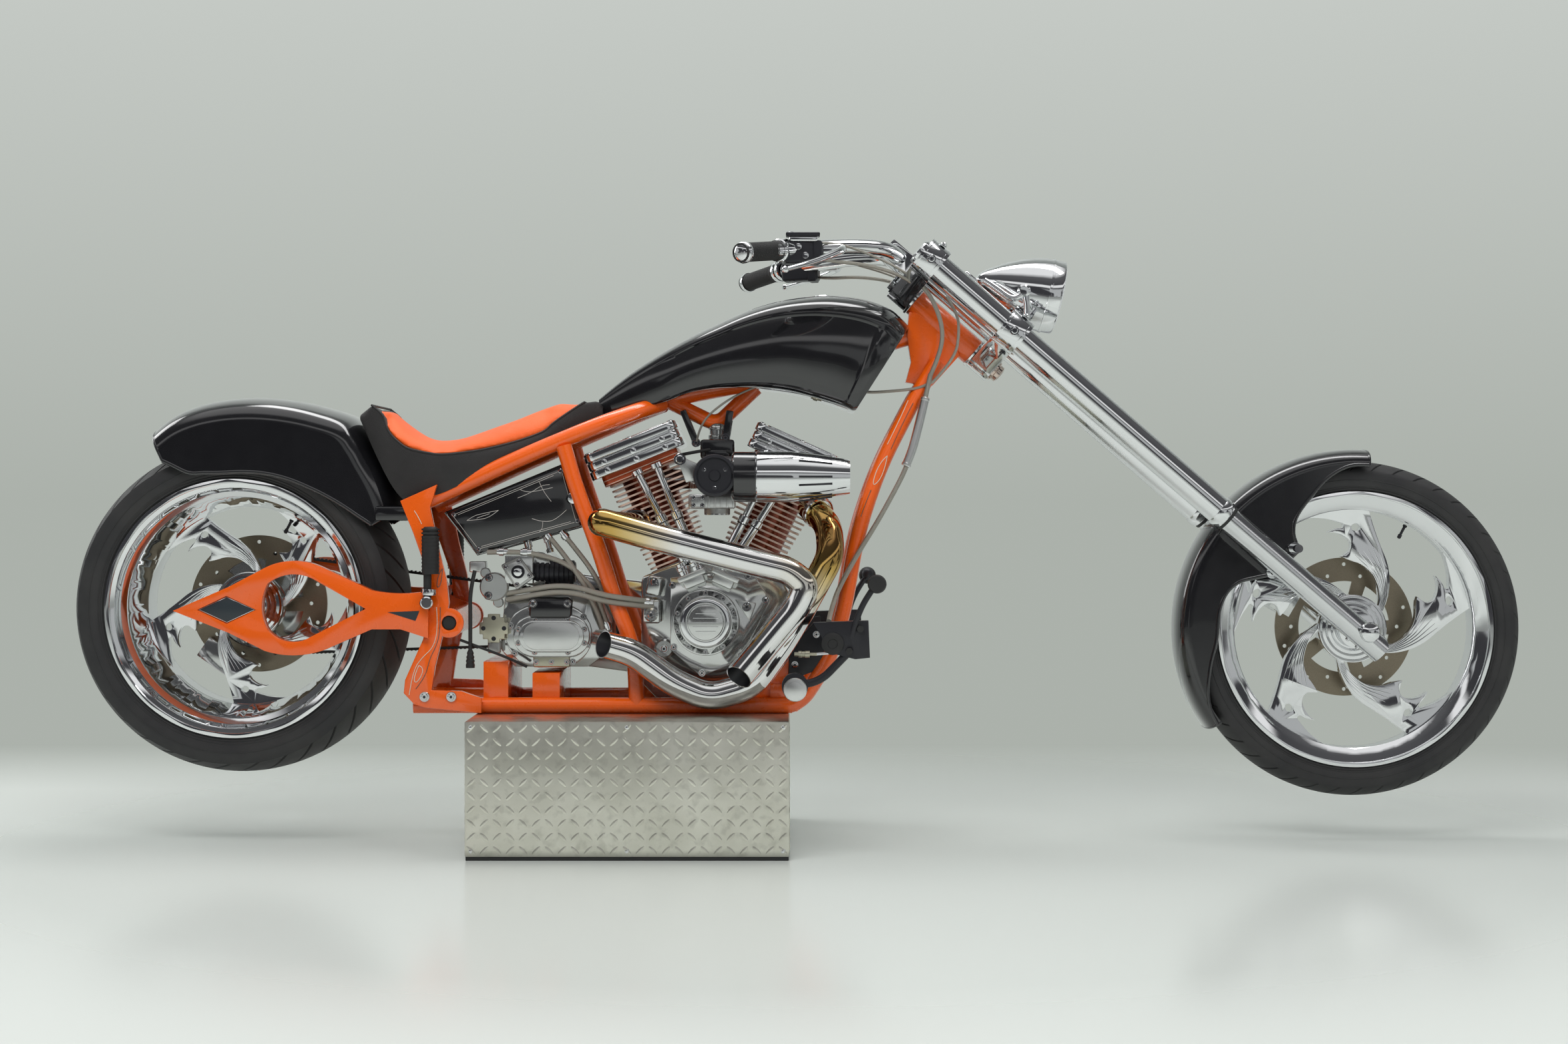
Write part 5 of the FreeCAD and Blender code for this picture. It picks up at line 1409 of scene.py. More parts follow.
@dataclass
class WheelTrim:
    """Ribs, rings, valve and caps on one wheel."""

    node: str
    turn: float
    well: float
    face_y: float
    cap_y: float | None = None
    blades: int = 5
    ribs: int = 6
    rib: float = 0.0016
    cw_edge: Rows = ((0.285, -56), (0.355, -47), (0.452, -36), (0.565, -25), (0.665, -17), (0.74, -12.5))
    ccw_edge: Rows = ((0.3, -42), (0.355, -35), (0.435, -20), (0.51, -8), (0.56, 3.5), (0.6, 8.5))

    def _rib_line(self, centre: Vector, share: float) -> list[Vector]:
        """The line of one rib.

        Args:
            centre: middle of the wheel.
            share: the rib's place between the blade's two edges.

        Returns:
            Points along the rib.
        """
        points = []
        for (near, first), (far, last) in zip(self.cw_edge, self.ccw_edge):
            reach = (near + (far - near) * share) * self.well
            points.append(around((centre.x, self.face_y, centre.z), reach,
                    first + (last - first) * share + self.turn))
        return smooth_line(points, 5)

    def build(self) -> None:
        """All the trim of one wheel."""
        centre = middle_of(self.node)
        body = body_of(self.node)
        ribs = []
        for number in range(self.ribs):
            share = 0.14 + 0.72 * number / (self.ribs - 1)
            line = self._rib_line(centre, share)
            sizes = [self.rib * math.sin(math.pi * (0.12 + 0.8 * k / (len(line) - 1)))
                for k in range(len(line))]
            ribs.append(swept("rib", line, sizes, 8))
        one = joined(self.node + "_ribs", ribs)
        finish_piece(turned_copies(one, centre, self.blades), CHROME, body)
        rings = []
        for radius in (0.026, 0.034, 0.044, 0.055, 0.066):
            bead = [(-0.0015, radius - 0.003), (0.0018, radius - 0.0018), (0.0018, radius + 0.0018),
                (-0.0015, radius + 0.003)]
            spot = Vector((centre.x, self.face_y - 0.009, centre.z))
            rings.append(turned("hub_ring", bead, spot, -ACROSS, 96))
        joined_piece(self.node + "_hub_rings", rings, CHROME, body)
        if self.cap_y is not None:
            cap = [(0.0, 0.0), (0.0, 0.02), (0.004, 0.0205), (0.01, 0.018), (0.014, 0.01), (0.0155, 0.0)]
            made = turned(self.node + "_axle_cap", cap, (centre.x, self.cap_y, centre.z), -ACROSS, 48)
            finish_piece(made, CHROME, "steering")
        spot = around(centre, self.well - 0.004, 62)
        inward = (centre - spot).normalized()
        stem = [(0.0, 0.0), (0.0, 0.0045), (0.004, 0.0045), (0.005, 0.003), (0.022, 0.0028),
            (0.0225, 0.0042), (0.03, 0.004), (0.032, 0.0)]
        finish_piece(turned(self.node + "_valve", stem, spot, inward, 20), SATIN, body)


@dataclass
class Wheels:
    """Both wheels, their tyres and their discs' bolts."""

    def build(self) -> None:
        """Dress both wheels."""
        Tyre("front_tyre", 0.09, 46, 0.284, groove=0.0055, depth=0.0035, sweep=0.1).build()
        Tyre("rear_tyre", 0.23, 34, 0.263, groove=0.0085, depth=0.005, sweep=0.24).build()
        WheelTrim("front_rim", 10, 0.246, -0.011, -0.1615).build()
        WheelTrim("rear_rim", 45, 0.206, 0.034).build()
        for node in ("front_rotor", "rear_rotor"):
            centre = middle_of(node)
            centre.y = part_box(node)[0].y
            spots = [around(centre, 0.046, 72 * number + 30) for number in range(5)]
            screws(node + "_bolts", spots, -ACROSS, body_of(node), 0.006, 0.005)


# ---------------------------------------------------------------- engine
@dataclass
class Cylinder:
    """One finned cylinder with its head and rocker box, built along its own bore."""

    name: str
    lean: float
    crank: Point = (-0.18, 0.0, 0.41)
    deck: float = 0.18
    top: float = 0.396
    barrel: float = 0.052
    half: float = 0.0745
    fins: int = 19
    pitch: float = 0.011
    fin: float = 0.0038
    short: int = 11
    shrink: float = 0.0012
    box_half: float = 0.1015
    box_wide: float = 0.114
    box_height: float = 0.057

    def _place(self) -> Matrix:
        """Local +Z along the bore."""
        return Matrix.Translation(Vector(self.crank)) @ Matrix.Rotation(math.radians(self.lean), 4, "Y")

    def _fin_tree(self) -> Repeat:
        """Rounded square fins with bright machined edges.

        Returns:
            The tree; its points need a vector named size.
        """
        tree = Repeat(self.name + "_fins",
            (Input("Half Width", self.half), Input("Thickness", self.fin), Input("Corner", 0.016)))
        graph = tree.graph
        side = tree.given("Half Width") * 2
        outline = graph.add("GeometryNodeCurvePrimitiveQuadrilateral", None,
            {"Width": side, "Height": side}, "Curve")
        outline = graph.add("GeometryNodeFilletCurve", {"mode": "POLY"},
            {"Curve": outline, "Count": 5, "Radius": tree.given("Corner")})
        sheet = graph.add("GeometryNodeFillCurve", None, {"Curve": outline})
        solid = graph.add("GeometryNodeExtrudeMesh", None,
            {"Mesh": sheet, "Offset Scale": tree.given("Thickness"), "Individual": False})
        edge = solid.socket.node.outputs["Side"]
        back = graph.add("GeometryNodeFlipFaces", None, {"Mesh": sheet})
        red = tree.painted(tree.painted(solid, FIN_RED), FIN_EDGE, Selection=Value(graph, edge))
        whole = tree.merged(red, tree.painted(back, FIN_RED))
        tree.end(tree.copies(whole, Scale=tree.marked("size")))
        return tree

    def barrel_piece(self) -> bpy.types.Object:
        """Barrel and fins.

        Returns:
            Both as one piece, in place.
        """
        spots, sizes = [], []
        for number in range(self.fins):
            level = self.deck + self.fin + number * self.pitch
            cut = max(0, self.short - number) * self.shrink
            spots.append((0, 0, level))
            sizes.append((1 - cut / self.half, 1, 1))
        fins = self._fin_tree().apply(self.name + "_fins", spots, {"size": sizes})
        profile = [(self.deck, 0.0), (self.deck, self.barrel), (self.top, self.barrel), (self.top, 0.0)]
        barrel = turned(self.name + "_barrel", profile, (0, 0, 0), UP, 64)
        barrel.data.materials.append(FIN_RED.material())
        made = joined(self.name + "_cylinder", [fins, barrel])
        made.data.transform(self._place())
        return made

    def head_base(self) -> None:
        """The painted head under the rocker box, with two machined edges."""
        top = self.top
        parts = [self._layer(top - 0.021, top + 0.0005, 0.019, 0.016)]
        edges = [self._layer(top - low, top - low + 0.0022, 0.0185, 0.0165) for low in (0.0195, 0.0105)]
        for name, pieces, finish in (("head", parts, FIN_RED), ("head_edges", edges, FIN_EDGE)):
            made = joined("%s_%s" % (self.name, name), pieces)
            made.data.transform(self._place())
            finish_piece(made, finish)

    def _layer(self, low: float, high: float, inset: float, corner: float) -> bpy.types.Object:
        """One layer of the rocker box, rounded in plan.

        Args:
            low: its foot along the bore.
            high: its top along the bore.
            inset: how far its sides stand in.
            corner: radius of its corners.

        Returns:
            The piece, beside the bore's foot.
        """
        x, y = self.box_half - inset, self.box_wide - inset
        outline = []
        for cx, cy, start in ((x - corner, y - corner, 0), (corner - x, y - corner, 90),
                (corner - x, corner - y, 180), (x - corner, corner - y, 270)):
            for step in range(7):
                angle = math.radians(start + 15 * step)
                outline.append((cx + corner * math.cos(angle), cy + corner * math.sin(angle)))
        count = len(outline)
        vertices = [(a, b, low) for a, b in outline] + [(a, b, high) for a, b in outline]
        faces = [tuple(range(count - 1, -1, -1)), tuple(range(count, 2 * count))]
        faces += [(i, (i + 1) % count, (i + 1) % count + count, i + count) for i in range(count)]
        return add_bevel(mesh_piece("layer", vertices, faces), 0.0022, 3)

    def rocker_box(self) -> None:
        """Three layers of chrome with a ribbed lid and domed screws."""
        top = self.top
        parts = [self._layer(top, top + 0.018, 0.001, 0.018),
            self._layer(top + 0.0195, top + 0.036, 0.0025, 0.018),
            self._layer(top + 0.0375, top + self.box_height - 0.003, 0.001, 0.02),
            self._layer(top + 0.012, top + 0.045, 0.005, 0.018),
            self._layer(top + self.box_height - 0.006, top + self.box_height, 0.022, 0.016)]
        made = joined(self.name + "_rocker_box", parts)
        made.data.transform(self._place())
        finish_piece(made, CHROME, "root", ("rocker_boxes",) if self.lean > 0 else ())
        place = self._place()
        up = place.to_3x3() @ UP
        spots = [place @ Vector((x * (self.box_half - 0.012), y * (self.box_wide - 0.012),
                    top + self.box_height - 0.003))
            for x, y in ((1, 1), (1, -1), (-1, 1), (-1, -1), (0, 1), (0, -1))]
        screws(self.name + "_rocker_screws", spots, up, "root", 0.0058, 0.003)
        spots = [place @ Vector((x * self.box_half * 0.62, -self.box_wide + 0.0005, top + z))
            for x in (-1, 0, 1) for z in (0.009, 0.027)]
        screws(self.name + "_side_screws", spots, -ACROSS, "root", 0.0042, 0.0008, recess=False)

    def build(self) -> None:
        """Head and rocker box; the barrels of both cylinders are joined by the engine."""
        self.head_base()
        self.rocker_box()


@dataclass
class Engine:
    """V-twin with its covers, pushrods, carburettor, air cleaner and exhausts."""

    cam: Point = (-0.19, -0.14, 0.456)
    right: float = -0.14
    rod_y: float = -0.105
    pipe: float = 0.028
    slash: float = 0.6

    def _cylinders(self) -> None:
        """Both cylinders."""
        pair = [Cylinder("rear", -22.0), Cylinder("front", 24.4)]
        for one in pair:
            one.build()
        barrels = joined("finned_cylinders", [one.barrel_piece() for one in pair])
        shade_by_angle(barrels.data)
        finishes = {one.name: one for one in (FIN_RED, FIN_EDGE)}
        order = [finishes[material.name] for material in barrels.data.materials]
        finish_piece(barrels, order, "root", ("cylinders",))

    def _cam_cover(self) -> None:
        """Turned rings, a bare domed centre, screws and lifter blocks."""
        x, y, z = self.cam
        profile = [(0.000, 0.0), (0.0, 0.067), (0.016, 0.066), (0.018, 0.064), (0.018, 0.054),
            (0.015, 0.0525), (0.015, 0.051), (0.022, 0.0495), (0.0235, 0.047), (0.0235, 0.04),
            (0.0205, 0.0385), (0.0205, 0.037), (0.0225, 0.0355), (0.0235, 0.03), (0.0238, 0.015),
            (0.0238, 0.0)]
        made = turned("cam_cover_rings", profile, (x, y, z), -ACROSS, 96)
        finish_piece(made, CHROME)
        spots = [around((x, y - 0.0178, z), 0.0595, degrees) for degrees in range(18, 378, 36)]
        screws("cam_ring_screws", spots, -ACROSS, "root", 0.0036, 0.003)
        ribs = []
        for number in range(5):
            spot = Vector((x, y - 0.0225, z + (number - 2) * 0.009))
            half = math.sqrt(max(0.0, 0.027 ** 2 - ((number - 2) * 0.009) ** 2))
            ribs.append(swept("rib", [spot - FORWARD * half, spot, spot + FORWARD * half], 0.0018, 8))
        joined_piece("cam_badge_ribs", ribs, CHROME)
        spots = [(-0.258, self.right, 0.53), (-0.105, self.right, 0.548), (-0.07, self.right, 0.5),
            (-0.118, self.right, 0.388), (-0.198, self.right, 0.353), (-0.255, self.right, 0.405)]
        screws("cam_screws", spots, -ACROSS, "root", 0.0052, 0.005)
        spots = [(middle + side * 0.016, self.right + 0.005, level) for middle in (-0.222, -0.152)
            for side in (-1, 1) for level in (0.536, 0.563)]
        screws("lifter_screws", spots, -ACROSS, "root", 0.004, 0.004)
        blocks, feet = [], []
        for middle, level, lean in ((-0.218, 0.55, -22.0), (-0.15, 0.55, 24.4)):
            bore = Vector((math.sin(math.radians(lean)), 0, math.cos(math.radians(lean))))
            base = Vector((middle, -0.146, level))
            blocks.append(boxed("block", base, bore.cross(ACROSS), bore, (0.06, 0.034, 0.012), 0.003))
            blocks.append(boxed("block", base - bore * 0.012, bore.cross(ACROSS), bore,
                    (0.044, 0.028, 0.02), 0.003))
            for shift in (-0.014, 0.014):
                rows = [(0.0, 0.0), (0.0, 0.0115), (0.01, 0.0115), (0.012, 0.013), (0.018, 0.013),
                    (0.02, 0.0105), (0.026, 0.0105), (0.026, 0.0)]
                feet.append(turned("foot", rows,
                        base + bore.cross(ACROSS) * shift + Vector((0, 0.018, 0)) + bore * 0.004, bore, 32))
        joined_piece("lifter_blocks", blocks, LIGHT_ALLOY)
        joined_piece("lifter_feet", feet, CHROME)
        parts = [boxed("manifold", (-0.301, -0.112, 0.476), UP, FORWARD, (0.048, 0.03, 0.036), 0.005),
            boxed("manifold", (-0.296, -0.108, 0.528), (0.2, 0, 1), FORWARD, (0.04, 0.026, 0.03), 0.005),
            turned("boss", [(0.0, 0.0), (0.0, 0.014), (0.008, 0.014), (0.01, 0.011), (0.01, 0.0)],
                (-0.301, -0.1265, 0.47), -ACROSS, 40),
            turned("boss", [(0.0, 0.0), (0.0, 0.02), (0.012, 0.02), (0.016, 0.016), (0.016, 0.0)],
                (-0.276, -0.094, 0.4), -ACROSS, 48)]
        joined_piece("case_bosses", parts, ALLOY)
        screws("case_bolts", [(-0.301, -0.1365, 0.47), (-0.296, -0.1205, 0.536), (-0.276, -0.11, 0.4),
                (-0.308, -0.095, 0.36)], -ACROSS, "root", 0.0065, 0.005)
        outline = [(-0.131, 0.502), (-0.088, 0.494), (-0.101, 0.457)]
        finish_piece(prism("cam_plate", outline, -0.146, 0.01, 0.003), LIGHT_ALLOY)
        screws("cam_plate_bolt", [(-0.1075, -0.1455, 0.4865)], -ACROSS, "root", 0.0068, 0.005)

    def _pushrods(self) -> None:
        """Sleeves, collars and seals on each pushrod tube."""
        rods = ((-0.34, 0.776, -0.232), (-0.3, 0.792, -0.208), (-0.06, 0.77, -0.16), (-0.025, 0.75, -0.14))
        parts, seals = [], []
        for top_x, top_z, low_x in rods:
            foot = Vector((low_x, self.rod_y, 0.57))
            away = Vector((top_x, self.rod_y, top_z)) - foot
            length = away.length
            profile = [(0.001, 0.0), (0.001, 0.013), (0.008, 0.013), (0.01, 0.0095),
                (length * 0.42, 0.0095), (length * 0.43, 0.0115), (length * 0.49, 0.0115),
                (length * 0.5, 0.0075), (length * 0.88, 0.0075), (length * 0.89, 0.0125),
                (length * 0.93, 0.0125), (length * 0.93, 0.0)]
            parts.append(turned("rod", profile, foot, away, 32))
            seal = [(length * 0.415, 0.0), (length * 0.415, 0.0105), (length * 0.43, 0.0105),
                (length * 0.43, 0.0)]
            seals.append(turned("seal", seal, foot, away, 24))
        joined_piece("pushrod_sleeves", parts, CHROME, "root", ("pushrod_tubes",))
        joined_piece("pushrod_seals", seals, RUBBER)

    def _air_cleaner(self) -> None:
        """Ribbed chrome bullet on a black elbow."""
        start = Vector((-0.169, -0.2, 0.748))
        rows = [(0.03, 0.0), (0.03, 0.04), (0.033, 0.046), (0.037, 0.0498), (0.042, 0.0504),
            (0.079, 0.0504), (0.081, 0.049), (0.081, 0.0)]
        finish_piece(turned("air_filter_sleeve", rows, start, FORWARD, 96), BLACK)
        rows = [(0.0805, 0.0), (0.0805, 0.049), (0.083, 0.0508), (0.15, 0.0508), (0.156, 0.05),
            (0.2, 0.045), (0.24, 0.039), (0.262, 0.035), (0.2675, 0.0335), (0.2675, 0.026), (0.262, 0.024),
            (0.255, 0.0)]
        finish_piece(turned("air_filter_bullet", rows, start, FORWARD, 96), CHROME, "root",
            ("air_cleaner",))
        slots = []
        for number in range(18):
            angle = math.tau * number / 18
            if number % 3 == 2:
                continue
            away = Vector((0, math.cos(angle), math.sin(angle)))
            line = [start + FORWARD * x + away * r
                for x, r in ((0.166, 0.0487), (0.2, 0.0446), (0.232, 0.0402))]
            slots.append(swept("slot", line, 0.0022, 8))
        joined_piece("air_filter_slots", slots, SATIN)
        disc = [(0.0, 0.0), (0.0, 0.04), (0.004, 0.0425), (0.082, 0.0425), (0.086, 0.041), (0.088, 0.036),
            (0.084, 0.033), (0.084, 0.012), (0.087, 0.01), (0.0875, 0.0)]
        finish_piece(turned("air_elbow", disc, (-0.1695, -0.16, 0.75), -ACROSS, 72), SATIN)
        spots = [around((-0.1695, -0.244, 0.75), 0.024, degrees) for degrees in (30, 150, 270)]
        screws("air_elbow_screws", spots, -ACROSS, "root", 0.0035, 0.003)
        neck = smooth_line([(-0.169, -0.2, 0.748), (-0.15, -0.202, 0.748), (-0.138, -0.2, 0.748)], 4)
        finish_piece(swept("air_neck", neck, 0.0405, 40), SATIN)

    def _exhausts(self) -> None:
        """Two smooth pipes with flanges and open ends."""
        rear = [(-0.33, -0.06, 0.65), (-0.346, -0.12, 0.648), (-0.388, -0.185, 0.653),
            (-0.397, -0.237, 0.659), (-0.34, -0.238, 0.643), (-0.29, -0.237, 0.629), (-0.11, -0.237, 0.583),
            (-0.022, -0.237, 0.562), (0.012, -0.237, 0.532), (-0.008, -0.237, 0.49),
            (-0.122, -0.237, 0.352)]
        front = [(0.02, -0.06, 0.69), (0.058, -0.12, 0.65), (0.062, -0.16, 0.59), (-0.029, -0.178, 0.424),
            (-0.096, -0.178, 0.33), (-0.182, -0.178, 0.306), (-0.255, -0.178, 0.337),
            (-0.335, -0.178, 0.396), (-0.394, -0.178, 0.413)]
        pipes, bores = [], []
        for points in (rear, front):
            line = rounded_path(points, 0.4)
            end, away = line[-1], (line[-1] - line[-2]).normalized()
            outer = swept("pipe", line, self.pipe, 48, capped=False)
            inner = swept("bore", line[-14:], self.pipe - 0.002, 48, capped=False)
            inner.data.flip_normals()
            lip = [(0, self.pipe - 0.002), (0, self.pipe), (-0.0006, self.pipe - 0.001)]
            rim = turned("lip", lip, end, away, 48)
            for piece in (outer, inner, rim):
                for vertex in piece.data.vertices:
                    if abs((vertex.co - end).dot(away)) < 0.0012:
                        vertex.co += away * ((vertex.co.y - end.y) * self.slash)
            pipes += [outer, rim]
            bores.append(inner)
        joined_piece("exhaust_tubes", pipes, PIPE, "root", ("exhaust_pipes",))
        joined_piece("exhaust_bores", bores, SATIN)
        clamps = []
        for spot, away in (((-0.332, -0.0765, 0.65), (-0.2, -0.97, 0.0)),
                ((0.034, -0.08, 0.68), (0.5, -0.75, -0.45))):
            flange = [(0.0, 0.0285), (0.0, 0.034), (0.01, 0.034), (0.012, 0.032), (0.012, 0.0285)]
            clamps.append(turned("flange", flange, spot, away, 48))
        joined_piece("exhaust_flanges", clamps, CHROME)

    def _carburettor(self) -> None:
        """Float-bowl screws, throat, jets and the fuel tap."""
        bowl = [(0.0, 0.0), (0.0, 0.024), (0.003, 0.0262), (0.03, 0.0262), (0.032, 0.03), (0.04, 0.03),
            (0.043, 0.0265), (0.06, 0.0262), (0.06, 0.0)]
        finish_piece(turned("float_bowl", bowl, (-0.168, -0.115, 0.6715), UP, 48), DULL_ALLOY)
        spots = [(-0.168 + 0.0265 * math.cos(math.radians(a)), -0.115 + 0.0265 * math.sin(math.radians(a)),
                0.7115) for a in (225, 315)]
        screws("float_bowl_screws", spots, UP, "root", 0.003, 0.004)
        blocks = [boxed("body", (-0.178, -0.118, 0.699), FORWARD, UP, (0.094, 0.066, 0.03), 0.005),
            boxed("body", (-0.206, -0.15, 0.6985), FORWARD, UP, (0.03, 0.01, 0.024), 0.003)]
        blocks += [boxed("rib", (-0.184 + 0.0125 * n, -0.1525, 0.699), FORWARD, UP, (0.0042, 0.006, 0.026),
                0.001) for n in range(5)]
        joined_piece("carburettor_body", blocks, LIGHT_ALLOY)
        spots = [(x, -0.1555, z) for x in (-0.215, -0.197) for z in (0.691, 0.706)]
        screws("carburettor_screws", spots, -ACROSS, "root", 0.0032, 0.002)
        drum = [(-0.004, 0.0), (-0.004, 0.019), (-0.001, 0.0165), (0.001, 0.0165), (0.004, 0.019),
            (0.004, 0.0)]
        finish_piece(turned("throttle_drum", drum, (-0.15, -0.138, 0.765), -ACROSS, 40), CHROME)

    def build(self) -> None:
        """All of the engine."""
        self._cylinders()
        self._cam_cover()
        self._pushrods()
        self._air_cleaner()
        self._exhausts()
        self._carburettor()


# ---------------------------------------------------------------- lofted shells
def eased(rows: Rows, steps: int) -> list[list[float]]:
    """Rows between the given rows, on smooth curves through all of their columns.

    Args:
        rows: the given rows.
        steps: steps from one given row to the next.

    Returns:
        All the rows, the given ones among them.
    """
    rows = [list(row) for row in rows]
    made = []
    for number in range(len(rows) - 1):
        before = rows[max(number - 1, 0)]
        first, last = rows[number], rows[number + 1]
        after = rows[min(number + 2, len(rows) - 1)]
        for step in range(steps):
            t = step / steps
            made.append([b + 0.5 * t * (c - a + t * (2 * a - 5 * b + 4 * c - d + t * (3 * (b - c) + d - a)))
                    for a, b, c, d in zip(before, first, last, after)])
    made.append(rows[-1])
    return made


def between(rows: Rows, place: float) -> float:
    """The value at a place in sorted (place, value) rows, on straight runs.

    Args:
        rows: the rows.
        place: the place.

    Returns:
        The value there; beyond the rows, that of the nearest one.
    """
    if place <= rows[0][0]:
        return rows[0][1]
    for (start, first), (end, last) in zip(rows, rows[1:]):
        if place <= end:
            return first + (last - first) * (place - start) / (end - start)
    return rows[-1][1]


def lofted(name: str, rings: Sequence[Sequence[Vector]], degrees: float = CREASE) -> bpy.types.Object:
    """A closed skin over rings that have as many points each.

    Args:
        name: name of the piece.
        rings: the rings in order.
        degrees: least angle that stays a crisp edge.

    Returns:
        The piece.
    """
    count = len(rings[0])
    vertices = [point for ring in rings for point in ring]
    faces = [(r * count + i, r * count + (i + 1) % count, (r + 1) * count + (i + 1) % count,
            (r + 1) * count + i) for r in range(len(rings) - 1) for i in range(count)]
    faces.append(tuple(range(count - 1, -1, -1)))
    faces.append(tuple(range((len(rings) - 1) * count, len(rings) * count)))
    made = mesh_piece(name, vertices, faces)
    shade_by_angle(made.data, degrees)
    return made


def ribbons(name: str, lines: Sequence[Rows], finish: Finish, body: str = "root",
        radius: float = 0.0009) -> bpy.types.Object:
    """Thin painted or sewn lines, each a flat thread along its points."""
    return joined_piece(name, [swept("line", [Vector(p) for p in line], radius, 6) for line in lines],
        finish, body)


# ---------------------------------------------------------------- tank, fenders and oil tank
@dataclass
class Bodywork:
    """Fuel tank, oil tank and both fenders."""

    panel: float = 0.0035
    band: float = 1.9
    wall: float = 0.004
    bead: float = 0.0042
    rear: Point = (-1.1485, 0.0, 0.482)
    front: Point = (1.1435, 0.0, 0.436)

    def _tank_ring(self, row: Sequence[float], recess: float, shrink: float) -> list[Vector]:
        """One slanted cross-section.

        Args:
            row: bottom x, z, top x, z, half widths at foot, waist and shoulder.
            recess: share of the side panel's depth.
            shrink: how far the ring is drawn inwards.

        Returns:
            The ring, up the right side and down the left.
        """
        low, high = Vector((row[0], 0, row[1])), Vector((row[2], 0, row[3]))
        foot, waist, edge = row[4:7]
        up = (high - low).normalized()
        low, high = low + up * shrink, high - up * shrink
        half = [(0.0, foot * 0.5), (0.0, foot - 0.007), (0.012, foot - 0.001)]
        for share in (0.04, 0.055, 0.12, 0.2, 0.3, 0.4, 0.5, 0.6, 0.7, 0.765, 0.785):
            a = (share - 0.45) * (share - 0.78) / (0.45 * 0.78)
            b = share * (share - 0.78) / (0.45 * (0.45 - 0.78))
            c = share * (share - 0.45) / (0.78 * (0.78 - 0.45))
            inner = self.panel * recess if 0.05 < share < 0.78 else 0.0
            half.append((share, a * foot + b * waist + c * edge - inner))
        for step in range(1, 12):
            angle = math.radians(90 * step / 12)
            half.append((0.785 + 0.215 * math.sin(angle), edge * math.cos(angle) ** 0.78))
        ring = [(share, -y) for share, y in half] + [(1.0, 0.0)]
        ring += [(share, y) for share, y in reversed(half)]
        return [low.lerp(high, share) + Vector((0, math.copysign(max(abs(y) - shrink, 0), y), 0))
            for share, y in ring]

    def _tank(self) -> None:
        """Smooth shell with a crisp front face, a set-back side panel and a filler cap."""
        rows = [(0.109, 0.884, 0.224, 1.063, 0.098, 0.106, 0.084),
            (0.104, 0.886, 0.209, 1.08, 0.101, 0.114, 0.092),
            (0.088, 0.893, 0.186, 1.098, 0.104, 0.12, 0.1),
            (0.058, 0.903, 0.14, 1.115, 0.104, 0.123, 0.105),
            (0.02, 0.914, 0.08, 1.1235, 0.104, 0.124, 0.106),
            (-0.025, 0.925, 0.02, 1.122, 0.102, 0.122, 0.104),
            (-0.075, 0.931, -0.045, 1.112, 0.1, 0.118, 0.101),
            (-0.125, 0.932, -0.11, 1.092, 0.093, 0.109, 0.093),
            (-0.175, 0.93, -0.17, 1.065, 0.085, 0.098, 0.084),
            (-0.223, 0.922, -0.223, 1.04, 0.076, 0.086, 0.074),
            (-0.278, 0.903, -0.278, 1.01, 0.062, 0.071, 0.061),
            (-0.334, 0.888, -0.334, 0.975, 0.042, 0.049, 0.042),
            (-0.375, 0.88, -0.375, 0.945, 0.028, 0.033, 0.028),
            (-0.412, 0.878, -0.416, 0.911, 0.016, 0.019, 0.016)]
        steps = 6
        rings = [self._tank_ring(rows[0], 0, 0.012), self._tank_ring(rows[0], 0, 0.003)]
        for number, row in enumerate(eased(rows, steps)):
            place = number / steps
            if place < self.band:
                recess = 0.0
            else:
                recess = between(((self.band, 1.0), (8.5, 1.0), (10.5, 0.0)), place)
            if abs(place - self.band) < 0.5 / steps and place >= self.band:
                rings.append(self._tank_ring(row, 0.0, 0.0))
                row = [item + 0.01 * (other - item)
                    for item, other in zip(row, rows[min(int(place) + 1, len(rows) - 1)])]
            rings.append(self._tank_ring(row, recess, 0.0))
        shift = Vector((0.0035, 0, -0.002))
        rings[0] = [point + shift for point in rings[0]]
        rings[1] = [point + shift * 0.9 for point in rings[1]]
        finish_piece(lofted("tank_shell", rings, degrees=38.0), BLACK, "root", ("fuel_tank",))
        cap = [(-0.03, 0.0), (-0.03, 0.03), (-0.002, 0.03), (0.000, 0.0325), (0.004, 0.0325),
            (0.0045, 0.028), (0.007, 0.026), (0.0072, 0.019), (0.009, 0.017), (0.0095, 0.0)]
        finish_piece(turned("filler_cap", cap, (0.05, 0, 1.1165), UP, 72), CHROME)
        lugs = [swept("lug", [Vector((x, y, 0.9)), Vector((x, y, 0.9105))], 0.008, 20)
            for x, y in ((-0.33, -0.03), (-0.33, 0.03))]
        joined_piece("tank_lugs", lugs, CHROME)

    def _shell(self, name: str, centre: Point, rows: Rows, half: float, drop: float,
            steps: int) -> bpy.types.Object:
        """A fender: a U of sheet that follows rows round an axle, with beaded edges.

        Args:
            name: name of the piece.
            centre: the axle.
            rows: degrees, radius of the crown, radius of the sides' lower edge.
            half: half width.
            drop: depth of the rounded shoulder.
            steps: sections from one row to the next.

        Returns:
            The piece.
        """
        middle = Vector(centre)
        rings, edges = [], ([], [])
        for degrees, crown, edge in eased(rows, steps):
            angle = math.radians(degrees)
            away = Vector((math.cos(angle), 0, math.sin(angle)))

            def at(y: float, radius: float) -> Vector:
                """A point of this section."""
                return middle + away * radius + ACROSS * y

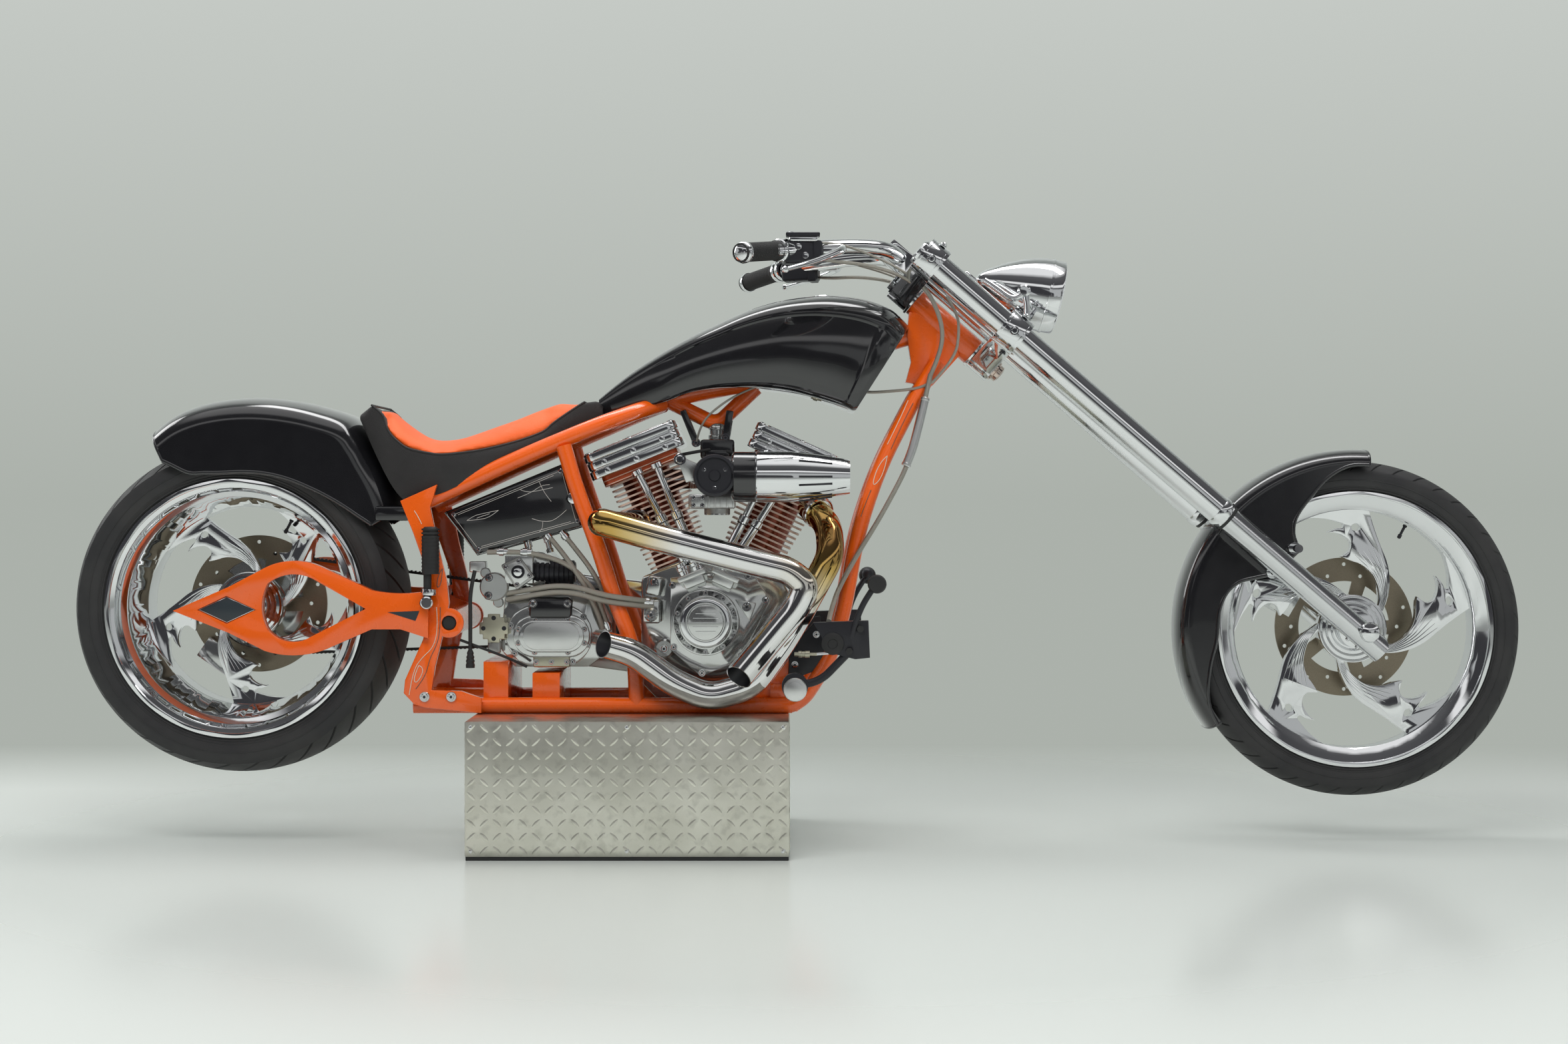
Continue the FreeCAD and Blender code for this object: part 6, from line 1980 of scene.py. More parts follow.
            outer, inner = [], []
            for offset, store in ((0.0, outer), (self.wall, inner)):
                wide, top = half - offset, crown - offset
                side = crown - drop
                for share in (0.0, 0.25, 0.5, 0.75, 0.95):
                    store.append(at(-wide, edge + (side - edge) * share))
                for step in range(21):
                    turn = math.radians(180 - 9 * step)
                    cosine, sine = math.cos(turn), math.sin(turn)
                    y = wide * math.copysign(abs(cosine) ** 0.72, cosine)
                    store.append(at(y, side + (top - side) * abs(sine) ** 0.9))
                for share in (0.95, 0.75, 0.5, 0.25, 0.0):
                    store.append(at(wide, edge + (side - edge) * share))
            rings.append(outer + inner[::-1])
            edges[0].append(at(-half + self.wall / 2, edge))
            edges[1].append(at(half - self.wall / 2, edge))
        shell = lofted(name, rings, degrees=40.0)
        beads = [swept("bead", line, self.bead, 10) for line in edges]
        for ring in (rings[0], rings[-1]):
            beads.append(swept("bead", [(a + b) / 2 for a, b in zip(ring[:31], ring[:30:-1])],
                    self.bead * 0.8, 10))
        return joined(name, [shell] + beads)

    def _fenders(self) -> None:
        """Rear fender with its tabs, and front fender with its spacers and washers."""
        rows = [(115, .402, .33), (108, .416, .29), (101, .423, .28), (94, .427, .276), (85, .432, .278),
            (76, .438, .282), (67, .446, .286), (59, .454, .29), (54, .443, .294), (49, .429, .299),
            (42, .415, .308), (36, .402, .318), (31, .392, .33)]
        shell = self._shell("rear_fender_shell", self.rear, rows, 0.137, 0.052, 6)
        finish_piece(shell, BLACK, "root", ("rear_fender",))
        tabs = [prism("tab", [(-0.856, 0.66), (-0.782, 0.66), (-0.782, 0.69), (-0.856, 0.69)], y, 0.03,
                0.004) for y in (-0.149, 0.119)]
        joined_piece("fender_tabs", tabs, BLACK)
        rows = [(86, .37, .338), (93, .37, .336), (101, .37, .318), (109, .37, .291), (119, .37, .262),
            (124, .37, .236), (126.5, .37, .207), (130, .37, .202), (143, .37, .202), (146.5, .37, .207),
            (153, .37, .236), (158, .37, .262), (164, .37, .279), (172, .37, .287), (184, .37, .291),
            (194, .37, .312), (206, .37, .34), (214, .368, .346)]
        shell = self._shell("front_fender_shell", self.front, rows, 0.066, 0.03, 5)
        finish_piece(shell, BLACK, "steering", ("front_fender",))
        spots, spacers = [], []
        for degrees in (128.0, 146.0):
            x, _, z = around(self.front, 0.212, degrees)
            for side in (-1, 1):
                line = [Vector((x, side * y, z)) for y in (0.064, 0.09, 0.11)]
                spacers.append(swept("spacer", line, 0.0085, 28))
                spots.append((x, side * 0.0668, z))
        joined_piece("fender_spacers", spacers, CHROME, "steering")
        rings = [turned("ring", [(0.0, 0.0), (0.0, 0.0135), (0.003, 0.0125), (0.003, 0.0)], spot,
                ACROSS * math.copysign(1, spot[1]), 28) for spot in spots]
        joined_piece("fender_washers", rings, CHROME, "steering")

    def _oil_tank(self) -> None:
        """Rounded black box with fine lines on its flanks and fittings below."""
        corners = [(-0.722, 0.676), (-0.476, 0.777), (-0.44, 0.65), (-0.656, 0.59)]
        box = prism("oil_tank_box", corners, -0.11, 0.22, 0.0075)
        face = -0.1104
        centre = Vector((sum(x for x, z in corners) / 4, 0, sum(z for x, z in corners) / 4))
        seam = []
        for side in (-1, 1):
            loop = [Vector((x, side * 0.097, z)) for x, z in corners]
            loop = [p + (p - centre).normalized() * 0.0004 for p in loop]
            seam.append(swept("seam", [loop[0], loop[1], loop[2], loop[3], loop[0]], 0.0012, 8))
        joined_piece("oil_tank_shell", [box] + seam, BLACK, "root", ("oil_tank",))

        def inset(a: int, b: int, start: float, end: float, depth: float) -> list[Vector]:
            """A line inside the edge from corner a to corner b.

            Args:
                a: number of the first corner.
                b: number of the last corner.
                start: share of the edge at which the line starts.
                end: share at which it ends.
                depth: its distance from the edge.

            Returns:
                Its start, middle and end.
            """
            first = Vector((corners[a][0], 0, corners[a][1]))
            last = Vector((corners[b][0], 0, corners[b][1]))
            inward = (last - first).cross(ACROSS).normalized()
            if inward.dot(Vector((centre.x, 0, centre.z)) - first) < 0:
                inward = -inward
            return [first.lerp(last, t) + inward * depth for t in (start, (start + end) / 2, end)]

        lines = [inset(0, 1, 0.05, 0.93, 0.011), inset(0, 1, 0.09, 0.88, 0.0145),
            inset(3, 2, 0.03, 0.93, 0.011), inset(3, 2, 0.06, 0.9, 0.0145), inset(1, 2, 0.1, 0.9, 0.012),
            inset(0, 3, 0.1, 0.88, 0.01)]
        curls = [[(-0.573, 0.706), (-0.548, 0.715), (-0.523, 0.733), (-0.508, 0.733)],
            [(-0.568, 0.723), (-0.556, 0.717), (-0.533, 0.72), (-0.502, 0.727)],
            [(-0.53, 0.74), (-0.523, 0.724), (-0.514, 0.71), (-0.505, 0.699)],
            [(-0.544, 0.664), (-0.52, 0.656), (-0.494, 0.662), (-0.474, 0.682)],
            [(-0.522, 0.658), (-0.522, 0.648), (-0.526, 0.64), (-0.53, 0.636)],
            [(-0.47, 0.7), (-0.462, 0.704), (-0.455, 0.706), (-0.45, 0.706)],
            [(-0.676, 0.66), (-0.662, 0.67), (-0.645, 0.674), (-0.612, 0.681)],
            [(-0.612, 0.681), (-0.628, 0.668), (-0.648, 0.662), (-0.676, 0.66)],
            [(-0.656, 0.665), (-0.646, 0.669), (-0.638, 0.671), (-0.63, 0.674)]]
        flat = [[(p.x, face, p.z) for p in line] for line in lines]
        smooth = [smooth_line([(x, face, z) for x, z in curl], 6) for curl in curls]
        near = flat + smooth
        far = [[(p[0], -p[1], p[2]) for p in line] for line in near]
        ribbons("oil_tank_lines", near + far, TANK_LINE, radius=0.00055)
        spots = [(x, -0.1102, z) for x, z in ((-0.703, 0.672), (-0.487, 0.76), (-0.452, 0.659),
                (-0.652, 0.602))]
        screws("oil_tank_screws", spots, -ACROSS, "root", 0.0036, 0.0022)
        tubes = []
        for x, z in ((-0.556, 0.617), (-0.517, 0.628)):
            rows = [(0.0, 0.0), (0.0, 0.0085), (0.012, 0.0085), (0.013, 0.006), (0.026, 0.006),
                (0.027, 0.0078), (0.034, 0.0078), (0.035, 0.0)]
            tubes.append(turned("fitting", rows, (x, -0.082, z), (0.25, 0, -1), 24))
        joined_piece("oil_fittings", tubes, CHROME)
        pins = [turned("pin", [(0.0, 0.0), (0.0, 0.012), (0.005, 0.0115), (0.006, 0.008), (0.006, 0.0)],
                (-0.458, side * 0.13, 0.706), (0, side, 0), 32) for side in (-1, 1)]
        joined_piece("oil_tank_pins", pins, CHROME)

    def build(self) -> None:
        """All painted shells."""
        self._tank()
        self._fenders()
        self._oil_tank()


# ---------------------------------------------------------------- seat
@dataclass
class Seat:
    """Padded saddle on a leather skirt, with piping and stitches."""

    pad_half: float = 0.142
    skirt_half: float = 0.15
    shrink: float = 0.004
    voxel: float = 0.005
    cap: float = 0.006
    pressure: float = 4.0
    frames: int = 20
    piping: float = 0.0024
    plan: Rows = ((-0.905, 0.7), (-0.86, 0.83), (-0.72, 1.0), (-0.6, 0.85), (-0.44, 0.41), (-0.4, 0.27))
    crown: Rows = ((-0.868, 0.895), (-0.852, 0.887), (-0.831, 0.869), (-0.803, 0.848), (-0.776, 0.831),
        (-0.748, 0.823), (-0.72, 0.823), (-0.693, 0.827), (-0.665, 0.836), (-0.624, 0.851), (-0.582, 0.866),
        (-0.541, 0.883), (-0.499, 0.898), (-0.458, 0.91), (-0.44, 0.912))
    seam: Rows = ((-0.868, 0.893), (-0.845, 0.872), (-0.839, 0.851), (-0.825, 0.83), (-0.798, 0.808),
        (-0.771, 0.8), (-0.744, 0.795), (-0.717, 0.793), (-0.663, 0.799), (-0.623, 0.807), (-0.569, 0.822),
        (-0.522, 0.841), (-0.502, 0.859), (-0.461, 0.889), (-0.44, 0.903))
    floor: Rows = ((-0.894, 0.868), (-0.812, 0.712), (-0.74, 0.708), (-0.56, 0.792), (-0.414, 0.856),
        (-0.405, 0.88))

    def _width(self, x: float, half: float) -> float:
        """Half width of the seat at a place along it."""
        rows = eased(self.plan, 6)
        return half * between(rows, x)

    def _places(self, start: float, end: float, count: int) -> list[float]:
        """Even places along the seat."""
        return [start + (end - start) * number / (count - 1) for number in range(count)]

    def _pad_mesh(self) -> bpy.types.Object:
        """The saddle before it is stuffed, slightly small.

        Returns:
            A closed shell.
        """
        crown, seam = eased(self.crown, 4), eased(self.seam, 4)
        rings = []
        for x in self._places(-0.866, -0.442, 60):
            half = self._width(x, self.pad_half) - self.shrink
            low, high = between(seam, x), between(crown, x) - self.shrink
            rise = max(high - low, 0.004)
            ring = []
            for step in range(25):
                share = -1 + step / 12
                lift = max(0.0, 1 - abs(share) ** 2.4) ** 0.62
                ring.append(Vector((x, share * half, low + rise * lift)))
            for step in range(23, 0, -1):
                share = -1 + step / 12
                ring.append(Vector((x, share * half, low - 0.007 * (1 - share ** 4))))
            rings.append(ring)
        return lofted("saddle", rings)

    def _stuff(self, pad: bpy.types.Object) -> bpy.types.Object:
        """Swell the pad as cloth under pressure and keep the result.

        Args:
            pad: the closed shell, which is replaced.

        Returns:
            The swollen pad.
        """
        remesh = pad.modifiers.new("remesh", "REMESH")
        remesh.mode = "VOXEL"
        remesh.voxel_size = self.voxel
        pad = baked(pad)
        start = [vertex.co.copy() for vertex in pad.data.vertices]
        cloth = pad.modifiers.new("cloth", "CLOTH")
        cloth.settings.use_pressure = True
        cloth.settings.uniform_pressure_force = self.pressure
        cloth.settings.effector_weights.gravity = 0.0
        cloth.settings.quality = 5
        cloth.point_cache.frame_start = 1
        cloth.point_cache.frame_end = self.frames
        scene = bpy.context.scene
        for moment in range(1, self.frames + 1):
            scene.frame_set(moment)
        pad = baked(pad)
        scene.frame_set(1)
        for vertex, before in zip(pad.data.vertices, start):
            moved = vertex.co - before
            if moved.length > self.cap:
                vertex.co = before + moved.normalized() * self.cap
        smooth = pad.modifiers.new("smooth", "CORRECTIVE_SMOOTH")
        smooth.factor = 0.5
        smooth.iterations = 8
        smooth.use_only_smooth = True
        finer = pad.modifiers.new("finer", "SUBSURF")
        finer.levels = finer.render_levels = 1
        pad = baked(pad)
        shade_by_angle(pad.data, 80.0)
        return pad

    def _seam_line(self, half: float, lift: float, out: float) -> list[Vector]:
        """Points round the edge of the pad.

        Args:
            half: half width of the seat where it is widest.
            lift: height over the seam.
            out: distance out from it.

        Returns:
            The points, the first one again at the end.
        """
        seam = eased(self.seam, 4)
        right = [Vector((x, -self._width(x, half) - out, between(seam, x) + lift))
            for x in self._places(-0.868, -0.442, 90)]
        return right + [Vector((p.x, -p.y, p.z)) for p in reversed(right)] + [right[0]]

    def _skirt(self) -> bpy.types.Object:
        """Leather sides from the pad's edge down to the frame.

        Returns:
            The piece.
        """
        seam, floor = eased(self.seam, 4), eased(self.floor, 6)
        rings = []
        for x in self._places(-0.892, -0.406, 70):
            half = self._width(x, self.pad_half) + 0.001
            wide = self._width(x, self.skirt_half)
            top = between(((-0.892, 0.874), (-0.868, 0.892)), x) if x < -0.868 else between(seam,
                x) if x < -0.448 else between(((-0.448, 0.899), (-0.415, 0.904), (-0.406, 0.894)), x)
            low = min(between(floor, x), top - 0.004)
            ring = [Vector((x, y * half, top + 0.001 - 0.004 * (1 - abs(y)) ** 2))
                for y in (-0.97, -0.5, 0, 0.5, 0.97)]
            sides = []
            for share in (0.02, 0.08, 0.2, 0.4, 0.6, 0.8, 0.94, 0.99):
                swell = 0.004 * math.sin(math.pi * share)
                sides.append((half + (wide - half) * share ** 0.7 + swell, top + (low - top) * share))
            ring += [Vector((x, y, z)) for y, z in sides]
            ring += [Vector((x, y, low)) for y in (wide * 0.95, 0, -wide * 0.95)]
            ring += [Vector((x, -y, z)) for y, z in reversed(sides)]
            rings.append(ring)
        return lofted("seat_skirt", rings, degrees=50.0)

    def _stitch_tree(self) -> Repeat:
        """Short threads along a seam.

        Returns:
            The tree; its points need a vector named along.
        """
        tree = Repeat("stitches", (Input("Half Length", 0.0022), Input("Thread", 0.0006)))
        graph = tree.graph
        thread = graph.add("GeometryNodeMeshUVSphere", None, {"Segments": 6, "Rings": 4, "Radius": 1.0},
            "Mesh")
        size = graph.add("ShaderNodeCombineXYZ", None,
            {"X": tree.given("Thread"), "Y": tree.given("Thread"), "Z": tree.given("Half Length")})
        thread = graph.add("GeometryNodeTransform", None, {"Geometry": thread, "Scale": size})
        tree.end(tree.copies(thread, Rotation=tree.aimed("along")), THREAD)
        return tree

    def build(self) -> None:
        """Pad, skirt, piping and stitches."""
        pad = self._stuff(self._pad_mesh())
        pad.name = "seat_cushion"
        finish_piece(pad, LEATHER_ORANGE, "root", ("seat_pad",))
        finish_piece(self._skirt(), LEATHER_BLACK, "root", ("seat_base",))
        cord = swept("seat_piping", self._seam_line(self.pad_half, 0.0005, 0.0), self.piping, 10)
        finish_piece(cord, LEATHER_BLACK)
        line = self._seam_line(self.pad_half, -0.0095, 0.0015)
        spots, along = [], []
        for first, last in zip(line, line[1:]):
            if (last - first).length < 0.02:
                spots.append((first + last) / 2)
                along.append((last - first).normalized())
        stitches = self._stitch_tree().apply("seat_stitches", spots, {"along": along})
        shade_by_angle(stitches.data, 60.0)
        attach(stitches, "root")


# ---------------------------------------------------------------- oriented blocks
def boxed(name: str, centre: Sequence[float], along: Sequence[float], up: Sequence[float],
        size: Sequence[float], bevel: float = 0.003) -> bpy.types.Object:
    """A block with rounded edges that lies along a direction.

    Args:
        name: name of the piece.
        centre: its middle.
        along: direction of its length.
        up: rough direction of its height.
        size: length, width and height.
        bevel: radius of the edges.

    Returns:
        The piece.
    """
    first = Vector(along).normalized()
    side = Vector(up).cross(first).normalized()
    top = first.cross(side)
    length, width, height = (item / 2 for item in size)
    corners = [Vector(centre) + first * (a * length) + side * (b * width) + top * (c * height)
        for a in (-1, 1) for b in (-1, 1) for c in (-1, 1)]
    faces = ((0, 1, 3, 2), (4, 6, 7, 5), (0, 4, 5, 1), (2, 3, 7, 6), (0, 2, 6, 4), (1, 5, 7, 3))
    return add_bevel(mesh_piece(name, corners, faces), bevel, 3)


def both(pieces: Sequence[bpy.types.Object]) -> list[bpy.types.Object]:
    """The given pieces and their copies on the other side."""
    return list(pieces) + [mirrored(piece, piece.name) for piece in pieces]


# ---------------------------------------------------------------- steering
@dataclass
class Steering:
    """Fork, trees, handlebar fittings and headlight."""

    head: Point = (0.2949, 0.0, 1.0643)
    rake: float = 49.13
    legs: float = 0.13
    offset: float = 0.071
    tube: float = 0.0285
    slider: float = 0.0255
    joint: float = -0.67
    lamp_face: Point = (0.5365, 0.0, 1.12)
    lamp_tilt: float = 12.6
    grip_end: Point = (-0.116, -0.332, 1.181)
    bar_knee: Point = (-0.049, -0.232, 1.195)

    def _at(self, x: float, y: float, z: float) -> Vector:
        """A point from its place beside the steering stem.

        Args:
            x: distance forwards, square to the stem.
            y: distance to the left.
            z: distance up the stem.

        Returns:
            The point.
        """
        angle = math.radians(self.rake)
        return Vector(self.head) + Vector((x * math.cos(angle) - z * math.sin(angle), y,
                x * math.sin(angle) + z * math.cos(angle)))

    def _up(self) -> Vector:
        """Direction of the stem."""
        angle = math.radians(self.rake)
        return Vector((-math.sin(angle), 0, math.cos(angle)))

    def _forward(self) -> Vector:
        """Direction square to the stem, forwards."""
        angle = math.radians(self.rake)
        return Vector((math.cos(angle), 0, math.sin(angle)))

    def _fork(self) -> None:
        """Seam rings, dust lips, caps, pinch bolts, stem nut and slim stays."""
        up, ahead = self._up(), self._forward()
        rings, lips, caps = [], [], []
        for side in (-1, 1):
            y = side * self.legs
            rows = [(0.004, self.tube), (0.004, 0.0302), (0.001, 0.0312), (-0.01, 0.0312), (-0.013, 0.0295),
                (-0.018, 0.0285), (-0.019, self.slider - 0.001)]
            rings.append(turned("ring", rows, self._at(self.offset, y, self.joint), up, 64))
            rows = [(0.0, 0.0258), (0.0, 0.0275), (-0.004, 0.0275), (-0.006, 0.0258)]
            lips.append(turned("lip", rows, self._at(self.offset, y, self.joint - 0.02), up, 48))
            rows = [(0.0, 0.0), (0.0, 0.0275), (0.006, 0.0275), (0.009, 0.025), (0.011, 0.018),
                (0.012, 0.0)]
            caps.append(turned("cap", rows, self._at(self.offset, y, 0.1255), up, 64))
        rows = [(0.0, 0.0), (0.0, 0.024), (0.004, 0.024), (0.005, 0.019), (0.011, 0.0185), (0.0125, 0.015),
            (0.013, 0.0)]
        caps.append(turned("cap", rows, self._at(0, 0, 0.126), up, 6))
        joined_piece("fork_rings", rings, CHROME, "steering")
        joined_piece("fork_lips", lips, RUBBER, "steering")
        joined_piece("fork_caps", caps, CHROME, "steering")
        stays = []
        for side in (-1, 1):
            ends = [self._at(0.046, side * 0.062, level) for level in (0.086, -0.02, -0.1)]
            stays.append(swept("stay", ends, 0.0048, 20))
        joined_piece("head_stays", stays, CHROME, "steering")
        cups = [turned("cup", rows, self.head, up, 64)
            for rows in ([(0.0745, 0.02), (0.0745, 0.033), (0.079, 0.033), (0.0798, 0.02)],
                [(-0.0865, 0.02), (-0.0865, 0.033), (-0.0905, 0.033), (-0.0915, 0.02)])]
        joined_piece("head_cups", cups, CHROME, "steering")
        foot = [(-0.142, 0.0), (-0.142, 0.022), (-0.147, 0.0215), (-0.149, 0.018), (-0.157, 0.0175),
            (-0.16, 0.012), (-0.161, 0.0)]
        finish_piece(turned("stem_foot", foot, self.head, up, 48), WARM_CHROME, "steering")
        spots = [self._at(self.offset + 0.0385, side * (self.legs + shift), level) for side in (-1, 1)
            for shift in (-0.016, 0.016) for level in (0.103, -0.117)]
        screws("tree_bolts", spots, ahead, "steering", 0.0055, 0.006)
        spots = [self._at(0.044, side * 0.045, 0.1905) for side in (-1, 1)]
        screws("riser_bolts", spots, up, "steering", 0.0065, 0.006)
        spots = [self._at(self.offset, side * (self.legs + 0.0385), level) for side in (-1, 1)
            for level in (0.103, -0.117)]
        for side in (-1, 1):
            screws("tree_side_bolts", [spot for spot in spots if spot.y * side > 0], (0, side, 0),
                "steering", 0.0065, 0.004)
        grooves = []
        for side in (-1, 1):
            for level in (0.086, 0.12, -0.098, -0.136):
                rows = [(0.0, 0.0385), (0.0, 0.0396), (0.0012, 0.0396), (0.0012, 0.0385)]
                grooves.append(turned("groove", rows, self._at(self.offset, side * self.legs, level), up,
                        72))
        joined_piece("clamp_beads", grooves, CHROME, "steering")

    def _axle(self) -> None:
        """Caps over the front axle's ends and its pinch bolts."""
        low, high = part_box("front_axle")
        caps = []
        middle = middle_of("front_axle")
        for side in (-1, 1):
            rows = [(-0.012, 0.0), (-0.012, 0.0175), (-0.003, 0.018), (-0.001, 0.0165), (0.0, 0.012),
                (-0.001, 0.0)]
            end = Vector((middle.x, high.y if side > 0 else low.y, middle.z))
            caps.append(turned("cap", rows, end, ACROSS * side, 6))
        joined_piece("front_axle_caps", caps, CHROME, "steering")
        spots = [self._at(self.offset - self.slider + 0.001, side * self.legs, level) for side in (-1, 1)
            for level in (-1.06, -1.035)]
        screws("slider_bolts", spots, -self._forward(), "steering", 0.0045, 0.005)

    def _headlight(self) -> None:
        """Chrome bullet with a seam ring, a fluted lens and two arms."""
        tilt = math.radians(self.lamp_tilt)
        axis = Vector((math.cos(tilt), 0, -math.sin(tilt)))
        face = Vector(self.lamp_face)
        rows = [(-0.176, 0.0), (-0.176, 0.007), (-0.172, 0.014), (-0.162, 0.0235), (-0.15, 0.0315),
            (-0.13, 0.044), (-0.11, 0.054), (-0.088, 0.0635), (-0.066, 0.0705), (-0.046, 0.0748),
            (-0.0275, 0.0768), (-0.027, 0.0782), (-0.0225, 0.0782), (-0.022, 0.0766), (-0.003, 0.0766),
            (0.0, 0.075), (0.0005, 0.0725), (-0.004, 0.0715), (-0.012, 0.0712), (-0.012, 0.0)]
        finish_piece(turned("headlight_bowl", rows, face, axis, 128), CHROME, "steering", ("headlight",))
        lens = [(-0.011, 0.0705)]
        for step in range(1, 15):
            radius = 0.0705 * (1 - step / 15)
            dome = 0.0005 + 0.0055 * (1 - (radius / 0.0705) ** 2)
            lens += [(dome - 0.0008, radius + 0.0008), (dome, radius)]
        lens.append((0.0062, 0.0))
        finish_piece(turned("headlight_lens", lens, face, axis, 96), GLASS, "steering")
        flutes = []
        for number in range(-5, 6):
            y = number * 0.0115
            reach = math.sqrt(0.068 ** 2 - y * y)
            up = axis.cross(ACROSS).normalized()
            up = up if up.z > 0 else -up
            line = [face + ACROSS * y + up * (reach * share) + axis
                * (0.001 + 0.0052 * (1 - (y * y + (reach * share) ** 2) / 0.0705 ** 2))
                for share in (-0.95, -0.6, -0.2, 0.2, 0.6, 0.95)]
            flutes.append(swept("flute", line, 0.0011, 8))
        joined_piece("headlight_flutes", flutes, GLASS, "steering")
        arms = []
        for side in (-1, 1):
            y = side * 0.066
            arms.append(hose("arm", [(0.378, y * 0.92, 1.152), (0.4, y, 1.137), (0.432, y * 1.06, 1.112),
                        (0.452, y * 1.08, 1.118), (0.462, y * 1.02, 1.132)], 0.0068))
            rows = [(0.0, 0.0), (0.0, 0.013), (0.006, 0.013), (0.009, 0.009), (0.012, 0.009), (0.013, 0.0)]
            arms.append(turned("knob", rows, (0.458, side * 0.068, 1.13), (0, side, 0), 40))
            arms.append(boxed("clamp", self._at(self.offset + 0.03, side * 0.08, 0.02), ACROSS, self._up(),
                    (0.03, 0.016, 0.03), 0.004))
            arms.append(hose("arm", [self._at(self.offset + 0.028, side * 0.07, -0.1),
                        (0.458, y * 1.02, 1.06), (0.468, y * 1.04, 1.09), (0.46, y * 1.04, 1.128)], 0.0062))
        joined_piece("headlight_arms", arms, CHROME, "steering")
        lead = hose("headlight_lead", [(0.372, 0, 1.15), (0.384, 0, 1.128), (0.408, 0, 1.112)], 0.008,
            detail=6)
        finish_piece(lead, RUBBER, "steering")

    def _grips(self) -> None:
        """Ribbed rubber sleeves with domed chrome ends and inner rings."""
        end, knee = Vector(self.grip_end), Vector(self.bar_knee)
        axis = (end - knee).normalized()
        rows = [(-0.126, 0.016), (-0.126, 0.0205), (-0.122, 0.0212), (-0.119, 0.019)]
        for step in range(26):
            place = -0.116 + step * 0.0044
            rows += [(place, 0.0189), (place + 0.0006, 0.0182), (place + 0.0022, 0.0182),
                (place + 0.0028, 0.0189)]
        rows += [(0.000, 0.0189), (0.002, 0.0185), (0.002, 0.016)]
        sleeve = turned("grip", rows, end, axis, 48)
        joined_piece("grip_sleeves", both([sleeve]), RUBBER, "steering", ("grips",))
        dome = [(-0.014, 0.0), (-0.014, 0.0208), (-0.011, 0.0215), (-0.006, 0.0215), (-0.002, 0.019),
            (0.002, 0.015), (0.0045, 0.009), (0.0055, 0.0)]
        tip = turned("tip", dome, end, axis, 56)
        ring = [(-0.141, 0.016), (-0.141, 0.0225), (-0.138, 0.0235), (-0.132, 0.0235), (-0.1295, 0.0215),
            (-0.128, 0.016)]
        collar = turned("collar", ring, end, axis, 56)
        joined_piece("grip_ends", both([tip, collar]), CHROME, "steering")

    def _hand_controls(self) -> None:
        """Switch blocks, bar lids, clamps and levers in front of the grips."""
        end, knee = Vector(self.grip_end), Vector(self.bar_knee)
        axis = (end - knee).normalized()
        blocks = [boxed("block", (0.004, -0.196, 1.1945), (1.0, 0.16, 0.03), UP, (0.078, 0.046, 0.044),
                0.006), boxed("block", (0.03, -0.192, 1.1945), (1.0, 0.16, 0.03), UP, (0.018, 0.05, 0.047),
                0.003)]
        blocks += [boxed("rib", (-0.026 + step * 0.009, -0.2015 + step * 0.0014, 1.1945), (1.0, 0.16, 0.03),
                UP, (0.003, 0.043, 0.046), 0.001) for step in range(3)]
        blocks.append(boxed("lid", (0.005, -0.208, 1.229), FORWARD, UP, (0.068, 0.038, 0.0075), 0.0025))
        joined_piece("control_blocks", both(blocks), SATIN, "steering", ("hand_controls",))
        pot = boxed("pot", (0.006, -0.206, 1.2205), FORWARD, UP, (0.056, 0.034, 0.012), 0.004)
        parts = [pot]
        ring = [(-0.016, 0.016), (-0.016, 0.0222), (-0.013, 0.0232), (-0.007, 0.0232), (-0.004, 0.0222),
            (-0.004, 0.016)]
        parts.append(turned("clamp", ring, end - axis * 0.14, axis, 48))
        levers = []
        for side, lift in ((-1, 0.0), (1, 0.023)):
            line = smooth_line([(x, side * y, z + lift * share)
                    for x, y, z, share in ((0.082, 0.17, 1.205, 0.0), (0.088, 0.196, 1.203, 0.0),
                        (0.07, 0.226, 1.191, 0.2), (0.036, 0.264, 1.174, 0.5), (0.002, 0.3, 1.16, 0.8),
                        (-0.03, 0.328, 1.149, 1.0))], 6)
            sizes = [0.0088 - 0.0042 * n / (len(line) - 1) for n in range(len(line))]
            levers.append(swept("lever", line, sizes, 16))
            rows = [(-0.008, 0.0), (-0.0065, 0.0045), (0.0, 0.0072), (0.005, 0.0052), (0.0072, 0.0)]
            levers.append(turned("ball", rows, line[-1], Vector(line[-1]) - Vector(line[-3]), 20))
        parts.append(boxed("pivot", (0.062, -0.178, 1.203), (1.0, 0.1, 0.05), UP, (0.044, 0.026, 0.02),
                0.005))
        rows = [(0.0, 0.0), (0.0, 0.0085), (0.003, 0.0088), (0.004, 0.0075), (0.005, 0.0)]
        parts.append(turned("cap", rows, (-0.02, -0.21, 1.231), UP, 32))
        rows = [(0.0, 0.0), (0.0, 0.007), (0.0045, 0.0065), (0.0055, 0.0)]
        for x, z in ((-0.004, 1.204), (0.01, 1.187)):
            parts.append(turned("button", rows, (x, -0.2185 + x * 0.16, z), -ACROSS, 24))
        joined_piece("lever_set", both(parts) + levers, CHROME, "steering")
        hoses = []
        for side in (-1, 1):
            way = [(0.04, side * 0.196, 1.214), (0.072, side * 0.176, 1.2165), (0.12, side * 0.146, 1.2045),
                (0.165, side * 0.118, 1.189), (0.205, side * 0.09, 1.172), (0.228, side * 0.072, 1.158)]
            hoses.append(hose("hose", way, 0.0026, 12))
            way = [(0.04, side * 0.2, 1.182), (0.07, side * 0.182, 1.178), (0.118, side * 0.146, 1.178),
                (0.17, side * 0.11, 1.17), (0.208, side * 0.084, 1.158), (0.23, side * 0.068, 1.146)]
            hoses.append(hose("hose", way, 0.0036, 12))
        joined_piece("bar_hoses", hoses, BRAID, "steering")

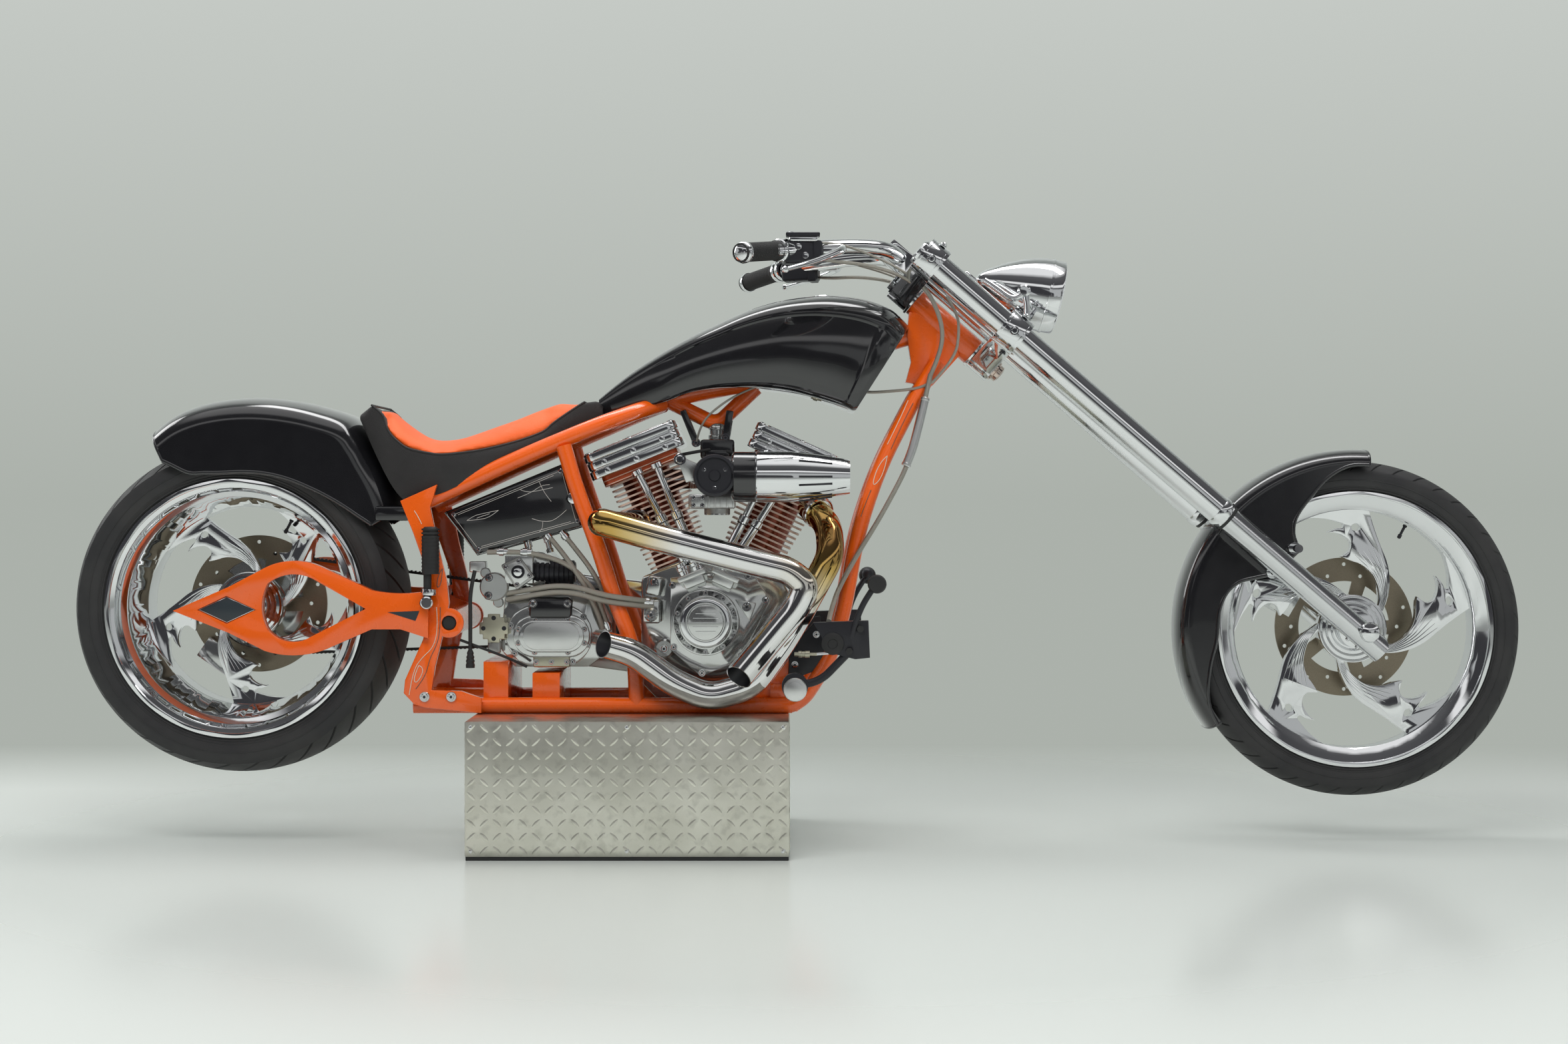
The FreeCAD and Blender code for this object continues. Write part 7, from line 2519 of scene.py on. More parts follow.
    def build(self) -> None:
        """All of the steering."""
        self._fork()
        self._axle()
        self._headlight()
        self._grips()
        self._hand_controls()


# ---------------------------------------------------------------- gearbox, covers and drive
@dataclass
class Drive:
    """Gearbox and its covers on the right, primary drive and belt on the left."""

    side: float = -0.1
    cover: Point = (-0.5035, -0.122, 0.4265)
    bracket: tuple[float, float] = (-0.6205, 0.442)
    round_cover: tuple[float, float] = (-0.6205, 0.526)
    rear_pulley: Point = (-1.1485, 0, 0.482)
    front_pulley: Point = (-0.5, 0, 0.45)
    big: float = 0.1055
    small: float = 0.0525
    straight_teeth: int = 74
    tooth_pitch: float = 0.008

    def _stadium(self, name: str, length: float, height: float, start: float, depth: float,
            centre: tuple[float, float], bevel: float) -> bpy.types.Object:
        """A plate with round ends, seen from the right.

        Args:
            name: name of the piece.
            length: its length from end to end.
            height: its height, and twice the radius of its ends.
            start: where it starts along +Y.
            depth: its depth along +Y.
            centre: its middle (x, z).
            bevel: radius of its edges.

        Returns:
            The piece.
        """
        half, radius = length / 2 - height / 2, height / 2
        outline = []
        for middle, turn in ((half, -90), (-half, 90)):
            for step in range(17):
                angle = math.radians(turn + 180 * step / 16)
                outline.append((centre[0] + middle + radius * math.cos(angle),
                        centre[1] + radius * math.sin(angle)))
        return prism(name, outline, start, depth, bevel)

    def _gearbox(self) -> None:
        """Ringed side cover with a stadium door, a black top and a tab."""
        x, y, z = self.cover
        parts = [self._stadium("ring", 0.176, 0.128, self.side - 0.01, 0.012, (x - 0.006, z), 0.004),
            self._stadium("ring", 0.156, 0.088, y - 0.001, 0.014, (x, z), 0.004),
            self._stadium("door", 0.132, 0.066, y - 0.006, 0.01, (x, z), 0.003)]
        joined_piece("gearbox_cover", parts, ALLOY)
        door = self._stadium("gearbox_door", 0.114, 0.056, y - 0.0072, 0.004, (x, z), 0.0012)
        finish_piece(door, LIGHT_ALLOY)
        spots = [(x + 0.072 * math.cos(math.radians(a)), y - 0.001, z + 0.037 * math.sin(math.radians(a)))
            for a in (22, 62, 118, 158, 202, 242, 298, 338)]
        screws("gearbox_screws", spots, -ACROSS, "root", 0.0042, 0.004)
        spots = [(x - 0.006 + dx, self.side - 0.01, z + dz)
            for dx, dz in ((-0.078, 0.02), (-0.07, -0.036), (-0.036, 0.055), (0.036, 0.056), (0.07, 0.038),
                (0.078, -0.018), (0.048, -0.053), (-0.02, -0.058))]
        screws("gearbox_ring_screws", spots, -ACROSS, "root", 0.0048, 0.0045)
        top = boxed("gearbox_top", (x - 0.002, -0.106, z + 0.056), FORWARD, UP, (0.088, 0.04, 0.046), 0.009)
        finish_piece(top, BLACK)
        spots = [(x - 0.002 + dx, -0.1265, z + 0.066) for dx in (-0.035, 0.035)]
        screws("gearbox_top_screws", spots, -ACROSS, "root", 0.006, 0.004)
        tab = boxed("gearbox_tab", (x, -0.112, 0.3765), FORWARD, UP, (0.074, 0.018, 0.027), 0.003)
        finish_piece(tab, TAN_ALLOY)
        spots = [(x + dx, -0.1212, 0.374) for dx in (-0.031, 0.0, 0.031)]
        screws("tab_screws", spots, -ACROSS, "root", 0.0042, 0.004)
        ribs = [boxed("rib", (-0.4, -0.0955, 0.392 + n * 0.0185), FORWARD, UP, (0.034, 0.006, 0.0045),
                0.0015) for n in range(6)]
        joined_piece("gearbox_ribs", ribs, ALLOY)

    def _starter(self) -> None:
        """Cross bracket, three-screw cover, square boss with its button, and clamp blocks."""
        arm, notch = 0.029, 0.012
        cross = []
        for sx, sz in ((1, 1), (-1, 1), (-1, -1), (1, -1)):
            corner = [(arm, notch), (arm - 0.007, notch), (arm - 0.007, arm - 0.007), (notch, arm - 0.007),
                (notch, arm)]
            if sx * sz < 0:
                corner.reverse()
            cross += [(self.bracket[0] + sx * cx, self.bracket[1] + sz * cz) for cx, cz in corner]
        finish_piece(prism("bracket_plate", cross, -0.1215, 0.012, 0.0015), TAN_ALLOY)
        foot = boxed("bracket_foot", (self.bracket[0], -0.108, self.bracket[1] - 0.038), FORWARD, UP,
            (0.026, 0.014, 0.026), 0.003)
        finish_piece(foot, DULL_ALLOY)
        spots = [(self.bracket[0] + dx, -0.1217, self.bracket[1] + dz)
            for dx, dz in ((0.021, 0), (-0.021, 0), (0, 0.021), (0, -0.021))]
        screws("bracket_screws", spots, -ACROSS, "root", 0.0032, 0.0015, DARK_SOCKETS, False)
        x, z = self.round_cover
        disc = [(0.0, 0.0), (0.0, 0.029), (0.016, 0.029), (0.019, 0.0265), (0.019, 0.0)]
        finish_piece(turned("three_screw_cover", disc, (x, -0.1, z), -ACROSS, 72), LIGHT_ALLOY)
        spots = [around((x, -0.1185, z), 0.021, degrees) for degrees in (118, 238)]
        screws("cover_screws", spots, -ACROSS, "root", 0.0062, 0.006)
        lugs = []
        for degrees in (122, 285):
            lugs.append(turned("lug", [(0.0, 0.0), (0.0, 0.0105), (0.01, 0.0105), (0.012, 0.009),
                        (0.012, 0.0)], around((x, -0.104, z), 0.033, degrees), -ACROSS, 32))
        joined_piece("cover_lugs", lugs, LIGHT_ALLOY)
        corners = ((-0.6065, 0.57), (-0.5735, 0.519), (-0.5365, 0.546), (-0.568, 0.588))
        finish_piece(prism("square_boss", corners, -0.124, 0.028, 0.004), DULL_ALLOY)
        middle = Vector((-0.5705, -0.124, 0.5565))
        inner = [(middle.x + (cx - middle.x) * 0.8, middle.z + (cz - middle.z) * 0.8) for cx, cz in corners]
        finish_piece(prism("boss_face", inner, -0.1262, 0.004, 0.0015), LIGHT_ALLOY)
        rows = [(0.0, 0.0), (0.0, 0.0135), (0.003, 0.0135), (0.004, 0.0115), (0.002, 0.0105), (0.002, 0.0)]
        finish_piece(turned("boss_ring", rows, (middle.x, -0.126, middle.z), -ACROSS, 56), SATIN)
        rows = [(0.0, 0.0), (0.0, 0.0085), (0.006, 0.0085), (0.007, 0.0065), (0.0072, 0.0)]
        finish_piece(turned("boss_button", rows, (middle.x, -0.126, middle.z), -ACROSS, 40), CHROME)
        spots = [(middle.x + (cx - middle.x) * 0.68, -0.1262, middle.z + (cz - middle.z) * 0.68)
            for cx, cz in corners]
        screws("boss_screws", spots, -ACROSS, "root", 0.0034, 0.002)
        block = boxed("relay_blocks", (-0.655, -0.092, 0.566), FORWARD, UP, (0.034, 0.03, 0.022), 0.003)
        finish_piece(block, LIGHT_ALLOY)
        rows = [(0.0, 0.0), (0.0, 0.022), (0.006, 0.024)]
        for step in range(8):
            start = 0.01 + step * 0.01
            rows += [(start, 0.0265), (start + 0.005, 0.0265), (start + 0.006, 0.0245)]
        rows += [(0.094, 0.0245), (0.098, 0.02), (0.098, 0.0)]
        body = turned("starter_body", rows, (-0.556, -0.078, 0.556), (1.0, 0.0, -0.02), 48)
        finish_piece(body, SATIN)

    def _left_side(self) -> None:
        """Derby and clutch covers with screws, and ribs on the primary cover."""
        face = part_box("primary_cover")[1].y
        centres = ((-0.18, 0.41, 0.1), (-0.5, 0.45, 0.098))
        for number, (x, z, radius) in enumerate(centres):
            rows = [(-0.004, 0.0), (-0.004, radius * 0.74), (-0.0035, radius * 0.76),
                (-0.0005, radius * 0.74), (-0.0005, radius * 0.62), (-0.002, radius * 0.6),
                (-0.002, radius * 0.44), (-0.0003, radius * 0.4), (-0.0003, 0.0)]
            finish_piece(turned("primary_disc_%d" % number, rows, (x, face, z), ACROSS, 96), CHROME)
            spots = [around((x, face - 0.0006, z), radius * 0.68, 60 * n) for n in range(6)]
            screws("primary_disc_screws_%d" % number, spots, ACROSS, "root", 0.0045, 0.0006, recess=False)
        spots = []
        for x, z, radius in centres:
            first = -80 if x > -0.3 else 100
            spots += [around((x, face - 0.0005, z), radius * 0.9, first + 20 * n) for n in range(9)]
        screws("primary_screws", spots, ACROSS, "root", 0.0048, 0.0005, recess=False)
        ribs = [boxed("rib", (-0.34, face - 0.0028, 0.43 + dz), (-1.0, 0, 0.125), UP, (0.13, 0.005, 0.005),
                0.0015) for dz in (-0.036, -0.018, 0.0, 0.018, 0.036)]
        joined_piece("primary_ribs", ribs, CHROME)

    def _belt(self) -> None:
        """Cross ribs of the toothed belt along its two straight runs."""
        low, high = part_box("drive_belt")
        rear, front = Vector(self.rear_pulley), Vector(self.front_pulley)
        big, small = self.big, self.small
        away = front - rear
        lean = math.atan2(away.z, away.x)
        open_angle = math.acos((big - small) / away.length)
        teeth = []
        middle_y = (low.y + high.y) / 2
        for sign in (-1, 1):
            angle = lean + sign * open_angle
            normal = Vector((math.cos(angle), 0, math.sin(angle)))
            first, last = rear + normal * big, front + normal * small
            count = self.straight_teeth
            for n in range(count):
                spot = first.lerp(last, (n + 0.5) / count)
                teeth.append((spot.x, middle_y, spot.z, normal))
        for centre, radius, start, sweep in ((rear, big, open_angle, math.tau - 2 * open_angle),
                (front, small, -open_angle, 2 * open_angle)):
            count = int(radius * sweep / self.tooth_pitch)
            for n in range(count):
                angle = lean + start + sweep * (n + 0.5) / count
                normal = Vector((math.cos(angle), 0, math.sin(angle)))
                spot = centre + normal * radius
                teeth.append((spot.x, middle_y, spot.z, normal))
        tree = Repeat("belt_ribs", (Input("Width", high.y - low.y - 0.001),))
        graph = tree.graph
        size = graph.add("ShaderNodeCombineXYZ", None, {"X": 0.0032, "Y": tree.given("Width"), "Z": 0.0026})
        rib = graph.add("GeometryNodeMeshCube", None, {"Size": size}, "Mesh")
        tree.end(tree.copies(rib, Rotation=tree.aimed("out", "Y")), RUBBER)
        spots = [Vector((x, y, z)) + out_way * 0.0048 for x, y, z, out_way in teeth]
        made = tree.apply("belt_ribs", spots, {"out": [row[3] for row in teeth]})
        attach(made, "root")

    def build(self) -> None:
        """All covers."""
        self._gearbox()
        self._starter()
        self._left_side()
        self._belt()


# ---------------------------------------------------------------- small parts on the frame
def surface_tree(obj: bpy.types.Object) -> BVHTree:
    """A lookup of the piece's surface."""
    return BVHTree.FromPolygons([vertex.co for vertex in obj.data.vertices],
        [face.vertices[:] for face in obj.data.polygons])


def laid_on(tree: BVHTree, spots: Iterable[tuple[float, float]], side: int,
        lift: float) -> list[Vector] | None:
    """Points laid on a surface from one side.

    Args:
        tree: the surface.
        spots: their (x, z) places.
        side: the right (-1) or the left (1).
        lift: how far off the surface they stand.

    Returns:
        The points, or None where one misses the surface.
    """
    hits = [tree.ray_cast(Vector((x, side * 2.0, z)), Vector((0, -side, 0)))[0] for x, z in spots]
    if None in hits:
        return None
    return [hit + Vector((0, side * lift, 0)) for hit in hits]


def laid_patch(name: str, tree: BVHTree, corners: Sequence[tuple[float, float]],
        side: int) -> bpy.types.Object | None:
    """A thin three-cornered skin laid on a surface from the right (-1) or the left (1).

    Args:
        name: name of the piece.
        tree: the surface.
        corners: three (x, z) corners.
        side: the side it is laid on from.

    Returns:
        The piece, or None where a point misses the surface.
    """
    steps = 14
    first, second, third = (Vector((x, 0.0, z)) for x, z in corners)
    rows, points, faces = [], [], []
    for row in range(steps + 1):
        rows.append(len(points))
        for column in range(row + 1):
            point = first + (second - first) * (row / steps)
            if row:
                point += (third - second) * (column / steps)
            points.append((point.x, point.z))
    vertices = laid_on(tree, points, side, PATCH_LIFT)
    if vertices is None:
        return None
    for row in range(steps):
        upper, lower = rows[row], rows[row + 1]
        for column in range(row + 1):
            faces.append((upper + column, lower + column, lower + column + 1))
            if column < row:
                faces.append((upper + column, lower + column + 1, upper + column + 1))
    return mesh_piece(name, vertices, faces)


@dataclass
class Controls:
    """Foot controls, pegs and calipers' trim."""

    plate_face: float = -0.252
    peg_end: float = 0.3405

    def build(self) -> None:
        """Domes, peg ends, adjusters and ribs."""
        metal, dark, light, ends = [], [], [], []
        for side in (-1, 1):
            y = side * abs(self.plate_face)
            rows = [(0.0, 0.0), (0.0, 0.022), (0.002, 0.022), (0.004, 0.019), (0.0045, 0.01),
                (0.003, 0.009), (0.003, 0.0)]
            dark.append(turned("dome", rows, (0.0634, y, 0.4185), ACROSS * side, 48))
            rows = [(-0.018, 0.0), (-0.018, 0.004), (-0.01, 0.004), (-0.01, 0.0066), (-0.004, 0.0066),
                (-0.003, 0.0058), (0.002, 0.0058), (0.003, 0.0066), (0.012, 0.0066), (0.012, 0.003),
                (0.026, 0.003), (0.026, 0.0)]
            light.append(turned("adjuster", rows, (0.006, y, 0.398), FORWARD, 32))
            metal.append(swept("rod", [(0.03, y, 0.398), (0.055, y, 0.4), (0.075, y, 0.404)], 0.0028, 12))
            rows = [(0.0, 0.0), (0.0, 0.0215), (0.003, 0.023), (0.006, 0.0215), (0.008, 0.012),
                (0.0085, 0.0)]
            ends.append(turned("peg_end", rows, (-0.011, side * 0.34, 0.335), ACROSS * side, 56))
            for n in range(6):
                start = 0.266 + n * 0.0125
                rows = [(0.0, 0.0158), (0.0, 0.0172), (0.006, 0.0172), (0.006, 0.0158)]
                dark.append(turned("rib", rows, (-0.011, side * start, 0.335), ACROSS * side, 40))
            rows = [(-0.004, 0.0), (-0.004, 0.0165), (0.0, 0.0185), (0.01, 0.0185), (0.014, 0.016),
                (0.0145, 0.0)]
            dark.append(turned("pedal_pad", rows, (0.15, side * 0.27, 0.537), ACROSS * side, 48))
            rows = [(0.0, 0.0), (0.0, 0.0075), (0.005, 0.0075), (0.006, 0.0)]
            dark.append(turned("pin", rows, (0.096, side * 0.254, 0.404), ACROSS * side, 6))
            dark.append(turned("pin", rows, (0.118, y, 0.448), ACROSS * side, 6))
        joined_piece("control_domes", dark, RUBBER)
        joined_piece("control_adjusters", light, TAN_ALLOY)
        joined_piece("control_metal", metal, CHROME)
        joined_piece("peg_ends", ends, LIGHT_ALLOY)
        self._pegs()
        self._calipers()
        made = refined("forward_controls", (SATIN, LIGHT_ALLOY), 0.001)
        for face in made.data.polygons:
            if abs(face.center.y) > self.peg_end:
                face.material_index = 1

    def _pegs(self) -> None:
        """Ribs and washers on the folded passenger pegs."""
        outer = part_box("passenger_pegs")[1].y
        ribs, rings = [], []
        for side in (-1, 1):
            rows = [(0.0, 0.0165), (0.0, 0.0178), (0.0035, 0.0178), (0.0035, 0.0165)]
            y = side * 0.186
            for n in range(12):
                ribs.append(turned("rib", rows, (-0.739, y, 0.56 + n * 0.0074), UP, 40))
            tip = [(0.0, 0.0), (0.0, 0.0152), (0.018, 0.0152), (0.0215, 0.0125), (0.0225, 0.0)]
            ribs.append(turned("tip", tip, (-0.739, y, 0.6265), UP, 40))
            rows = [(0.0, 0.0), (0.0, 0.011), (0.004, 0.0125), (0.01, 0.0125), (0.012, 0.01), (0.012, 0.0)]
            rings.append(turned("pivot", rows, (-0.745, side * (outer - 0.0135), 0.497), ACROSS * side, 40))
            rows = [(0.0, 0.01), (0.0, 0.0148), (0.006, 0.0155), (0.012, 0.0148), (0.012, 0.01)]
            rings.append(turned("cup", rows, (-0.7425, y, 0.512), (0.05, 0, 1.0), 40))
        joined_piece("peg_ribs", ribs, RUBBER)
        joined_piece("peg_pivots", rings, CHROME)

    def _calipers(self) -> None:
        """Bolts on the outer and inner faces of both calipers."""
        for node, body, degrees in (("front_caliper", "steering", 150), ("rear_caliper", "root", 235)):
            low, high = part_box(node)
            middle, angle = middle_of(node), math.radians(degrees)
            along = Vector((-math.sin(angle), 0, math.cos(angle)))
            for label, y, axis in (("_screws", high.y - 0.0008, ACROSS),
                    ("_inner_screws", low.y + 0.0008, -ACROSS)):
                spots = [Vector((middle.x, y, middle.z)) + along * shift for shift in (-0.024, 0.024)]
                screws(node + label, spots, axis, body, 0.0062, 0.0008)


@dataclass
class FrameTrim:
    """Insets, bolts, plugs, painted lines, motor mount and coil."""

    diamond: Point = (-1.1485, 0.171, 0.482)
    half_length: float = 0.0565
    half_height: float = 0.0262

    def _insets(self) -> None:
        """Dark diamonds in the swingarm with a thin pale edge."""
        x, y, z = self.diamond
        for side in (-1, 1):
            label = hand(side)
            start = -y - 0.0045 if side < 0 else y - 0.0005
            for name, grow, lift, finish in (("edge", 1.0, 0.0, CHROME), ("inset", 0.955, 0.0004, INSET_AND_GAP_SHADE)):
                outline = [(x - self.half_length * grow, z), (x, z + self.half_height * grow),
                    (x + self.half_length * grow, z), (x, z - self.half_height * grow)]
                begin = start - lift if side < 0 else start
                piece = prism("diamond_%s_%s" % (name, label), outline, begin, 0.005 + lift, 0.0008)
                finish_piece(piece, finish)

    def _painted_gap_shade(self) -> None:
        """Painted shade: dark patches laid on the solid swingarm where its upper and lower tubes part, in
        place of the shaded gap.
        """
        nodes = [frame["nodes"][name] for name in ("swingarm", "swingarm_tubes")]
        vertices = [vertex.co for node in nodes for vertex in node.data.vertices]
        start = len(nodes[0].data.vertices)
        faces = [tuple(index + shift for index in face.vertices) for node, shift in zip(nodes, (0, start))
            for face in node.data.polygons]
        tree = BVHTree.FromPolygons(vertices, faces)
        for side in (-1, 1):
            label = hand(side)
            # painted shade: a dark skin on the arm's face where the gap between the tubes looks dark
            made = laid_patch("swingarm_hollow_" + label, tree,
                ((-0.826, 0.4775), (-0.77, 0.46), (-0.762, 0.48)), side)
            if made:
                finish_piece(made, INSET_AND_GAP_SHADE)

    def _head_bracket(self) -> None:
        """A three-cornered steady beside the rear head."""
        outline = [(-0.2509, 0.794), (-0.2067, 0.775), (-0.2107, 0.7445), (-0.2297, 0.7365)]
        finish_piece(prism("head_steady", outline, -0.153, 0.006, 0.0015), LIGHT_ALLOY)
        screws("head_steady_bolt", [(-0.242, -0.153, 0.7835)], -ACROSS, "root", 0.0085, 0.006)
        arm = swept("arm", [(-0.23, -0.15, 0.765), (-0.233, -0.11, 0.775), (-0.24, -0.08, 0.79)], 0.006, 16)
        finish_piece(arm, DULL_ALLOY)

    def _elbows(self) -> None:
        """Smooth bends where the lower rails turn up into the down tubes."""
        bends = []
        for y in (-0.13, 0.13):
            line = rounded_path([(-0.045, y, 0.287), (-0.016, y, 0.287), (0.01, y, 0.305),
                    (0.03, y * 0.965, 0.335)], 0.45)
            bends.append(swept("bend", line, 0.0162, 32))
        joined_piece("rail_bends", bends, ORANGE)

    def _brackets(self) -> None:
        """Dark mounting plates of the forward controls and the gussets behind them."""
        plate = [(0.0265, 0.4526), (0.0443, 0.4556), (0.0502, 0.3638), (0.0028, 0.346), (-0.0239, 0.349),
            (-0.0209, 0.4023)]
        gusset = [(-0.0239, 0.3816), (-0.0654, 0.346), (-0.095, 0.3134), (-0.088, 0.296), (-0.0239, 0.296),
            (0.0028, 0.346)]
        plates = [prism("plate", plate, start, 0.005, 0.001) for start in (-0.128, 0.123)]
        gussets = [prism("gusset", gusset, start, 0.004, 0.001) for start in (-0.122, 0.118)]
        joined_piece("control_plates", plates, SATIN)
        joined_piece("rail_gussets", gussets, ORANGE)
        screws("control_plate_bolts", [(-0.0105, -0.128, 0.369), (0.033, -0.128, 0.43)], -ACROSS, "root",
            0.0052, 0.004)

    def _plates(self) -> None:
        """Plate bolts, washers and dust plugs in the pivot bore."""
        bolts = [(-0.7536, 0.307), (-0.7, 0.307)]
        washers, plugs = [], []
        for side in (-1, 1):
            y = side * 0.166
            for x, z in bolts:
                rows = [(0.0, 0.0), (0.0, 0.0098), (0.0016, 0.0092), (0.002, 0.0)]
                washers.append(turned("washer", rows, (x, y, z), ACROSS * side, 40))
            screws("plate_bolts_" + hand(side), [(x, y + side * 0.002, z) for x, z in bolts], ACROSS * side,
                "root", 0.0072, 0.0045)
            rows = [(-0.006, 0.0), (-0.006, 0.0138), (-0.001, 0.0142), (0.0, 0.013), (-0.002, 0.012),
                (-0.002, 0.0)]
            plugs.append(turned("plug", rows, (-0.705, side * 0.1635, 0.455), ACROSS * side, 48))
        joined_piece("plate_washers", washers, CHROME)
        joined_piece("pivot_plugs", plugs, RUBBER)

    def _paint(self) -> None:
        """Pale and dark painted lines on the rear plates and the down tubes."""
        leaf = [(-0.7296, 0.4867), (-0.7267, 0.445), (-0.7356, 0.4063), (-0.7594, 0.3853),
            (-0.7773, 0.3586), (-0.7847, 0.3108)]
        second = [(-0.7221, 0.4867), (-0.7221, 0.442), (-0.7296, 0.4092), (-0.7431, 0.3853),
            (-0.752, 0.3466), (-0.7714, 0.3228)]
        upper = [(-0.7177, 0.5643), (-0.7267, 0.5523), (-0.7296, 0.5225), (-0.7191, 0.5344),
            (-0.7177, 0.5643)]
        bracket = [(-0.7744, 0.6804), (-0.766, 0.668), (-0.7595, 0.6536)]
        eye = [(-0.765, 0.37), (-0.756, 0.366), (-0.76, 0.348), (-0.772, 0.333), (-0.776, 0.346),
            (-0.765, 0.37)]
        tube_leaf = [(0.1783, 0.792), (0.1601, 0.7765), (0.1446, 0.7248), (0.1705, 0.7506), (0.1783, 0.792)]
        tube_line = [(0.222, 0.906), (0.199, 0.8546), (0.1783, 0.8153)]
        tube_low = [(0.1446, 0.722), (0.1317, 0.691), (0.1239, 0.6678)]
        second_tube = [(0.232, 0.9), (0.2075, 0.8546), (0.186, 0.806)]
        groups = (("rear_plates", (leaf, eye, bracket), (second, upper)),
            ("down_tubes", (tube_leaf, tube_line), (second_tube, tube_low)))
        for node, light, dark in groups:
            tree = surface_tree(bpy.data.objects[node + "_skin"])
            for finish, rows in ((LIGHT_LINE, light), (DARK_LINE, dark)):
                lines = []
                for side in (-1, 1):
                    for row in rows:
                        smooth = [(point.x, point.z)
                            for point in smooth_line([(x, 0, z) for x, z in row], 6)]
                        line = laid_on(tree, smooth, side, PAINT_LIFT)
                        if line:
                            lines.append(line)
                if lines:
                    ribbons("%s_%s_lines" % (node, "pale" if finish is LIGHT_LINE else "dark"), lines,
                        finish, "root", 0.0008)

    def _mount(self) -> None:
        """Black struts, coil and clamp between the cylinders and the backbone."""
        struts = []
        for y in (-0.03, 0.03):
            struts += [boxed("strut", (-0.2268, y, 0.8505), (-0.026, 0, 0.064), (1, 0, 0),
                    (0.078, 0.006, 0.013), 0.002),
                boxed("strut", (-0.149, y, 0.8535), (-0.009, 0, -0.0565), (1, 0, 0), (0.066, 0.006, 0.015),
                    0.002)]
        struts.append(boxed("coil", (-0.169, -0.01, 0.806), FORWARD, UP, (0.07, 0.11, 0.04), 0.006))
        struts.append(boxed("coil", (-0.169, -0.048, 0.7965), FORWARD, UP, (0.052, 0.04, 0.016), 0.004))
        joined_piece("motor_mount", struts, BLACK)
        rows = [(0.0, 0.0), (0.0, 0.017), (0.004, 0.0185), (0.01, 0.0185), (0.012, 0.016), (0.02, 0.016),
            (0.022, 0.0185), (0.03, 0.0185), (0.034, 0.016), (0.034, 0.0)]
        finish_piece(turned("mount_clamp", rows, (-0.171, 0.0, 0.826), UP, 48), ALLOY)
        spots = [(-0.214, -0.033, 0.82), (-0.153, -0.033, 0.83)]
        screws("mount_bolts", spots, -ACROSS, "root", 0.0065, 0.006)
        leads = [hose("lead", route, 0.0034, 14)
            for route in ([(-0.184, -0.066, 0.805), (-0.215, -0.08, 0.8), (-0.262, -0.07, 0.79),
                    (-0.3, -0.04, 0.78)], [(-0.15, -0.066, 0.802), (-0.126, -0.072, 0.796),
                    (-0.092, -0.06, 0.77), (-0.07, -0.04, 0.74)])]
        joined_piece("coil_leads", leads, RUBBER)

    def build(self) -> None:
        """All small parts on the frame."""
        refined("rear_plates", ORANGE, 0.004)
        refined("down_tubes", ORANGE)
        self._insets()
        self._elbows()
        self._painted_gap_shade()
        self._head_bracket()
        self._brackets()
        self._plates()
        self._paint()
        self._mount()


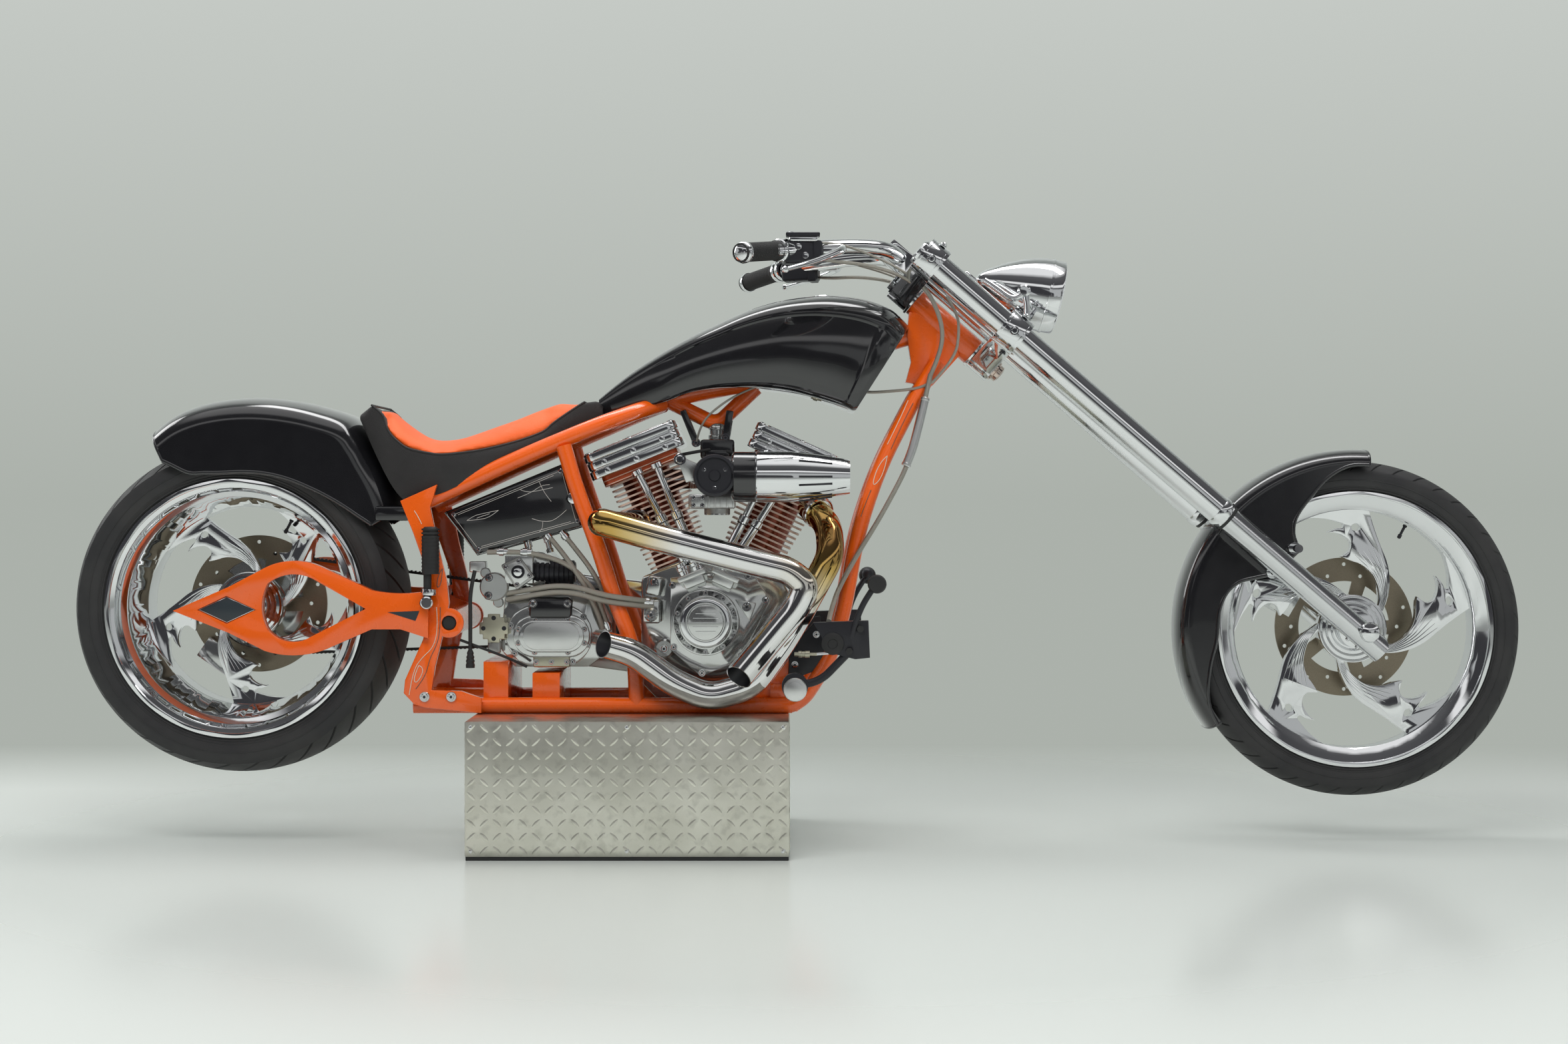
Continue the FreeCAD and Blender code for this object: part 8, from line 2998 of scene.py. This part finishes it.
# ---------------------------------------------------------------- hoses and cables
@dataclass
class Hoses:
    """Oil lines, fuel line, breather hose and the cables from the handlebar."""

    lane: float = -0.119
    line_radius: float = 0.0052

    def _fitting(self, spot: Sequence[float], axis: Sequence[float]) -> bpy.types.Object:
        """A hexagonal union nut with its collar.

        Args:
            spot: its middle.
            axis: its direction.

        Returns:
            The piece.
        """
        rows = [(-0.01, 0.0), (-0.01, 0.0066), (-0.006, 0.0066), (-0.0055, 0.0088), (0.0035, 0.0088),
            (0.004, 0.0066), (0.012, 0.0062), (0.012, 0.0)]
        return turned("nut", rows, spot, axis, 12)

    def _oil_lines(self) -> None:
        """Braided lines from the oil tank to the gearbox and the engine."""
        y = self.lane
        routes = [[(-0.634, y + 0.004, 0.596), (-0.586, y, 0.597), (-0.539, y, 0.594),
                (-0.473, y - 0.002, 0.575), (-0.432, y - 0.004, 0.538), (-0.413, y - 0.002, 0.509),
                (-0.398, y + 0.004, 0.47), (-0.386, y + 0.012, 0.437)],
            [(-0.518, y + 0.02, 0.636), (-0.488, y + 0.006, 0.603), (-0.461, y - 0.004, 0.568),
                (-0.438, y - 0.008, 0.532), (-0.422, y - 0.008, 0.501), (-0.408, y, 0.468),
                (-0.4, y + 0.01, 0.44)], [(-0.484, y + 0.022, 0.636), (-0.45, y + 0.008, 0.596),
                (-0.421, y - 0.002, 0.559), (-0.396, y + 0.006, 0.51), (-0.367, y + 0.016, 0.447)]]
        joined_piece("oil_lines", [hose("line", route, self.line_radius) for route in routes], BRAID)
        pair = []
        for drop in (0.0, 0.0125):
            cross = [(-0.595, y + 0.01, 0.512 - drop), (-0.545, y - 0.002, 0.521 - drop),
                (-0.495, y - 0.008, 0.529 - drop), (-0.448, y - 0.018, 0.526 - drop),
                (-0.402, y - 0.034, 0.512 - drop), (-0.35, y - 0.032, 0.503 - drop * 0.9),
                (-0.297, y - 0.01, 0.496 - drop * 0.8)]
            pair.append(hose("line", cross, 0.0056))
        joined_piece("cross_lines", pair, BRAID)
        dark = []
        down = [(-0.655, -0.148, 0.56), (-0.6645, -0.15, 0.52), (-0.664, -0.15, 0.47),
            (-0.664, -0.15, 0.42), (-0.664, -0.15, 0.385)]
        dark.append(hose("hose", down, 0.004))
        rows = [(0.0, 0.0), (0.0, 0.0088), (0.006, 0.0092), (0.01, 0.0078), (0.014, 0.009), (0.018, 0.0072),
            (0.022, 0.0082), (0.026, 0.0062), (0.03, 0.007), (0.036, 0.0045), (0.036, 0.0)]
        dark.append(turned("boot", rows, (-0.664, -0.15, 0.364), UP, 40))
        joined_piece("rubber_hoses", dark, RUBBER)
        thin = [(-0.685, -0.146, 0.42), (-0.638, -0.146, 0.4025), (-0.583, -0.142, 0.3815),
            (-0.552, -0.132, 0.365)]
        finish_piece(hose("thin_cable", thin, 0.0028, 16), RUBBER)
        nuts = [self._fitting((-0.556, y, 0.596), FORWARD),
            self._fitting((-0.604, y + 0.002, 0.597), FORWARD),
            self._fitting((-0.512, y + 0.017, 0.629), (-0.55, 0, 0.75)),
            self._fitting((-0.478, y + 0.019, 0.629), (-0.6, 0, 0.75)),
            self._fitting((-0.3905, y + 0.009, 0.448), (-0.35, 0, 0.95)),
            self._fitting((-0.309, y - 0.013, 0.496), (1.0, 0.1, -0.12))]
        joined_piece("line_fittings", nuts, CHROME)

    def _fuel_line(self) -> None:
        """Line under the tank with its union."""
        route = [(-0.089, -0.06, 0.934), (-0.04, -0.062, 0.929), (0.013, -0.062, 0.9195),
            (0.04, -0.06, 0.9105), (0.075, -0.058, 0.9), (0.1, -0.052, 0.8905)]
        finish_piece(hose("fuel_line", route, 0.0036), CHROME)
        nut = self._fitting((0.034, -0.06, 0.913), (1, 0, -0.3))
        finish_piece(nut, TAN_ALLOY)
        tail = [(-0.089, -0.06, 0.934), (-0.122, -0.058, 0.921), (-0.158, -0.06, 0.9),
            (-0.192, -0.058, 0.872), (-0.208, -0.054, 0.842), (-0.212, -0.048, 0.822)]
        finish_piece(hose("thin_line", tail, 0.0022, 16), BRAID)

    def _bending(self, name: str, points: Rows, radius: float, steps: int) -> None:
        """A cable from the handlebar towards the frame, baked in place and put on no body.

        Args:
            name: name of the piece.
            points: its control points, from the handlebar to the frame.
            radius: its radius.
            steps: faces round it.
        """
        made = hose(name, points, radius, steps, 12)
        made.data.materials.append(BRAID.material())
        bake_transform(made)

    def _front_cables(self) -> None:
        """Sleeve on the fixed cable, and the cables and leads from the handlebar."""
        fixed = smooth_line([(0.268, -0.059, 0.96), (0.245, -0.08, 0.86), (0.219, -0.093, 0.77),
                (0.165, -0.108, 0.67)], 12)
        cut = [point for point in fixed if 0.77 <= point.z <= 0.912]
        sleeve = swept("sleeve", cut, 0.0092, 28)
        ends = [turned("end", [(-0.004, 0.0), (-0.004, 0.0086), (-0.002, 0.0101), (0.002, 0.0101),
                    (0.004, 0.0086), (0.004, 0.0)], spot, way, 28)
            for spot, way in ((cut[0], cut[0] - cut[1]), (cut[-1], cut[-1] - cut[-2]))]
        joined_piece("cable_sleeve", [sleeve] + ends, LIGHT_ALLOY)
        upper = [(0.228, -0.074, 1.158), (0.252, -0.078, 1.14), (0.277, -0.078, 1.1), (0.293, -0.074, 1.05),
            (0.288, -0.066, 1.003), (0.268, -0.059, 0.958)]
        self._bending("upper_cable", upper, 0.0046, 20)
        second = [(0.3, -0.066, 1.118), (0.322, -0.072, 1.085), (0.326, -0.074, 1.046),
            (0.318, -0.07, 0.991), (0.272, -0.06, 0.943)]
        self._bending("upper_lead", second, 0.003, 16)
        rest = [(0.274, -0.0605, 0.945), (0.252, -0.06, 0.934), (0.231, -0.06, 0.929),
            (0.185, -0.058, 0.9245), (0.137, -0.052, 0.922), (0.118, -0.044, 0.926)]
        finish_piece(hose("lower_lead", rest, 0.003, 16), BRAID)

    def build(self) -> None:
        """All lines."""
        self._oil_lines()
        self._fuel_line()
        self._front_cables()


ASSEMBLIES = (Plinth, Wheels, Engine, Bodywork, Seat, Steering, Drive, Controls, FrameTrim, Hoses)


def main() -> None:
    """Build the stage and every sub-assembly in order."""
    logging.basicConfig(level=logging.INFO, format="%(message)s")
    Stage().build()
    for assembly in ASSEMBLIES:
        assembly().build()
    dress()
    bpy.context.view_layer.update()


if __name__ == "__main__":
    main()
